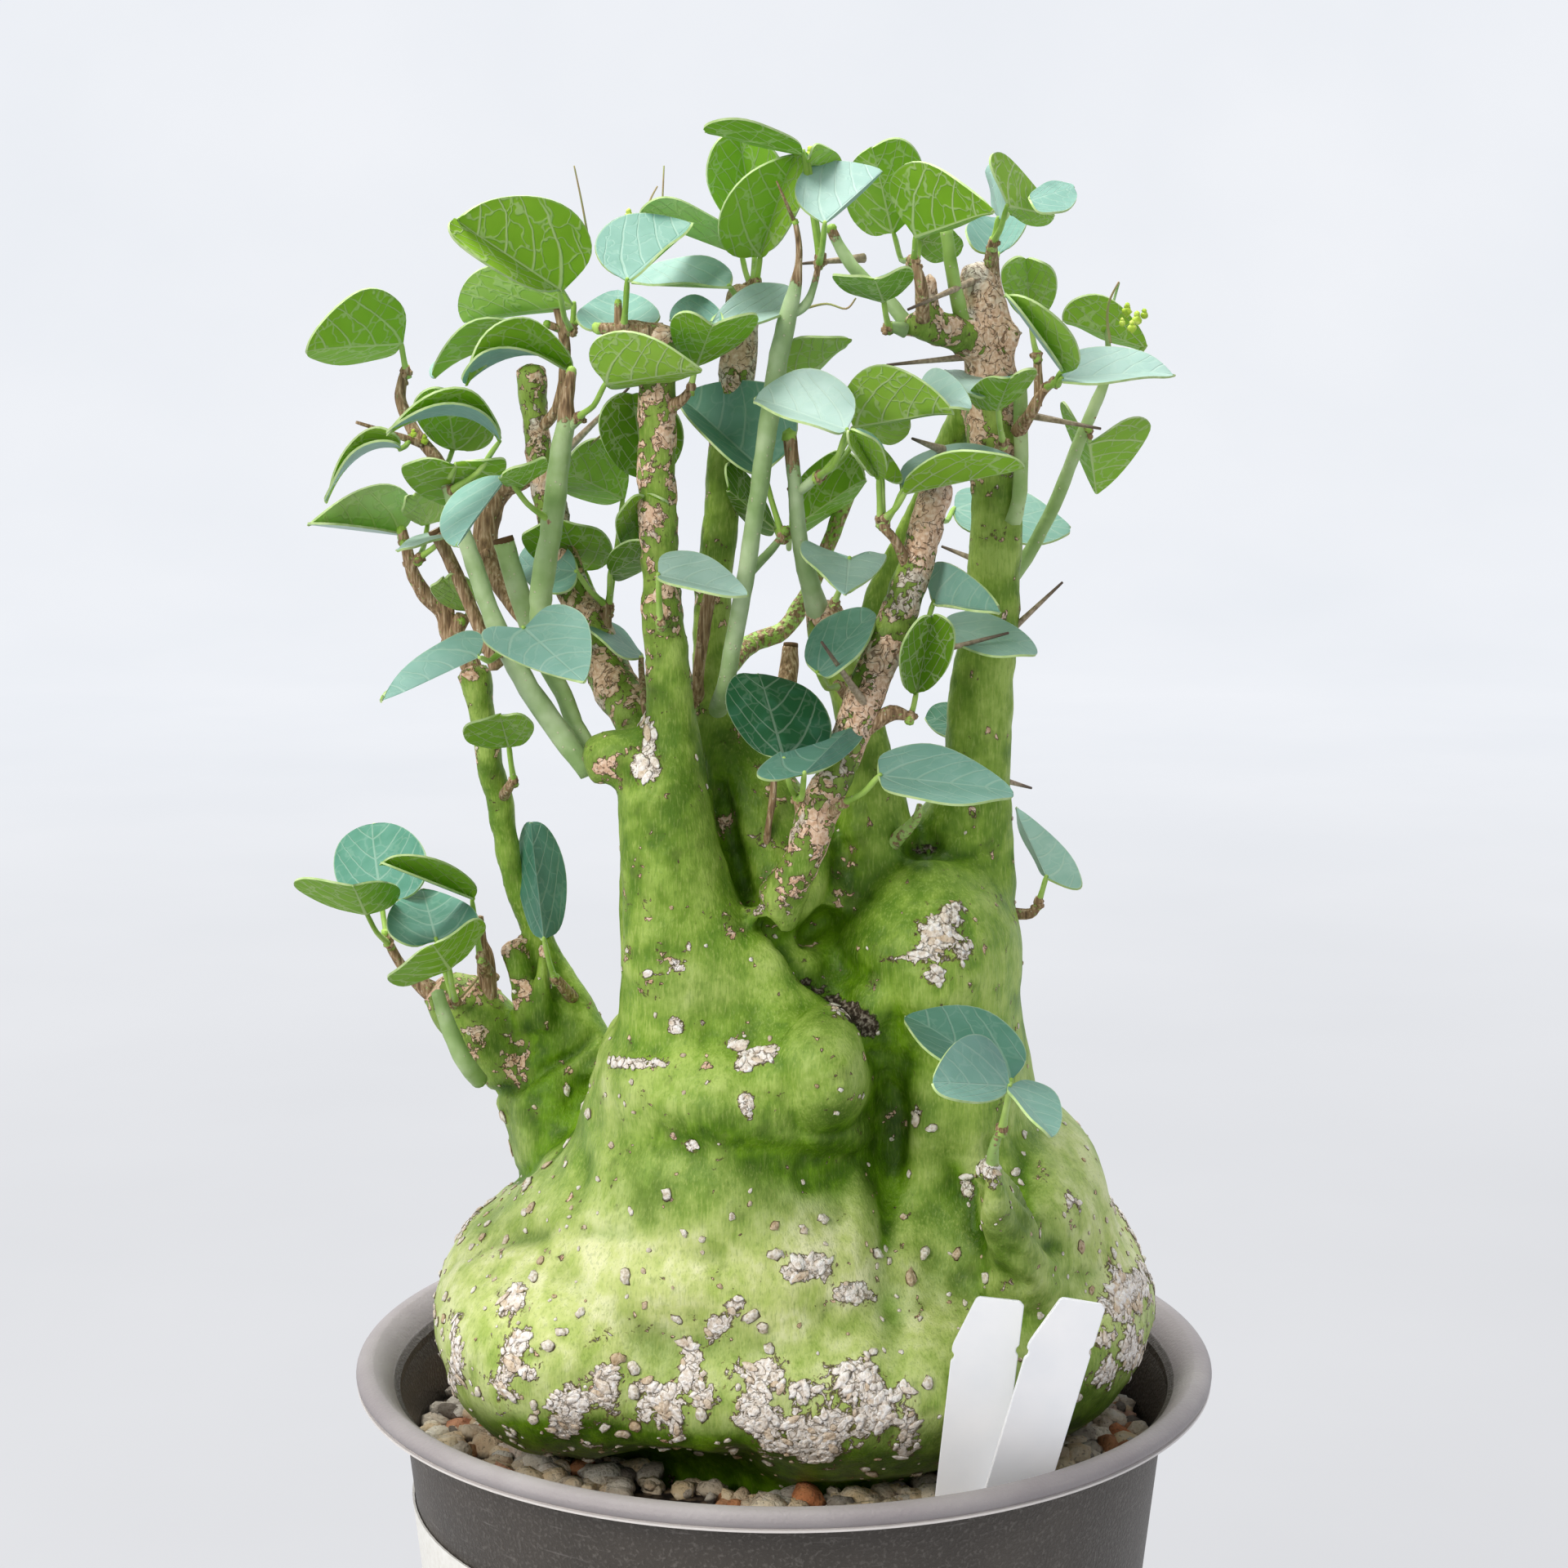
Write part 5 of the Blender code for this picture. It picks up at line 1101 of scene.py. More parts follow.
def hollowness(mesh, rounds):
    """How far each place lies below the smoothed surface around it, in metres."""
    places = mesh_array(mesh, "co")
    links = numpy.empty(len(mesh.edges) * 2, int)
    mesh.edges.foreach_get("vertices", links)
    first, second = links.reshape(-1, 2).T
    number = len(places)
    count = numpy.bincount(first, minlength=number) + numpy.bincount(second, minlength=number)
    soft = places.copy()
    for _ in range(rounds):
        for axis in range(3):
            line = soft[:, axis]
            total = numpy.bincount(first, line[second], number) + numpy.bincount(second, line[first], number)
            soft[:, axis] = 0.5 * line + 0.5 * total / count
    return ((soft - places) * mesh_array(mesh, "normal")).sum(axis=1)


def spots(tree, places, facing, columns, rows, table):
    """Soft bells over pixel ellipses, each (u, v, across, up, amount), on the side that is seen."""
    total = numpy.zeros(len(places))
    for u, v, across, up, amount in table:
        near = near_hit(tree, places, u, v, 3.0 * max(across, up) * pixel_size(seen(u, v, 40)))
        bell = numpy.exp(-1.2 * (((columns - u) / across) ** 2 + ((rows - v) / up) ** 2))
        total += numpy.where(near & facing, bell * amount, 0)
    return total


def wrinkle_depth(tree, places, facing, columns, rows):
    """Depth in metres of the fine wrinkles at each place."""
    total = numpy.zeros(len(places))
    for line, width, depth in WRINKLES:
        middle = line[len(line) // 2]
        near = near_hit(tree, places, *middle, 0.05)
        closest = numpy.full(len(places), 999.0)
        for (u0, v0), (u1, v1) in zip(line, line[1:]):
            du, dv = u1 - u0, v1 - v0
            share = ((columns - u0) * du + (rows - v0) * dv) / (du * du + dv * dv)
            share = numpy.clip(share, 0, 1)
            away = numpy.hypot(columns - u0 - share * du, rows - v0 - share * dv)
            closest = numpy.minimum(closest, away)
        groove = numpy.exp(-((closest / width) ** 2)) * depth * MM
        total = numpy.maximum(total, numpy.where(near & facing, groove, 0))
    return total


def sculpt(body):
    """Creases, folds, bark, cork and soft unevenness, pressed into the surface along its normals."""
    mesh = body.data
    places = mesh_array(mesh, "co")
    normals = mesh_array(mesh, "normal")
    columns, rows = pixel_of(places)
    facing = normals[:, 1] < 0.35
    tree = BVHTree.FromObject(body, bpy.context.evaluated_depsgraph_get())
    push = spots(tree, places, facing, columns, rows, SCULPT.values()) * MM
    push -= wrinkle_depth(tree, places, facing, columns, rows)
    rough = field_noise(places, 46, 3.1)
    middle = field_noise(places, 105, 6.3)
    fine = field_noise(places, 230, 9.7)
    upper = numpy.clip((places[:, 2] - 0.30) / 0.05, 0, 1)
    push += rough * (0.0013 - 0.0008 * upper) + middle * 0.00055 + fine * (0.00016 + 0.00018 * upper) - 0.0003
    bark = bark_share(places, columns, rows) * 1.25 - 0.62 + 0.62 * rough_noise(places, 150, 14.0)
    cork = cork_share(tree, places, normals, columns, rows) * 0.62 + 0.55 * rough_noise(places, 150, 31.0)
    push += eased(bark, -0.03, 0.06) * 0.00035 + eased(cork, 0.0, 0.14) * 0.0005
    moved = places + normals * push[:, None]
    mesh.vertices.foreach_set("co", moved.ravel())
    mesh.update()
    shade_attribute(mesh, "bark", bark)
    shade_attribute(mesh, "cork", cork)
    return cork


def bark_share(places, columns, rows):
    """How much bark there is at each place, from 0 to 1."""
    share = numpy.zeros(len(places))
    for name, marks in BARK.items():
        route = route_of(THICK_TRUNKS[name], 3)
        nearest = numpy.full(len(places), 9.0)
        for (start, radius), (stop, _) in zip(route, route[1:]):
            along = numpy.array(stop - start)
            away = places - numpy.array(start)
            fraction = numpy.clip(away @ along / (along @ along), 0, 1)
            distance = numpy.linalg.norm(away - fraction[:, None] * along, axis=1)
            nearest = numpy.minimum(nearest, distance / radius)
        amount = numpy.interp(rows, [row for row, _ in marks], [value for _, value in marks])
        share = numpy.maximum(share, amount * numpy.clip((1.45 - nearest) / 0.2, 0, 1))
    return share


def cork_share(tree, places, normals, columns, rows):
    """Cork patches: placed ones on the side seen in the photograph, scattered ones elsewhere."""
    share = numpy.full(len(places), -3.0)
    for patches in CORK.values():
        for u, v, across, up in patches:
            near = near_hit(tree, places, u, v, 2.6 * max(across, up) * pixel_size(seen(u, v, 60)))
            bell = soft_ellipse(columns, rows, u, v, across * 1.2, up * 1.2)
            share = numpy.maximum(share, numpy.where(near, bell, -3.0))
    facing = numpy.clip((-normals[:, 1] - 0.05) / 0.25, 0, 1)
    height = places[:, 2]
    band = numpy.exp(-(((height - 0.188) / 0.020) ** 2))
    scattered = 2.4 * (field_noise(places, 62, 21.0) - 0.34 + 0.42 * band) - 3 * facing
    return numpy.clip(numpy.maximum(share, numpy.where(height < 0.25, scattered, -3.0)), -3, 1)


def shade_attribute(mesh, name, values):
    mesh.attributes.new(name, "FLOAT", "POINT").data.foreach_set("value", values)


def caudex_paint():
    """Green skin with fine pale streaks, tan bark plates and pale raised cork; paler skin with painted light, deeper
    green with painted shade, a dark line along a crease and painted shade in the pit.
    """
    paint = Paint("caudex_skin", 0.5, 0.22)
    bark = paint.number("bark")
    cork = paint.number("cork")
    streaks = paint.noise(1.0, 5, paint.stretched(1900, 1900, 330))
    strands = paint.noise(1.0, 4, paint.stretched(620, 620, 120))
    broad = paint.noise(40, 4)
    middle = paint.noise(150, 4)
    fine = paint.noise(520, 4)
    crumbs = paint.noise(900, 5)
    tone = paint.math("ADD", broad, paint.math("MULTIPLY_ADD", middle, 0.9, -0.45))
    tone = paint.math("ADD", tone, paint.math("MULTIPLY_ADD", strands, 0.3, -0.15))
    skin = paint.ramp(tone, (0.30, "628c1e"), (0.50, "88aa38"), (0.70, "a9c25a"))
    # Pale: partly the belly's own pale tone, partly painted light on ridges and bulges.
    pale = paint.ramp(tone, (0.30, "acc062"), (0.50, "cad488"), (0.70, "e3e5b2"))
    skin = paint.mix(paint.number("pale"), skin, pale)
    # Deep green: painted shade in hollows, creases, under overhangs and near the grit, with fewer pale streaks there;
    # also a darker tone up the trunks.
    deep = paint.ramp(tone, (0.3, "345303"), (0.5, "4b7003"), (0.7, "6b9412"))
    skin = paint.mix(paint.number("deep"), skin, deep)
    clear = paint.math("MULTIPLY_ADD", paint.number("deep"), -0.20, 0.30)
    skin = paint.mix(paint.math("MULTIPLY", paint.step(streaks, 0.53, 0.66), clear), skin, "c3d078")
    skin = paint.mix(paint.math("MULTIPLY", paint.step(streaks, 0.46, 0.34), 0.26), skin, "4b741a")
    skin = paint.mix(paint.math("MULTIPLY", paint.step(fine, 0.58, 0.72), 0.22), skin, "4a6c1c")

    ragged = paint.math("MULTIPLY_ADD", paint.noise(460, 5, distortion=0.5), 2.0, -1.0)
    cover = paint.math("ADD", bark, ragged)
    flake = paint.step(cover, -0.02, 0.02)
    edge = paint.math("MULTIPLY", paint.step(cover, -0.10, -0.01), paint.step(cover, 0.08, 0.01))
    winding = paint.math("ABSOLUTE", paint.math("SUBTRACT", paint.noise(300, 4, distortion=0.8), 0.5))
    crack = paint.step(winding, 0.022, 0.006)
    kind = paint.noise(70, 3)
    grey_bark = paint.ramp(crumbs, (0.25, "9c8d7c"), (0.5, "c6baab"), (0.75, "e8e0d4"))
    tan_bark = paint.ramp(crumbs, (0.25, "b58c6e"), (0.5, "dbb99d"), (0.75, "f2dfcd"))
    bark_tone = paint.mix(paint.step(kind, 0.35, 0.46), grey_bark, tan_bark)
    bark_tone = paint.mix(paint.math("MULTIPLY", crack, 0.7), bark_tone, "5e452c")
    under = paint.ramp(middle, (0.35, "56682a"), (0.6, "7f9440"))
    skin = paint.mix(paint.math("MULTIPLY", paint.step(bark, -0.45, -0.05), 0.5), skin, under)
    skin = paint.mix(flake, skin, bark_tone)
    skin = paint.mix(paint.math("MULTIPLY", edge, 0.75), skin, "46331e")

    lace = paint.math("MULTIPLY_ADD", paint.noise(560, 5, distortion=0.7), 1.2, -0.6)
    spread = paint.math("ADD", cork, lace)
    patch = paint.step(spread, 0.03, 0.09)
    rim = paint.math("MULTIPLY", paint.step(spread, -0.06, 0.03), paint.step(spread, 0.17, 0.08))
    split = paint.math("ABSOLUTE", paint.math("SUBTRACT", paint.noise(420, 4, distortion=0.6), 0.5))
    chink = paint.step(split, 0.03, 0.006)
    cork_tone = paint.ramp(crumbs, (0.28, "c6b5a2"), (0.42, "e2d6c8"), (0.55, "f3ebe2"), (0.75, "ffffff"))
    cork_tone = paint.mix(paint.math("MULTIPLY", chink, 0.6), cork_tone, "8b7757")
    skin = paint.mix(patch, skin, cork_tone)
    skin = paint.mix(paint.math("MULTIPLY", rim, 0.75), skin, "66532f")

    # A dark crumbly line along the crease, and painted shade down in the pit.
    crease_and_pit_dark = paint.math("ADD", paint.number("crease_and_pit_dark"), paint.math("MULTIPLY_ADD", fine, 1.2, -0.6))
    crease_and_pit_mask = paint.step(crease_and_pit_dark, 0.35, 0.55)
    skin = paint.mix(crease_and_pit_mask, skin, paint.ramp(crumbs, (0.3, "1c170f"), (0.5, "463c2f"), (0.68, "a39a8a")))
    paint.colour(skin)
    rough = paint.math("MAXIMUM", paint.math("MAXIMUM", patch, flake), crease_and_pit_mask)
    paint.roughness(paint.math("MULTIPLY_ADD", rough, 0.4, 0.46))

    height = paint.math("MULTIPLY_ADD", streaks, 0.16, paint.math("MULTIPLY", fine, 0.22))
    height = paint.math("ADD", height, paint.math("MULTIPLY", middle, 0.45))
    flaking = paint.math("MULTIPLY", flake, paint.math("MULTIPLY_ADD", crack, -0.25, 0.30))
    height = paint.math("ADD", height, flaking)
    crumbly = paint.math("MULTIPLY", patch, paint.math("MULTIPLY_ADD", crumbs, 0.7, 0.30))
    height = paint.math("ADD", height, crumbly)
    height = paint.math("SUBTRACT", height, paint.math("MULTIPLY", paint.math("MULTIPLY", patch, chink), 0.35))
    height = paint.math("ADD", height, paint.math("MULTIPLY", paint.math("MULTIPLY", crease_and_pit_mask, crumbs), 0.8))
    paint.bump(height, 0.0012)
    return paint.material


def cork_paint():
    """Pale crumbling cork, with painted shade darkening the foot of each crumb down in its gaps."""
    paint = Paint("cork_crumbs", 0.9, 0.15)
    crumbs = paint.noise(800, 5)
    face = paint.ramp(crumbs, (0.28, "cebdab"), (0.42, "eadfd3"), (0.55, "faf4ee"), (0.75, "ffffff"))
    tinted = paint.mix(paint.step(paint.number("tone"), 0.5, 1.0), face, "e6d8c4", "MULTIPLY")
    # Painted shade at the foot of each crumb.
    foot = paint.step(paint.number("level"), 0.45, 0.05)
    paint.colour(paint.mix(paint.math("MULTIPLY", foot, 0.7), tinted, "75603f"))
    paint.bump(crumbs, 0.0011)
    return paint.material


def scab_paint():
    """Pale pores, brown where they meet the skin."""
    paint = Paint("cork_scab", 0.85, 0.2)
    crumbs = paint.noise(1100, 5)
    face = paint.ramp(crumbs, (0.28, "b3a58d"), (0.42, "d3c8b6"), (0.55, "e9e3d8"), (0.75, "faf8f3"))
    tinted = paint.mix(paint.step(paint.number("tone"), 0.55, 1.0), face, "dcc8ae", "MULTIPLY")
    foot = paint.step(paint.number("level"), 0.55, 0.12)
    paint.colour(paint.mix(paint.math("MULTIPLY", foot, 0.9), tinted, "51401f"))
    paint.bump(crumbs, 0.0007)
    return paint.material


def dome(pile, ball, faces, spot, normal, size, flatness, lean):
    """A small uneven dome that sits in the surface."""
    side = normal.orthogonal().normalized()
    turn = Matrix.Rotation(RANDOM.uniform(0, 6.3), 3, normal)
    side = turn @ side
    across = normal.cross(side)
    shift = Vector((RANDOM.uniform(0, 50), RANDOM.uniform(0, 50), RANDOM.uniform(0, 50)))
    corners = []
    level = []
    for corner in ball:
        swell = 1 + 0.55 * noise.noise(corner * 1.2 + shift) + 0.25 * noise.noise(corner * 3.1 + shift)
        flat = side * corner.x * size * lean + across * corner.y * size
        flat += normal * (corner.z * size * flatness)
        corners.append(spot + flat * swell)
        level.append(max(0.0, corner.z))
    pile.add(corners, faces, level=level, tone=RANDOM.random())


def make_scabs(places, normals, cork, belly):
    """Pores strewn over the skin, and crumbs of cork heaped on the cork patches."""
    outline = bmesh.new()
    bmesh.ops.create_icosphere(outline, subdivisions=2, radius=1)
    ball = [vert.co.copy() for vert in outline.verts]
    faces = [[vert.index for vert in face.verts] for face in outline.faces]
    outline.free()
    skin = scab_paint()
    crumbs = Pile("level", "tone")
    corked = numpy.nonzero(cork > 0.10)[0].tolist()
    for index in RANDOM.sample(corked, min(len(corked), 2300)):
        size = RANDOM.uniform(0.0006, 0.0014) * (0.7 + 0.6 * min(1.0, float(cork[index])))
        dome(crumbs, ball, faces, Vector(places[index]), Vector(normals[index]), size,
             RANDOM.uniform(0.20, 0.42), RANDOM.uniform(1.1, 2.4))
    crumbs.build("caudex_cork", [cork_paint()])
    pores = Pile("level", "tone")
    chance = 0.0036 + 0.0185 * numpy.clip(belly, 0, 1)
    chance *= (places[:, 2] < 0.44) * (places[:, 2] > GRIT_TOP + 0.002) * (cork < -0.1)
    for index in numpy.nonzero(chance > 0)[0].tolist():
        if RANDOM.random() > chance[index]:
            continue
        size = RANDOM.choice((0.0004, 0.0005, 0.0006, 0.0007, 0.0009, 0.0012, 0.0016))
        if size > 0.0008 and belly[index] < 0.3:
            size = 0.0006
        dome(pores, ball, faces, Vector(places[index]), Vector(normals[index]), size,
             RANDOM.uniform(0.5, 0.8), RANDOM.uniform(1.0, 1.6))
    pores.build("caudex_pores", [skin])


def make_caudex():
    body = grown_body()
    cork = sculpt(body)
    mesh = body.data
    places = mesh_array(mesh, "co")
    normals = mesh_array(mesh, "normal")
    columns, rows = pixel_of(places)
    facing = normals[:, 1] < 0.35
    tree = BVHTree.FromObject(body, bpy.context.evaluated_depsgraph_get())
    height = places[:, 2]
    belly = numpy.clip((0.285 - height) / 0.045, 0, 1) * numpy.clip((height - 0.170) / 0.010, 0, 1)
    behind = numpy.clip((normals[:, 1] + 0.1) / 0.4, 0, 1)
    wander = field_noise(places, 22, 40.0)
    near_hollow = hollowness(mesh, 27) / 0.0009
    wide_hollow = hollowness(mesh, 150) / 0.0040
    # Paler skin: the pale belly and the listed spots, plus painted light on bulges, with less of it in hollows where
    # painted shade falls.
    pale = spots(tree, places, facing, columns, rows, PALE_AND_LIT_SPOTS)
    pale += belly * (0.42 + 0.40 * behind * (1 + wander)) - 0.5 * numpy.clip(wide_hollow, 0, 1)
    pale += 0.20 * numpy.clip(-wide_hollow, 0, 1)
    # Painted shade: deeper green on the listed shaded spots, along the bottom near the grit, in hollows and creases and
    # on faces turned down; also a darker tone up the trunks and in random patches at the back.
    deep = spots(tree, places, facing, columns, rows, PAINTED_SHADE_SPOTS)
    deep += numpy.exp(-(((height - 0.172) / 0.015) ** 2)) * 0.9 + behind * numpy.clip(-wander, 0, 1)
    deep += 0.55 * numpy.clip(wide_hollow, 0, 1.4) + 0.45 * numpy.clip(near_hollow, 0, 1.4)
    deep += 0.30 * eased(-normals[:, 2], 0.0, 0.7) + 0.35 * eased(height, 0.30, 0.36)
    shade_attribute(mesh, "pale", numpy.clip(pale, 0, 1))
    shade_attribute(mesh, "deep", numpy.clip(deep, 0, 1))
    shade_attribute(mesh, "crease_and_pit_dark", spots(tree, places, facing, columns, rows, CREASE_AND_PIT_DARK))
    dress(body, [caudex_paint()], ("caudex",))
    neck = spots(tree, places, facing, columns, rows, ((1000, 1410, 110, 40, 1.0),))
    make_scabs(places, normals, cork, belly * (1 - numpy.clip(neck, 0, 1)))
    return body, tree

# Each spray's stem: blue-green bloom, then how brown it is above a pixel row and below that row
STEM_LOOKS = {
    "spray_blue_left": (1.0, 0.75, 600, 0.0),
    "spray_far_left": (0.1, 0.75, 1920, 0.5),
    "spray_knob": (1.0, 0.8, 575, 0.0),
    "spray_front_shoot": (1.0, 0.9, 345, 0.0),
    "spray_blue_bark": (0.8, 0.9, 515, 0.05),
    "spray_right_shoot": (0.7, 0.2, 420, 0.0),
    "spray_low_right": (0.5, 0.3, 1920, 0.3),
    "spray_arm_tip": (0.9, 0.9, 292, 0.0),
    "spray_trunk_front": (0.3, 0.4, 1920, 0.4),
}
USUAL_LOOKS = (0.35, 0.72, 1920, 0.6)

# Looks of the thin leafless stems, the same way
TWIG_LOOKS = {
    "cut_stub": (0.8, 0.2, 690, 0.0),
    "knobby": (0.2, 0.8, 1920, 0.8),
    "dead_tan": (0.0, 1.0, 1920, 1.0),
    "rear_bow": (0.1, 0.5, 1920, 0.5),
    "tan_stub": (0.0, 1.0, 1920, 1.0),
    "dried": (0.0, 1.0, 1920, 1.0),
    "green_stem": (0.3, 0.1, 600, 0.0),
    "side_stub": (0.6, 0.2, 700, 0.0),
    "low_knobby": (0.1, 0.9, 1920, 0.9),
    "low_glaucous": (0.8, 0.0, 600, 0.0),
    "dead_twig": (0.0, 1.0, 1920, 1.0),
    "short_twig": (0.3, 0.4, 1920, 0.4),
}

# Sawn ends with a ring of brown bark around pale wood
SAWN = ("cut_stub", "side_stub", "dead_tan", "tan_stub")

# Yellow-green buds and unfolding leaves: u, v, radius in pixels and front
BUDS = (
    (770, 265, 7, 18), (783, 268, 5, 20), (992, 190, 8, 8), (1004, 186, 5, 6), (1173, 245, 6, 12), (1181, 252, 4, 14),
    (1380, 382, 8, 10), (1392, 392, 8, 12), (1401, 386, 6, 9), (1386, 402, 7, 13), (1374, 396, 5, 12),
    (1240, 262, 4, 22), (520, 540, 6, 8), (506, 532, 5, 9),
)

# How light each leaf is, in the order of its spray's rows: 0 in deep shade, 1 in full light
LEAF_TONES = {
    "spray_blue_left": (0.5, 0.4, 0.6, 0.45, 0.45, 0.5),
    "spray_far_left": (0.95, 0.8, 0.85, 0.85),
    "spray_left_crown": (0.8, 0.45, 0.6, 0.5),
    "spray_left_inner": (0.15, 0.4, 0.45, 0.5),
    "spray_blue_bark": (0.6, 0.5, 0.5, 0.3),
    "spray_front_crown": (0.38, 0.45),
    "spray_front_fold": (0.35, 0.75, 0.45),
    "spray_trunk_front": (0.7,),
    "spray_trunk_left": (0.4,),
    "spray_trunk_rear": (0.2, 0.45),
    "spray_middle_crown": (0.95, 0.55, 0.5, 0.6),
    "spray_front_shoot": (0.65, 0.3, 0.7, 0.7, 0.3, 0.05, 0.3),
    "spray_knob": (0.78, 0.6, 0.7, 0.75),
    "spray_knob_low": (0.65,),
    "spray_bark_twig": (0.55, 0.5, 0.5, 0.7),
    "spray_arm_tip": (0.2,),
    "spray_arm": (0.45, 0.35, 0.35),
    "spray_right_crown": (0.5, 0.45, 0.6, 0.35),
    "spray_right_twig": (0.6, 0.7, 0.7),
    "spray_right_front": (0.4, 0.75),
    "spray_right_shoot": (0.5, 0.5),
    "spray_rear_right": (0.4,),
    "spray_bark_side": (0.5, 0.6),
    "spray_bark_stub": (0.2,),
    "spray_right_rear_low": (0.05,),
    "spray_inner_fold": (0.3,),
    "spray_front_pair": (0.0, 0.3),
    "spray_bark_front": (0.5,),
    "spray_low_left": (0.22, 0.4, 0.22, 0.4),
    "spray_low_right": (0.25, 0.42, 0.42),
    "spray_low_inner": (0.15,),
    "spray_right_flank": (0.55,),
    "spray_far_left_low": (0.4,),
    "spray_low_knob": (0.6,),
}

# Fine hairs and tendrils: u, v, width in pixels and front
TENDRILS = [
    [(700, 560, 3.5, 10), (728, 540, 3, 14), (760, 515, 2.6, 18), (785, 517, 2, 20)],
    [(985, 378, 3.5, 14), (1012, 372, 3, 18), (1036, 378, 2.6, 20), (1048, 365, 2, 20)],
    [(720, 290, 3, 18), (712, 246, 2.6, 19), (703, 203, 2, 20)],
    [(790, 262, 3, 20), (797, 243, 2.6, 20), (805, 228, 2, 20)],
    [(811, 250, 2.6, 20), (813, 203, 2, 20)],
    [(1360, 420, 4, 10), (1356, 395, 3.4, 10), (1358, 370, 3, 12), (1370, 345, 2.2, 14)],
    [(585, 1197, 4, -12), (574, 1211, 3.2, -8), (560, 1225, 2.4, -6)],
]

# Spines too fine for the CAD model: root and point, each u, v and front
FINE_SPINES = [
    ((1268, 510, 12), (1348, 525, 20)),
    ((1035, 318, 8), (980, 323, 16)),
    ((1138, 545, 42), (1117, 537, 48)),
    ((705, 540, -8), (770, 475, 6)),
]


def stem_paint():
    """Blue-green bloom, green skin or brown wood, with rings, streaks and pale specks."""
    paint = Paint("stem_skin", 0.55, 0.3)
    blue = paint.number("blue")
    wood = paint.number("wood")
    broad = paint.noise(90, 3)
    fine = paint.noise(600, 4)
    streaks = paint.noise(1.0, 3, paint.stretched(1400, 1400, 160))
    green = paint.ramp(broad, (0.3, "7fa53a"), (0.5, "9cc153"), (0.7, "b4d26c"))
    bloom = paint.ramp(broad, (0.3, "7f9c63"), (0.5, "9bb480"), (0.7, "b9cca2"))
    brown = paint.ramp(streaks, (0.3, "66503a"), (0.5, "987c5c"), (0.7, "cab295"))
    veiled = paint.math("ADD", blue, paint.math("MULTIPLY_ADD", broad, 0.4, -0.2), clamp=True)
    skin = paint.mix(veiled, green, bloom)
    patchy = paint.math("ADD", wood, paint.math("MULTIPLY_ADD", paint.noise(700, 4), 1.4, -0.7))
    share = paint.step(patchy, 0.40, 0.60)
    skin = paint.mix(share, skin, brown)
    specks = paint.cells(700)
    speck = paint.math("MULTIPLY", paint.step(specks.outputs["Distance"], 0.26, 0.14),
                       paint.math("LESS_THAN", paint.split(specks.outputs["Color"])[0], 0.3))
    skin = paint.mix(paint.math("MULTIPLY", speck, 0.6), skin, "d6cfb4")
    paint.colour(skin)
    paint.roughness(paint.math("MULTIPLY_ADD", share, 0.3, 0.5))
    height = paint.math("ADD", paint.math("MULTIPLY", fine, 0.3), paint.math("MULTIPLY", speck, 0.25))
    height = paint.math("ADD", height, paint.math("MULTIPLY", paint.math("MULTIPLY", share, streaks), 0.9))
    paint.bump(height, 0.0005)
    return paint.material


def bud_paint():
    paint = Paint("bud", 0.5, 0.3)
    paint.colour(paint.ramp(paint.noise(500, 3), (0.3, "8fae2c"), (0.5, "b5cf45"), (0.7, "d2df74")))
    paint.bump(paint.noise(700, 3), 0.0003)
    return paint.material


def sawn_paint():
    """Sawn wood: brown bark, a pale ring and a darker pith."""
    paint = Paint("sawn_wood", 0.8, 0.2)
    ring = paint.math("ADD", paint.number("ring"), paint.math("MULTIPLY_ADD", paint.noise(900, 3), 0.24, -0.12))
    paint.colour(paint.ramp(ring, (0.0, "8e6f4c"), (0.30, "b79b78"), (0.42, "ece3d2"), (0.68, "e2d5bf"),
                            (0.80, "8a6a48"), (1.0, "5c452e")))
    paint.bump(ring, 0.0003)
    return paint.material


def spine_paint():
    """Hard grey-brown thorn, darker towards its point."""
    paint = Paint("spine", 0.45, 0.4)
    grain = paint.noise(1.0, 3, paint.stretched(900, 900, 900))
    base = paint.ramp(grain, (0.35, "8a7864"), (0.65, "b8a68e"))
    paint.colour(paint.mix(paint.step(paint.number("share"), 0.55, 1.0), base, "56463a"))
    paint.bump(grain, 0.00012)
    return paint.material


def tendril_paint():
    paint = Paint("tendril", 0.5, 0.3)
    paint.colour(paint.ramp(paint.noise(200, 2), (0.3, "8f9a5c"), (0.7, "a98f6c")))
    return paint.material


def vein_mask(paint):
    """Main veins fanned from the base and curved to the tip, and the net between them, each from 0 to 1."""
    across = paint.math("ABSOLUTE", paint.number("leaf_x"))
    along = paint.number("leaf_y")
    bend = paint.math("MULTIPLY_ADD", paint.noise(150, 3), 0.16, -0.08)
    square = paint.math("MULTIPLY", across, across)
    midrib = paint.step(paint.math("SUBTRACT", across, paint.math("MULTIPLY_ADD", along, -0.024, 0.036)), 0.008, -0.012)
    arc = paint.math("MULTIPLY_ADD", square, 0.50, paint.math("MULTIPLY", across, 0.26))
    bent = paint.math("MULTIPLY_ADD", bend, paint.math("MULTIPLY_ADD", across, 0.9, 0.1), along)
    shifted = paint.math("SUBTRACT", bent, arc)
    fork = paint.step(paint.math("ABSOLUTE", paint.math("SUBTRACT", shifted, 0.02)), 0.026, 0.008)
    fork = paint.math("MULTIPLY", fork, paint.step(across, 0.95, 0.75))
    phase = paint.math("PINGPONG", paint.math("MULTIPLY_ADD", shifted, 3.9, 9.92), 0.5)
    side = paint.math("MULTIPLY", paint.step(phase, 0.070, 0.020), paint.step(across, 0.90, 0.66))
    main = paint.math("MAXIMUM", paint.math("MAXIMUM", midrib, fork), side)
    net = paint.cells(140, "DISTANCE_TO_EDGE", paint.warped(170, 0.008))
    return main, paint.step(net.outputs["Distance"], 0.062, 0.016)


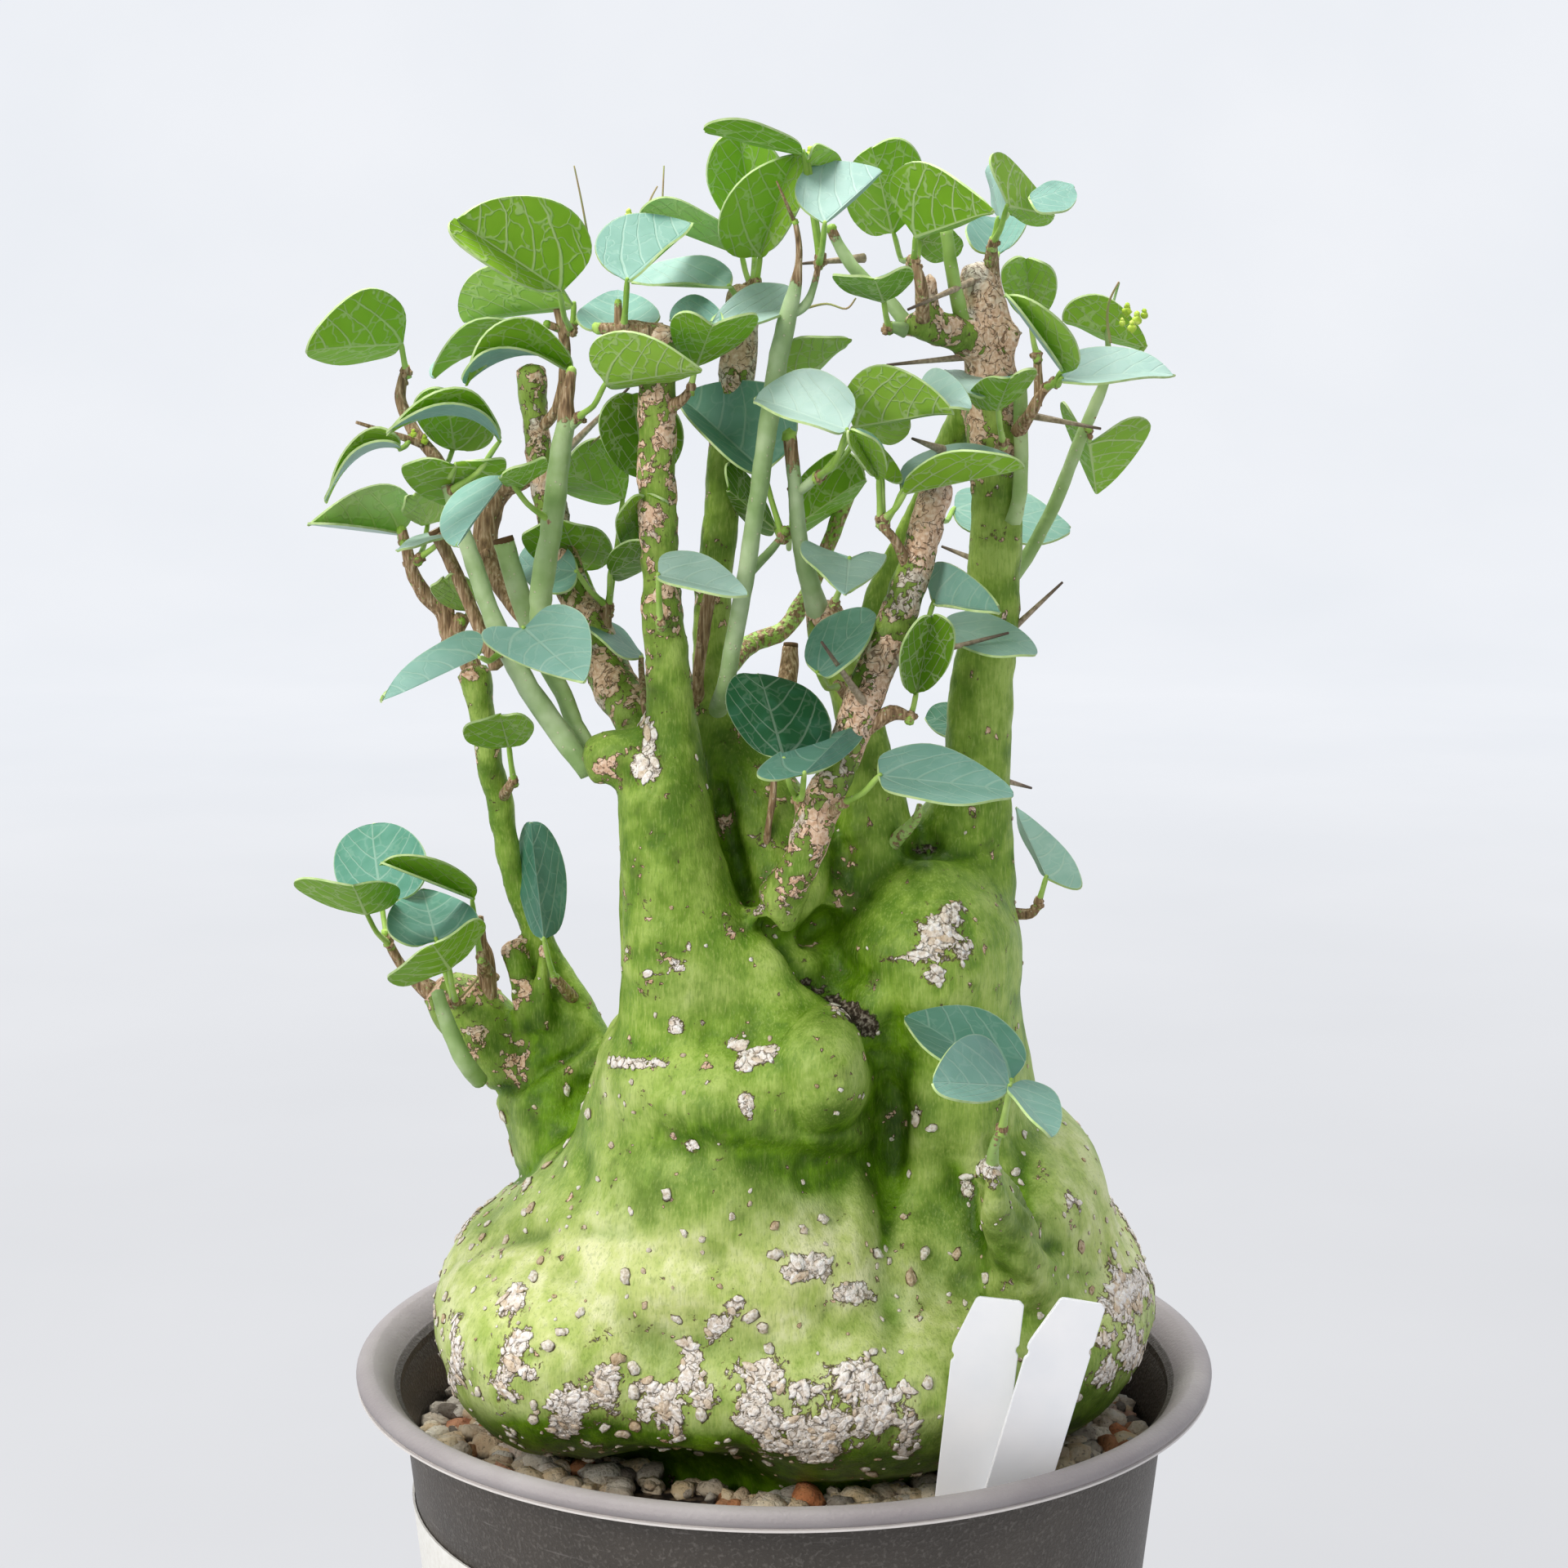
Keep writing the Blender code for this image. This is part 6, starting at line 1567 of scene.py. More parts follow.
def leaf_top_paint():
    """Blue-green, dusty with bloom, with paler veins and rim; dark and clear in the shade."""
    paint = Paint("leaf_top", 0.5, 0.3)
    tone = paint.number("leaf_tone")
    main, net = vein_mask(paint)
    veins = paint.math("MAXIMUM", main, paint.math("MULTIPLY", net, 0.35))
    mottle = paint.noise(160, 4)
    blend = paint.math("MULTIPLY_ADD", mottle, 0.22, paint.math("SUBTRACT", tone, 0.11))
    skin = paint.ramp(blend, (0.0, "184f32"), (0.2, "4c8270"), (0.5, "7ea99e"), (0.8, "b0cac4"), (1.0, "cbdedb"))
    skin = paint.mix(paint.math("MULTIPLY", veins, 0.17), skin, "d6e6d6")
    rim = paint.step(paint.number("leaf_rim"), 0.965, 0.998)
    skin = paint.mix(paint.math("MULTIPLY", rim, 0.38), skin, "cddcb4")
    paint.colour(skin)
    height = paint.math("SUBTRACT", paint.math("MULTIPLY", paint.noise(240, 3), 0.5), veins)
    paint.bump(height, 0.0001)
    paint.glow_through(paint.mix(veins, "8cc63c", "b5d866"), 0.12)
    return paint.material


def leaf_under_paint():
    """Clear yellow-green with a pale net of raised veins; light shines through it."""
    paint = Paint("leaf_under", 0.5, 0.3)
    # leaf_tone is painted light and shade: each leaf's colours are darker for a leaf in shade and lighter for one in
    # full light.
    tone = paint.number("leaf_tone")
    main, net = vein_mask(paint)
    veins = paint.math("MAXIMUM", main, paint.math("MULTIPLY", net, 0.62))
    mottle = paint.noise(160, 4)
    blend = paint.math("MULTIPLY_ADD", mottle, 0.22, paint.math("SUBTRACT", tone, 0.11))
    skin = paint.ramp(blend, (0.0, "5d8a1c"), (0.25, "8aba2c"), (0.5, "aeda42"), (0.8, "cdea78"), (1.0, "e2f3b8"))
    skin = paint.mix(paint.math("MULTIPLY", veins, 0.85), skin, "e9f4c0")
    rim = paint.step(paint.number("leaf_rim"), 0.965, 0.998)
    skin = paint.mix(paint.math("MULTIPLY", rim, 0.5), skin, "dbe6b8")
    paint.colour(skin)
    paint.bump(paint.math("MULTIPLY_ADD", paint.noise(240, 3), 0.3, veins), 0.00032)
    paint.glow_through(paint.mix(veins, "aede20", "e6f5a8"), 0.50)
    return paint.material


def leaf_rim_paint():
    paint = Paint("leaf_rim", 0.55, 0.3)
    paint.colour(paint.ramp(paint.noise(300, 2), (0.3, "9dba72"), (0.7, "bdd098")))
    return paint.material


def blade_edge(angle):
    """Edge of a blade at an angle from the tip: share along the midrib, and share of its half width."""
    ahead = 1 - WIDEST if math.cos(angle) > 0 else WIDEST + LOBE_REACH
    notch = LOBE_REACH * math.exp(-(((math.pi - angle) / 0.5) ** 2))
    return WIDEST + ahead * math.cos(angle) + notch, math.sin(angle)


def rib_share(angle):
    """Where the midrib is met by the rib that runs to the edge at an angle."""
    ahead = 1 - WIDEST if math.cos(angle) > 0 else WIDEST
    return WIDEST + ahead * math.cos(angle)


def blade_sheet(pile, row, tone):
    """One face of a leaf blade: two halves spread from the midrib, cupped, waved and tipped."""
    base, axis, (left, right), bow = leaf_corners(row)
    normal = (axis.cross(left) + right.cross(axis)).normalized()
    cup = RANDOM.uniform(0.2, 1.2)
    tip_turn = RANDOM.uniform(-0.2, 1.0)
    wave = RANDOM.uniform(0.1, 0.5)
    point = RANDOM.uniform(0.10, 0.60)
    phase = RANDOM.uniform(0, 6.3)
    corners = []
    shades = {"leaf_x": [], "leaf_y": [], "leaf_rim": []}

    def place(along, across, reach, angle):
        side = left if across > 0 else right
        spot = base + axis * along + side * abs(across) + bow * 4 * along * (1 - along)
        lift = cup * MM * (across * across - 0.25)
        lift -= tip_turn * MM * max(0, along - 0.7) ** 2 * 16
        lift += wave * MM * reach ** 3 * math.sin(5 * angle + phase + (2 if across > 0 else 0))
        corners.append(spot + normal * lift)
        shades["leaf_x"].append(across)
        shades["leaf_y"].append(along)
        shades["leaf_rim"].append(reach)

    for step in range(BLADE_ANGLES + 1):
        angle = math.pi * (1 - step / BLADE_ANGLES)
        rib = rib_share(angle)
        along, across = blade_edge(angle)
        ahead = max(0, math.cos(angle)) * point
        across = across * (1 - ahead) + (1 - math.cos(angle)) * ahead
        for band in range(-BLADE_BANDS, BLADE_BANDS + 1):
            reach = abs(band) / BLADE_BANDS
            spread = math.copysign(reach * across, band)
            place(rib + (along - rib) * reach, spread, reach, angle)
    width = 2 * BLADE_BANDS + 1
    faces = []
    for step in range(BLADE_ANGLES):
        for band in range(width - 1):
            first = step * width + band
            face = (first, first + width, first + width + 1, first + 1)
            faces.append(face)
    pile.add(corners, faces, leaf_tone=tone, **shades)


def stalk_route(row):
    """A leaf's stalk, bowed a little downwards, thicker where it joins the stem."""
    foot = seen(*row.foot)
    base = seen(*row.base, row.front)
    reach = base - foot
    sag = Vector((0, 0, -0.10 * Vector((reach.x, reach.y, 0)).length))
    bow = foot + reach * 0.55 + sag
    inside = foot - reach.normalized() * 0.002
    beyond = base + reach.normalized() * 0.0006
    knots = [(*inside, 1.2), (*foot.lerp(bow, 0.25), 0.82), (*bow, 0.68), (*bow.lerp(base, 0.7), 0.68),
             (*beyond, 0.45)]
    return [(Vector(spot[:3]), spot[3] * STALK_RADIUS) for spot in smooth_route(knots, 3)]


def knob(pile, middle, radius, blue, wood):
    """A lumpy scar or bud: a small ball, uneven by noise."""
    shape = bmesh.new()
    bmesh.ops.create_icosphere(shape, subdivisions=2, radius=1)
    shift = Vector((RANDOM.uniform(0, 9), RANDOM.uniform(0, 9), RANDOM.uniform(0, 9)))
    corners = []
    for vert in shape.verts:
        swell = 1 + 0.35 * noise.noise(vert.co * 1.7 + shift)
        corners.append(middle + vert.co * radius * swell)
    faces = [[vert.index for vert in face.verts] for face in shape.faces]
    shape.free()
    pile.add(corners, faces, blue=blue, wood=wood)


def brown_along(route, above, row, below):
    """A function from the share of a route to how brown it is there, by its pixel row."""
    rows = pixel_of(numpy.array([tuple(place) for place, radius in route]))[1]

    def brown(share):
        here = rows[round(share * (len(rows) - 1))]
        return float(numpy.interp(here, (row - 14, row + 14), (above, below)))

    return brown


def knotted_stem(pile, knots, looks, lumpiness):
    """A stem with scars along it; gives its route."""
    blue, above, row, below = looks
    route = route_of(knots, 5)
    brown = brown_along(route, above, row, below)
    sweep(pile, route, STEM_SIDES, lumpiness, blue=blue, wood=brown)
    for index in range(3, len(route) - 2, 4):
        place, radius = route[index]
        share = brown(index / (len(route) - 1))
        if radius > 0.0011 and RANDOM.random() < 0.25 + 0.6 * share:
            turn = RANDOM.uniform(0, 2 * math.pi)
            away = Vector((math.cos(turn), math.sin(turn), 0.2)) * radius * 0.75
            knob(pile, place + away, (0.22 + 0.24 * share) * radius + 0.0003, blue, 0.85)
    return route


def make_spray(name, spray, stem_skin, leaf_skins):
    """A leafy shoot: knotted stems with scars and stalks, and blades that differ in tone and curl."""
    looks = STEM_LOOKS.get(name, USUAL_LOOKS)
    stems = Pile("blue", "wood")
    for knots in spray["stems"]:
        tip, radius = knotted_stem(stems, knots, looks, 0.14)[-1]
        if 0.0005 < radius < 0.002:
            knob(stems, tip, max(radius, 0.0008) * 1.1, 0.0, 0.25)
    for row in spray["leaves"]:
        if row.foot:
            sweep(stems, stalk_route(row), STALK_SIDES, 0.05, blue=0.1, wood=lambda share: 0.45 * (share < 0.12))
            foot = seen(*row.foot)
            knob(stems, foot, 1.35 * STALK_RADIUS, 0.2, 0.9)
            for _ in range(2):
                off = Vector((RANDOM.uniform(-1, 1), RANDOM.uniform(-1, 1), RANDOM.uniform(-1.2, 0.4)))
                knob(stems, foot + off * 1.3 * STALK_RADIUS, 0.7 * STALK_RADIUS, 0.2, 0.95)
    stem_piece = stems.build(name + "_stems", [stem_skin], (name,))
    if not spray["leaves"]:
        return [stem_piece]
    leaves = Pile("leaf_x", "leaf_y", "leaf_rim", "leaf_tone")
    for row, tone in zip(spray["leaves"], LEAF_TONES[name]):
        blade_sheet(leaves, row, tone)
    piece = leaves.build(name + "_leaves", leaf_skins, (name,))
    thick = piece.modifiers.new("thick", "SOLIDIFY")
    thick.thickness = BLADE_THICKNESS
    thick.offset = -1
    thick.material_offset = 1
    thick.material_offset_rim = 2
    apply_modifiers(piece)
    weld = bmesh.new()
    weld.from_mesh(piece.data)
    bmesh.ops.dissolve_degenerate(weld, edges=weld.edges, dist=0.000001)
    weld.to_mesh(piece.data)
    weld.free()
    piece.data.shade_smooth()
    piece.data.set_sharp_from_angle(angle=math.radians(50))
    return [stem_piece, piece]


def sawn_end(pile, route):
    """A flat sawn face on the end of a stem: a low round block."""
    place, radius = route[-1]
    ahead = (place - route[-2][0]).normalized()
    side = ahead.orthogonal().normalized()
    cross = ahead.cross(side)
    corners = []
    rings = []
    for height, reach in ((-0.0008, 0.9), (0.0, 1.06), (0.40 * radius + 0.0002, 1.02), (0.46 * radius, 0.72),
                          (0.42 * radius, 0.36)):
        for step in range(18):
            angle = 2 * math.pi * step / 18
            swell = 1 + 0.06 * noise.noise(Vector((math.cos(angle), math.sin(angle), place.x * 900)))
            spoke = side * math.cos(angle) + cross * math.sin(angle)
            corners.append(place + ahead * height + spoke * radius * reach * swell)
            rings.append(min(1.0, reach))
    faces = []
    for band in range(4):
        for step in range(18):
            first = band * 18 + step
            second = band * 18 + (step + 1) % 18
            faces.append((first, second, second + 18, first + 18))
    faces.append(tuple(range(17, -1, -1)))
    corners.append(place + ahead * 0.40 * radius)
    rings.append(0.0)
    faces += [(90, 72 + step, 72 + (step + 1) % 18) for step in range(18)]
    pile.add(corners, faces, ring=rings)


def make_twigs(stem_skin):
    """Leafless stems, spines, tendrils, buds and hairs, which stand on the caudex."""
    twigs = Pile("blue", "wood")
    sawn = Pile("ring")
    for name, knots in THIN_STEMS.items():
        route = knotted_stem(twigs, knots, TWIG_LOOKS[name], 0.16)
        if name in SAWN:
            sawn_end(sawn, route)
    sawn.build("caudex_sawn_ends", [sawn_paint()])
    buds = Pile("blue", "wood")
    for u, v, radius, front in BUDS:
        spot = seen(u, v, front)
        knob(buds, spot, radius * pixel_size(spot) * 0.8, 0.0, 0.0)
        knob(buds, spot + Vector((0, 0, 0.9 * radius * pixel_size(spot))), radius * pixel_size(spot) * 0.5, 0.0, 0.0)
    buds.build("caudex_buds", [bud_paint()])
    twigs.build("caudex_twigs", [stem_skin], ("caudex",))
    spines = Pile("share")
    for root, point in list(SPINES.values()) + FINE_SPINES:
        start = seen(*root)
        end = seen(*point)
        inside = start - (end - start).normalized() * ROOT_DEPTH
        route = []
        for step in range(13):
            share = step / 12
            radius = SPINE_RADIUS * (1.25 - 1.0 * share ** 0.8) + 0.0001
            route.append((inside.lerp(end, share), radius))
        sweep(spines, route, 10, 0.04, share=lambda share: share)
    spines.build("caudex_spines", [spine_paint()], ("caudex",))
    hairs = Pile()
    for knots in TENDRILS:
        sweep(hairs, route_of(knots, 5), 6)
    hairs.build("caudex_tendrils", [tendril_paint()])


def pot_paint():
    """Dark grey moulded plastic, finely grained, with a little dust; the bead is painted lighter as painted light from
    above, with a thin painted highlight under it.
    """
    paint = Paint("pot_wall", 0.5, 0.4)
    dust = paint.noise(30, 4)
    wall = paint.ramp(dust, (0.3, "3d3832"), (0.55, "46403a"), (0.75, "514b44"))
    rim = paint.ramp(dust, (0.3, "8a8385"), (0.55, "969091"), (0.75, "a49fa0"))
    height = paint.nodes.new("ShaderNodeSeparateXYZ")
    paint.put(height.inputs[0], paint.place)
    # The bead on top is painted a lighter grey than the wall: painted light.
    lit_bead = paint.step(height.outputs[2], POT_HEIGHT - RIM_THICKNESS - 0.0006, POT_HEIGHT - RIM_THICKNESS + 0.0004)
    skin = paint.mix(lit_bead, wall, rim)
    from_axis = paint.math("MULTIPLY", height.outputs[0], height.outputs[0])
    from_axis = paint.math("SQRT", paint.math("MULTIPLY_ADD", height.outputs[1], height.outputs[1], from_axis))
    # A thin painted highlight along the flash under the bead.
    painted_flash_highlight = paint.step(height.outputs[2], POT_HEIGHT - RIM_THICKNESS + 0.0013, POT_HEIGHT - RIM_THICKNESS + 0.0009)
    painted_flash_highlight = paint.math("MULTIPLY", painted_flash_highlight, paint.step(from_axis, RIM_RADIUS - 0.0016, RIM_RADIUS - 0.0010))
    skin = paint.mix(paint.math("MULTIPLY", painted_flash_highlight, 0.8), skin, "e6e1dd")
    scuffs = paint.noise(1.0, 4, paint.stretched(60, 60, 900))
    skin = paint.mix(paint.math("MULTIPLY", paint.step(scuffs, 0.62, 0.75), 0.25), skin, "a39d99")
    grain = paint.noise(1000, 4, distortion=0.4)
    speckled = paint.math("MULTIPLY", paint.step(grain, 0.50, 0.72), paint.math("MULTIPLY_ADD", lit_bead, -0.1, 0.18))
    skin = paint.mix(speckled, skin, "a8a29b")
    paint.colour(skin)
    paint.roughness(paint.math("MULTIPLY_ADD", dust, 0.25, 0.36))
    relief = paint.math("MULTIPLY", grain, paint.math("MULTIPLY_ADD", lit_bead, -0.7, 1.0))
    paint.bump(paint.math("MULTIPLY_ADD", paint.noise(500, 2), 0.15, relief), 0.0005)
    return paint.material


def make_pot():
    """The pot turned finely, with a rounded bead for its rim and a plain floor."""
    rim_middle = 0.5 * (RIM_RADIUS + RIM_INNER_RADIUS)
    rim_reach = 0.5 * (RIM_RADIUS - RIM_INNER_RADIUS)
    lip_low = POT_HEIGHT - RIM_THICKNESS
    profile = []
    for step in range(13):
        angle = math.radians(110 - 10 * step)
        radius = rim_middle + rim_reach * math.cos(angle)
        profile.append((radius, lip_low + 0.5 * RIM_THICKNESS * (1 + math.sin(angle))))
    profile += [(RIM_RADIUS - 0.0003, lip_low + 0.0019), (RIM_RADIUS - 0.0009, lip_low + 0.0012),
                (RIM_RADIUS - 0.0010, lip_low + 0.0010), (RIM_RADIUS - 0.0003, lip_low + 0.0009),
                (RIM_RADIUS - 0.0002, lip_low + 0.0004), (RIM_RADIUS - 0.0008, lip_low + 0.0001)]
    profile += [(WALL_TOP_RADIUS + 0.0022, lip_low - 0.0002), (WALL_TOP_RADIUS + 0.0004, lip_low - 0.0016),
                (WALL_TOP_RADIUS, lip_low - 0.004), (BASE_RADIUS + 0.002, 0.002),
                (BASE_RADIUS + 0.0012, 0.0006), (BASE_RADIUS, 0.0), (0.066, 0.0)]
    floor_top = BASE_THICKNESS
    inner = WALL_TOP_RADIUS - WALL_THICKNESS
    inside = [(0.052, floor_top), (BASE_RADIUS - WALL_THICKNESS, floor_top), (inner - 0.0006, lip_low - 0.016),
              (inner + 0.0001, lip_low - 0.010), (inner + 0.0012, lip_low - 0.006), (inner + 0.0028, lip_low - 0.0025),
              (inner + 0.0048, lip_low + 0.0007), (RIM_INNER_RADIUS - 0.0004, lip_low + 0.0030)]
    mesh = bpy.data.meshes.new("pot_shell")
    low_floor = [(0.050, 0.0), (0.0, 0.0), (0.0, floor_top)]
    corners = [(radius, 0, height) for radius, height in profile + low_floor + inside]
    edges = [(first, first + 1) for first in range(len(corners) - 1)]
    edges.append((len(corners) - 1, 0))
    mesh.from_pydata(corners, edges, [])
    pot = bpy.data.objects.new("pot_shell", mesh)
    bpy.context.scene.collection.objects.link(pot)
    turn = pot.modifiers.new("turn", "SCREW")
    turn.steps = POT_STEPS
    turn.render_steps = POT_STEPS
    turn.use_merge_vertices = True
    turn.merge_threshold = 0.00001
    apply_modifiers(pot)
    shape = bmesh.new()
    shape.from_mesh(pot.data)
    bmesh.ops.remove_doubles(shape, verts=shape.verts, dist=0.00001)
    bmesh.ops.dissolve_degenerate(shape, edges=shape.edges, dist=0.00001)
    bmesh.ops.recalc_face_normals(shape, faces=shape.faces)
    shape.to_mesh(pot.data)
    shape.free()
    dress(pot, [pot_paint()], ("pot",))
    pot.data.set_sharp_from_angle(angle=math.radians(35))
    return pot


def grit_paint():
    """Pumice, lava and gravel: each stone has its own colour, with pores and dust, and painted shade on its lower side.
    """
    paint = Paint("grit_stone", 0.9, 0.25)
    tone = paint.number("tone")
    pores = paint.noise(900, 5)
    stone = paint.ramp(tone, (0.0, "77716a"), (0.14, "bfbbb4"), (0.30, "dfceb6"), (0.46, "ead7ba"),
                       (0.62, "cfbda6"), (0.76, "f6ecda"), (0.88, "c6c5c1"), (0.94, "cf8a5e"), (1.0, "a98567"))
    stain = paint.ramp(paint.noise(260, 4), (0.3, "867663"), (0.5, "b8ae9e"), (0.7, "e2ddd4"))
    skin = paint.mix(0.45, stone, stain, "OVERLAY")
    pits = paint.step(pores, 0.42, 0.34)
    skin = paint.mix(paint.math("MULTIPLY", pits, 0.5), skin, "5a4c3c")
    # Painted shade: the lower side of each stone darkened, for the dark gaps between stones.
    painted_gap_shade = paint.step(paint.number("level"), 0.25, -0.35)
    paint.colour(paint.mix(paint.math("MULTIPLY", painted_gap_shade, 0.85), skin, "2e261e"))
    paint.bump(paint.math("MULTIPLY_ADD", paint.noise(350, 3), 0.8, pores), 0.0009)
    return paint.material


def bed_paint():
    """Dark grit between the stones, darker where its grains meet."""
    paint = Paint("grit_bed", 0.95, 0.15)
    grains = paint.cells(260)
    skin = paint.mix(paint.split(grains.outputs["Color"])[0], "4a4038", "7d6b55")
    paint.colour(paint.mix(paint.step(grains.outputs["Distance"], 0.3, 0.6), skin, "2a2420"))
    paint.bump(paint.math("SUBTRACT", 1.0, grains.outputs["Distance"]), 0.0012)
    return paint.material


def make_pebbles(caudex_tree, keep_off):
    """Stones strewn over the grit between the caudex and the rim, clear of the caudex and the labels."""
    pebbles = Pile("tone", "level")
    outline = bmesh.new()
    bmesh.ops.create_icosphere(outline, subdivisions=2, radius=1)
    ball = [vert.co.copy() for vert in outline.verts]
    faces = [[vert.index for vert in face.verts] for face in outline.faces]
    outline.free()
    for attempt in range(1900):
        turn = RANDOM.uniform(0, 2 * math.pi)
        size = RANDOM.choice((0.0020, 0.0026, 0.0031, 0.0036, 0.0042, 0.0052))
        reach = math.sqrt(RANDOM.uniform(0.048 ** 2, (0.1044 - size) ** 2))
        level = GRIT_TOP + RANDOM.uniform(-0.0008, 0.0022)
        spot = Vector((reach * math.cos(turn), reach * math.sin(turn), level))
        near, _, _, distance = caudex_tree.find_nearest(spot)
        inside = caudex_tree.ray_cast(spot, Vector((0, 0, 1)))[0] is not None and distance > 0.004
        crowded = any((spot - place).length < size + gap for place, gap in keep_off)
        if distance < 0.6 * size or crowded or len(pebbles.corners) > 1750 * len(ball):
            continue
        hidden = inside and reach < 0.075 and distance > 0.012
        if hidden:
            continue
        spin = Matrix.Rotation(RANDOM.uniform(0, 6.3), 3, "Z") @ Matrix.Rotation(RANDOM.uniform(-0.5, 0.5), 3, "X")
        stretch = Vector((RANDOM.uniform(0.85, 1.25), RANDOM.uniform(0.75, 1.05), RANDOM.uniform(0.6, 0.9)))
        shift = Vector((RANDOM.uniform(0, 50), RANDOM.uniform(0, 50), RANDOM.uniform(0, 50)))
        corners = []
        for corner in ball:
            swell = 1 + 0.42 * noise.noise(corner * 1.1 + shift) + 0.16 * noise.noise(corner * 2.6 + shift)
            flat = Vector((corner.x * stretch.x, corner.y * stretch.y, corner.z * stretch.z))
            corners.append(spot + spin @ flat * size * swell)
        pebbles.add(corners, faces, tone=RANDOM.random(), level=[corner.z for corner in ball])
    return pebbles.build("grit_stones", [grit_paint()])


def label_paint():
    paint = Paint("label_white", 0.35, 0.5)
    paint.colour(paint.ramp(paint.noise(60, 3), (0.3, "f3f5f9"), (0.7, "fdfdff")))
    paint.bump(paint.noise(400, 2), 0.00005)
    return paint.material


def make_label(name, foot, head, shoulder_turn, skin):
    """A blank plant label: a thin plate with rounded corners, a cut shoulder and two small notches."""
    low = seen(*foot)
    high = seen(*head)
    rise = high - low
    length = rise.length
    up = rise.normalized()
    across = Vector((1, 0, 0)) - up * up.x
    across.normalize()
    across = (across + Vector((0, shoulder_turn, 0))).normalized()
    outward = across.cross(up).normalized()
    half = LABEL_WIDTH / 2
    outline = [(-0.2 * half, -LABEL_BURIED), (0.2 * half, -LABEL_BURIED), (half, -0.010),
               (half, length - 0.0150), (0.92 * half, length - 0.0142), (0.92 * half, length - 0.0130),
               (half, length - 0.0122), (half, length - 0.0012), (0.86 * half, length),
               (-0.36 * half, length), (-0.46 * half, length - 0.0006),
               (-0.97 * half, length - LABEL_SHOULDER - 0.0012), (-half, length - LABEL_SHOULDER - 0.0024),
               (-half, length - 0.0158), (-0.92 * half, length - 0.0164), (-0.92 * half, length - 0.0176),
               (-half, length - 0.0184), (-half, -0.010)]
    shape = bmesh.new()
    front = []
    back = []
    for x, z in outline:
        place = low + across * x + up * z
        front.append(shape.verts.new(place + outward * LABEL_THICKNESS / 2))
        back.append(shape.verts.new(place - outward * LABEL_THICKNESS / 2))
    shape.faces.new(front)
    shape.faces.new(back[::-1])
    for index in range(len(outline)):
        after = (index + 1) % len(outline)
        shape.faces.new((front[index], back[index], back[after], front[after]))
    bmesh.ops.recalc_face_normals(shape, faces=shape.faces)
    bmesh.ops.bevel(shape, geom=shape.edges, offset=0.00018, segments=2, affect="EDGES")
    bmesh.ops.triangulate(shape, faces=[face for face in shape.faces if len(face.verts) > 4])
    mesh = bpy.data.meshes.new(name + "_plate")
    shape.to_mesh(mesh)
    shape.free()
    plate = dress(bpy.data.objects.new(mesh.name, mesh), [skin], (name,))
    mesh.set_sharp_from_angle(angle=math.radians(30))
    return plate


def sticker_paint():
    paint = Paint("sticker_blank", 0.6, 0.3)
    paint.colour(paint.ramp(paint.noise(500, 4), (0.3, "e6e4dd"), (0.7, "f4f3ee")))
    paint.bump(paint.noise(900, 3), 0.00006)
    return paint.material


def repaint(node, skin):
    """Give a CAD node that is carried over its procedural material."""
    piece = frame["nodes"][node]
    piece.data.materials.clear()
    piece.data.materials.append(skin)
    return piece


def make_cove():
    """One seamless pale sweep, floor into backdrop."""
    paint = Paint("cove", 0.95, 0.0)
    cloudy = paint.noise(2.2, 5)
    paint.colour(paint.ramp(cloudy, (0.30, "56585c"), (0.70, "5a5c60")))
    distance = paint.nodes.new("ShaderNodeSeparateXYZ")
    paint.put(distance.inputs[0], paint.place)
    near = paint.ramp(cloudy, (0.30, "c6c6c8"), (0.70, "cbcbcd"))
    far = paint.ramp(cloudy, (0.30, "e1e4e9"), (0.70, "e6e8ec"))
    paint.put(paint.shader.inputs["Emission Color"], paint.mix(paint.step(distance.outputs[1], 0.1, 2.6), near, far))
    paint.shader.inputs["Emission Strength"].default_value = 1.0
    outline = [(-2.2, 0.0), (2.6, 0.0)]
    for step in range(1, 17):
        angle = math.radians(90 * step / 16)
        outline.append((2.6 + 1.1 * math.sin(angle), 1.1 * (1 - math.cos(angle))))
    outline.append((3.7, 4.5))
    corners = []
    for y, z in outline:
        corners += [(-5.0, y, z), (5.0, y, z)]
    faces = [(2 * i, 2 * i + 1, 2 * i + 3, 2 * i + 2) for i in range(len(outline) - 1)]
    mesh = bpy.data.meshes.new("cove")
    mesh.from_pydata(corners, [], faces)
    mesh.materials.append(paint.material)
    mesh.shade_smooth()
    cove = bpy.data.objects.new("cove", mesh)
    bpy.context.scene.collection.objects.link(cove)
    return cove


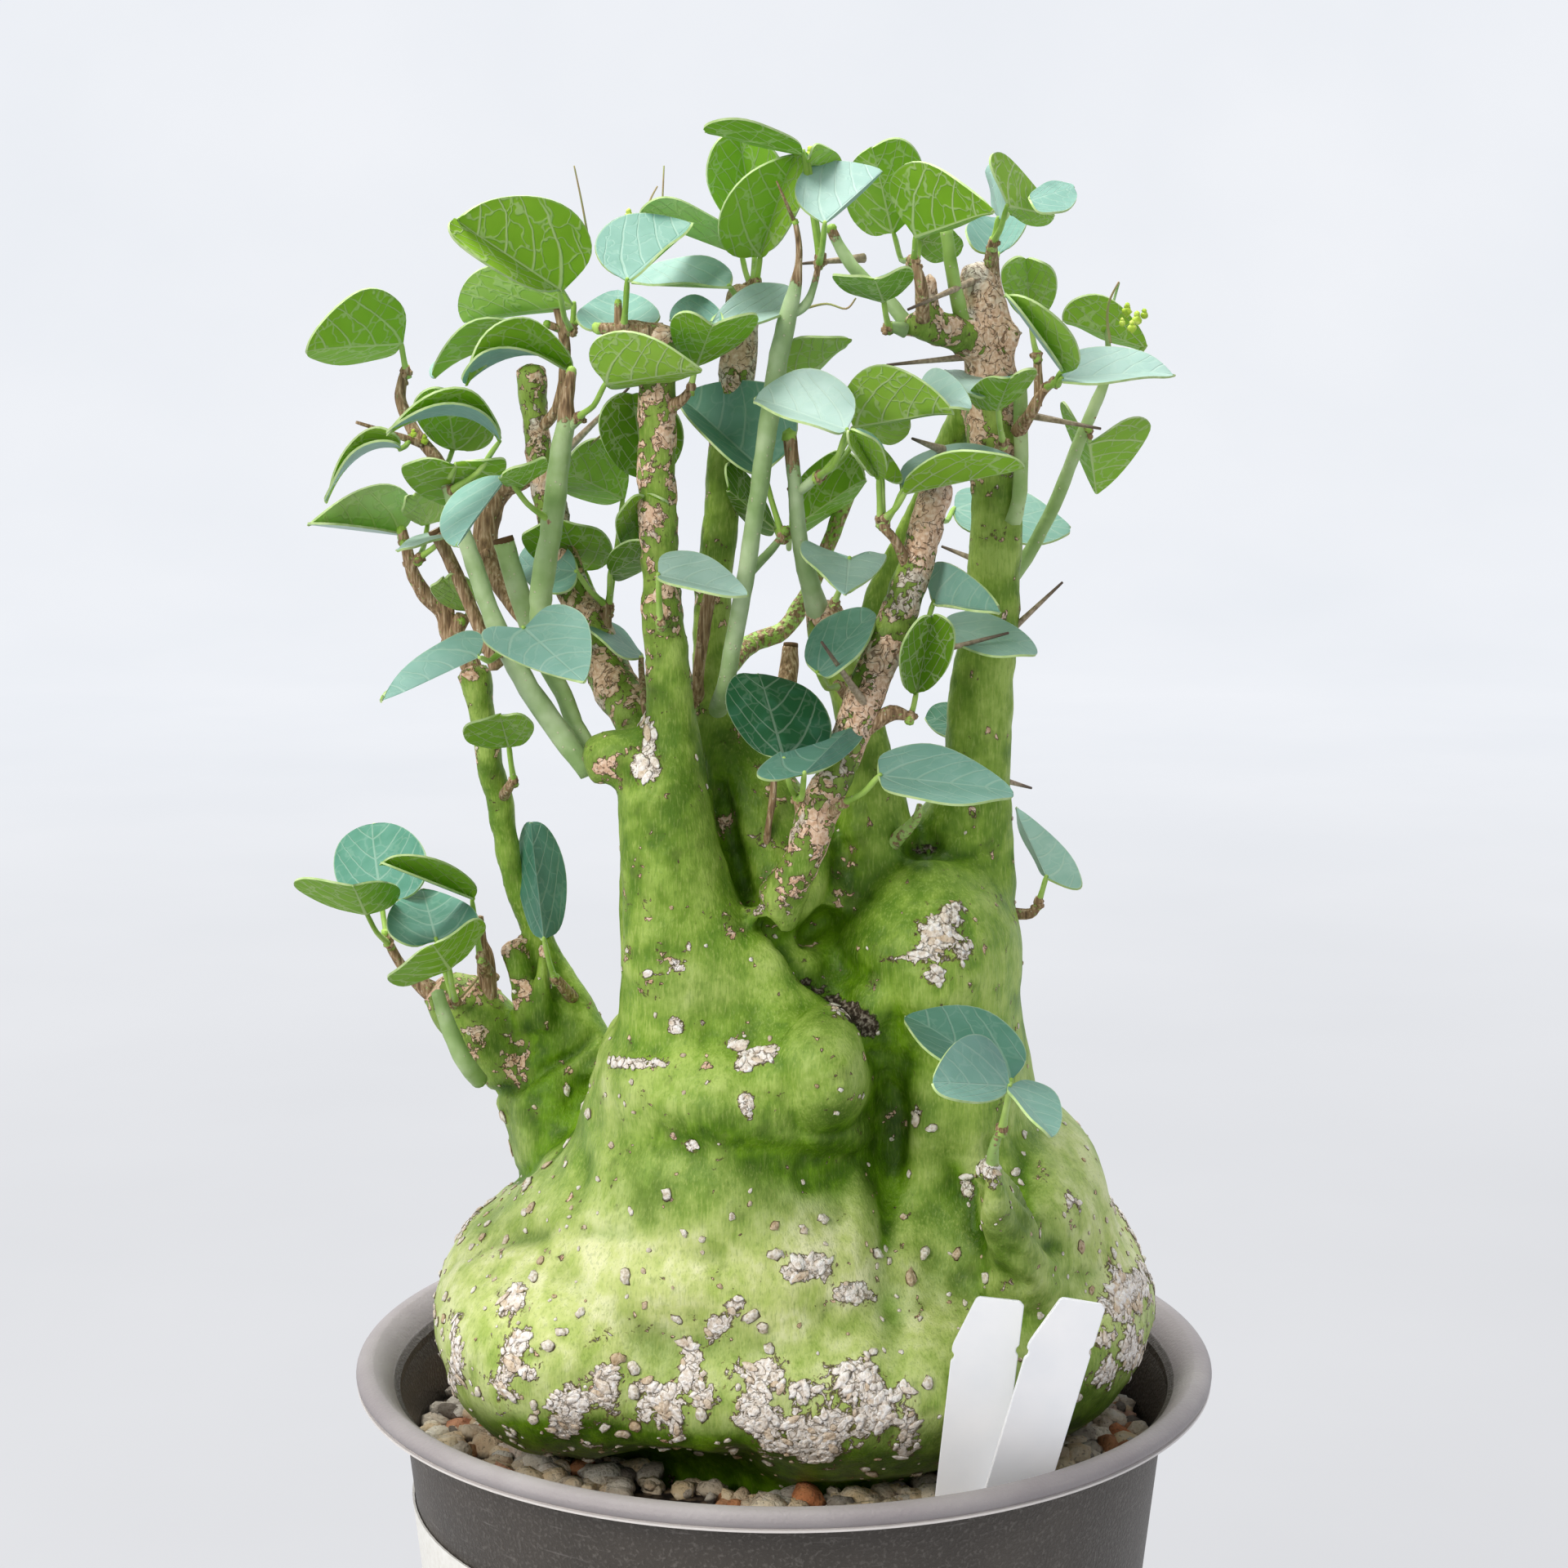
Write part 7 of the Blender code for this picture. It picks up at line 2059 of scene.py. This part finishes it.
def add_light(name, place, aim, size, power, tint):
    lamp = bpy.data.lights.new(name, "AREA")
    lamp.shape = "DISK"
    lamp.size = size
    lamp.energy = power
    lamp.color = srgb(tint)[:3]
    light = bpy.data.objects.new(name, lamp)
    light.location = place
    light.rotation_euler = (Vector(aim) - Vector(place)).to_track_quat("-Z", "Y").to_euler()
    bpy.context.scene.collection.objects.link(light)
    return light


def light_studio():
    """Even pale surroundings, with a broad soft light from above and a little from the front left."""
    world = bpy.data.worlds.new("studio")
    world.use_nodes = True
    around = world.node_tree.nodes["Background"]
    around.inputs["Color"].default_value = srgb("f4f7fc")
    around.inputs["Strength"].default_value = 0.68
    bpy.context.scene.world = world
    add_light("above", (-0.25, 0.25, 1.9), (0, 0, 0.35), 0.9, 36, "fffdf8")
    add_light("front_left", (-1.2, -1.3, 1.25), (0, 0, 0.28), 0.9, 22, "fffaf2")


def add_camera():
    """A long lens at the height and pitch of the photograph."""
    lens = bpy.data.cameras.new("camera")
    lens.sensor_width = 36
    lens.lens = 36 * VIEW_FOCAL / 1920
    lens.sensor_fit = "HORIZONTAL"
    lens.clip_end = 20
    camera = bpy.data.objects.new("camera", lens)
    camera.location = VIEWER
    camera.rotation_euler = (math.radians(90) - VIEW_PITCH, 0, 0)
    bpy.context.scene.collection.objects.link(camera)
    bpy.context.scene.camera = camera


caudex, caudex_tree = make_caudex()
stem_skin = stem_paint()
leaf_skins = [leaf_top_paint(), leaf_under_paint(), leaf_rim_paint()]
make_twigs(stem_skin)
for spray_name, spray in SPRAYS.items():
    make_spray(spray_name, spray, stem_skin, leaf_skins)
make_pot()
repaint("grit", bed_paint())
label_skin = label_paint()
LABELS = {
    "label_left": ((1183, 1850, 75), (1214, 1589, 80), -0.06),
    "label_right": ((1240, 1840, 79.2), (1316, 1591, 88.5), 0.16),
}
keep_off = []
for label_name, (foot, head, turn) in LABELS.items():
    make_label(label_name, foot, head, turn, label_skin)
    for share in (-0.4, -0.2, 0.0, 0.2, 0.4):
        spot = seen(*foot)
        keep_off.append((Vector((spot.x + share * LABEL_WIDTH, spot.y, GRIT_TOP)), 0.0012))
make_pebbles(caudex_tree, keep_off)
repaint("pot_sticker", sticker_paint())
make_cove()
light_studio()
add_camera()
bpy.context.scene.view_settings.view_transform = "Standard"
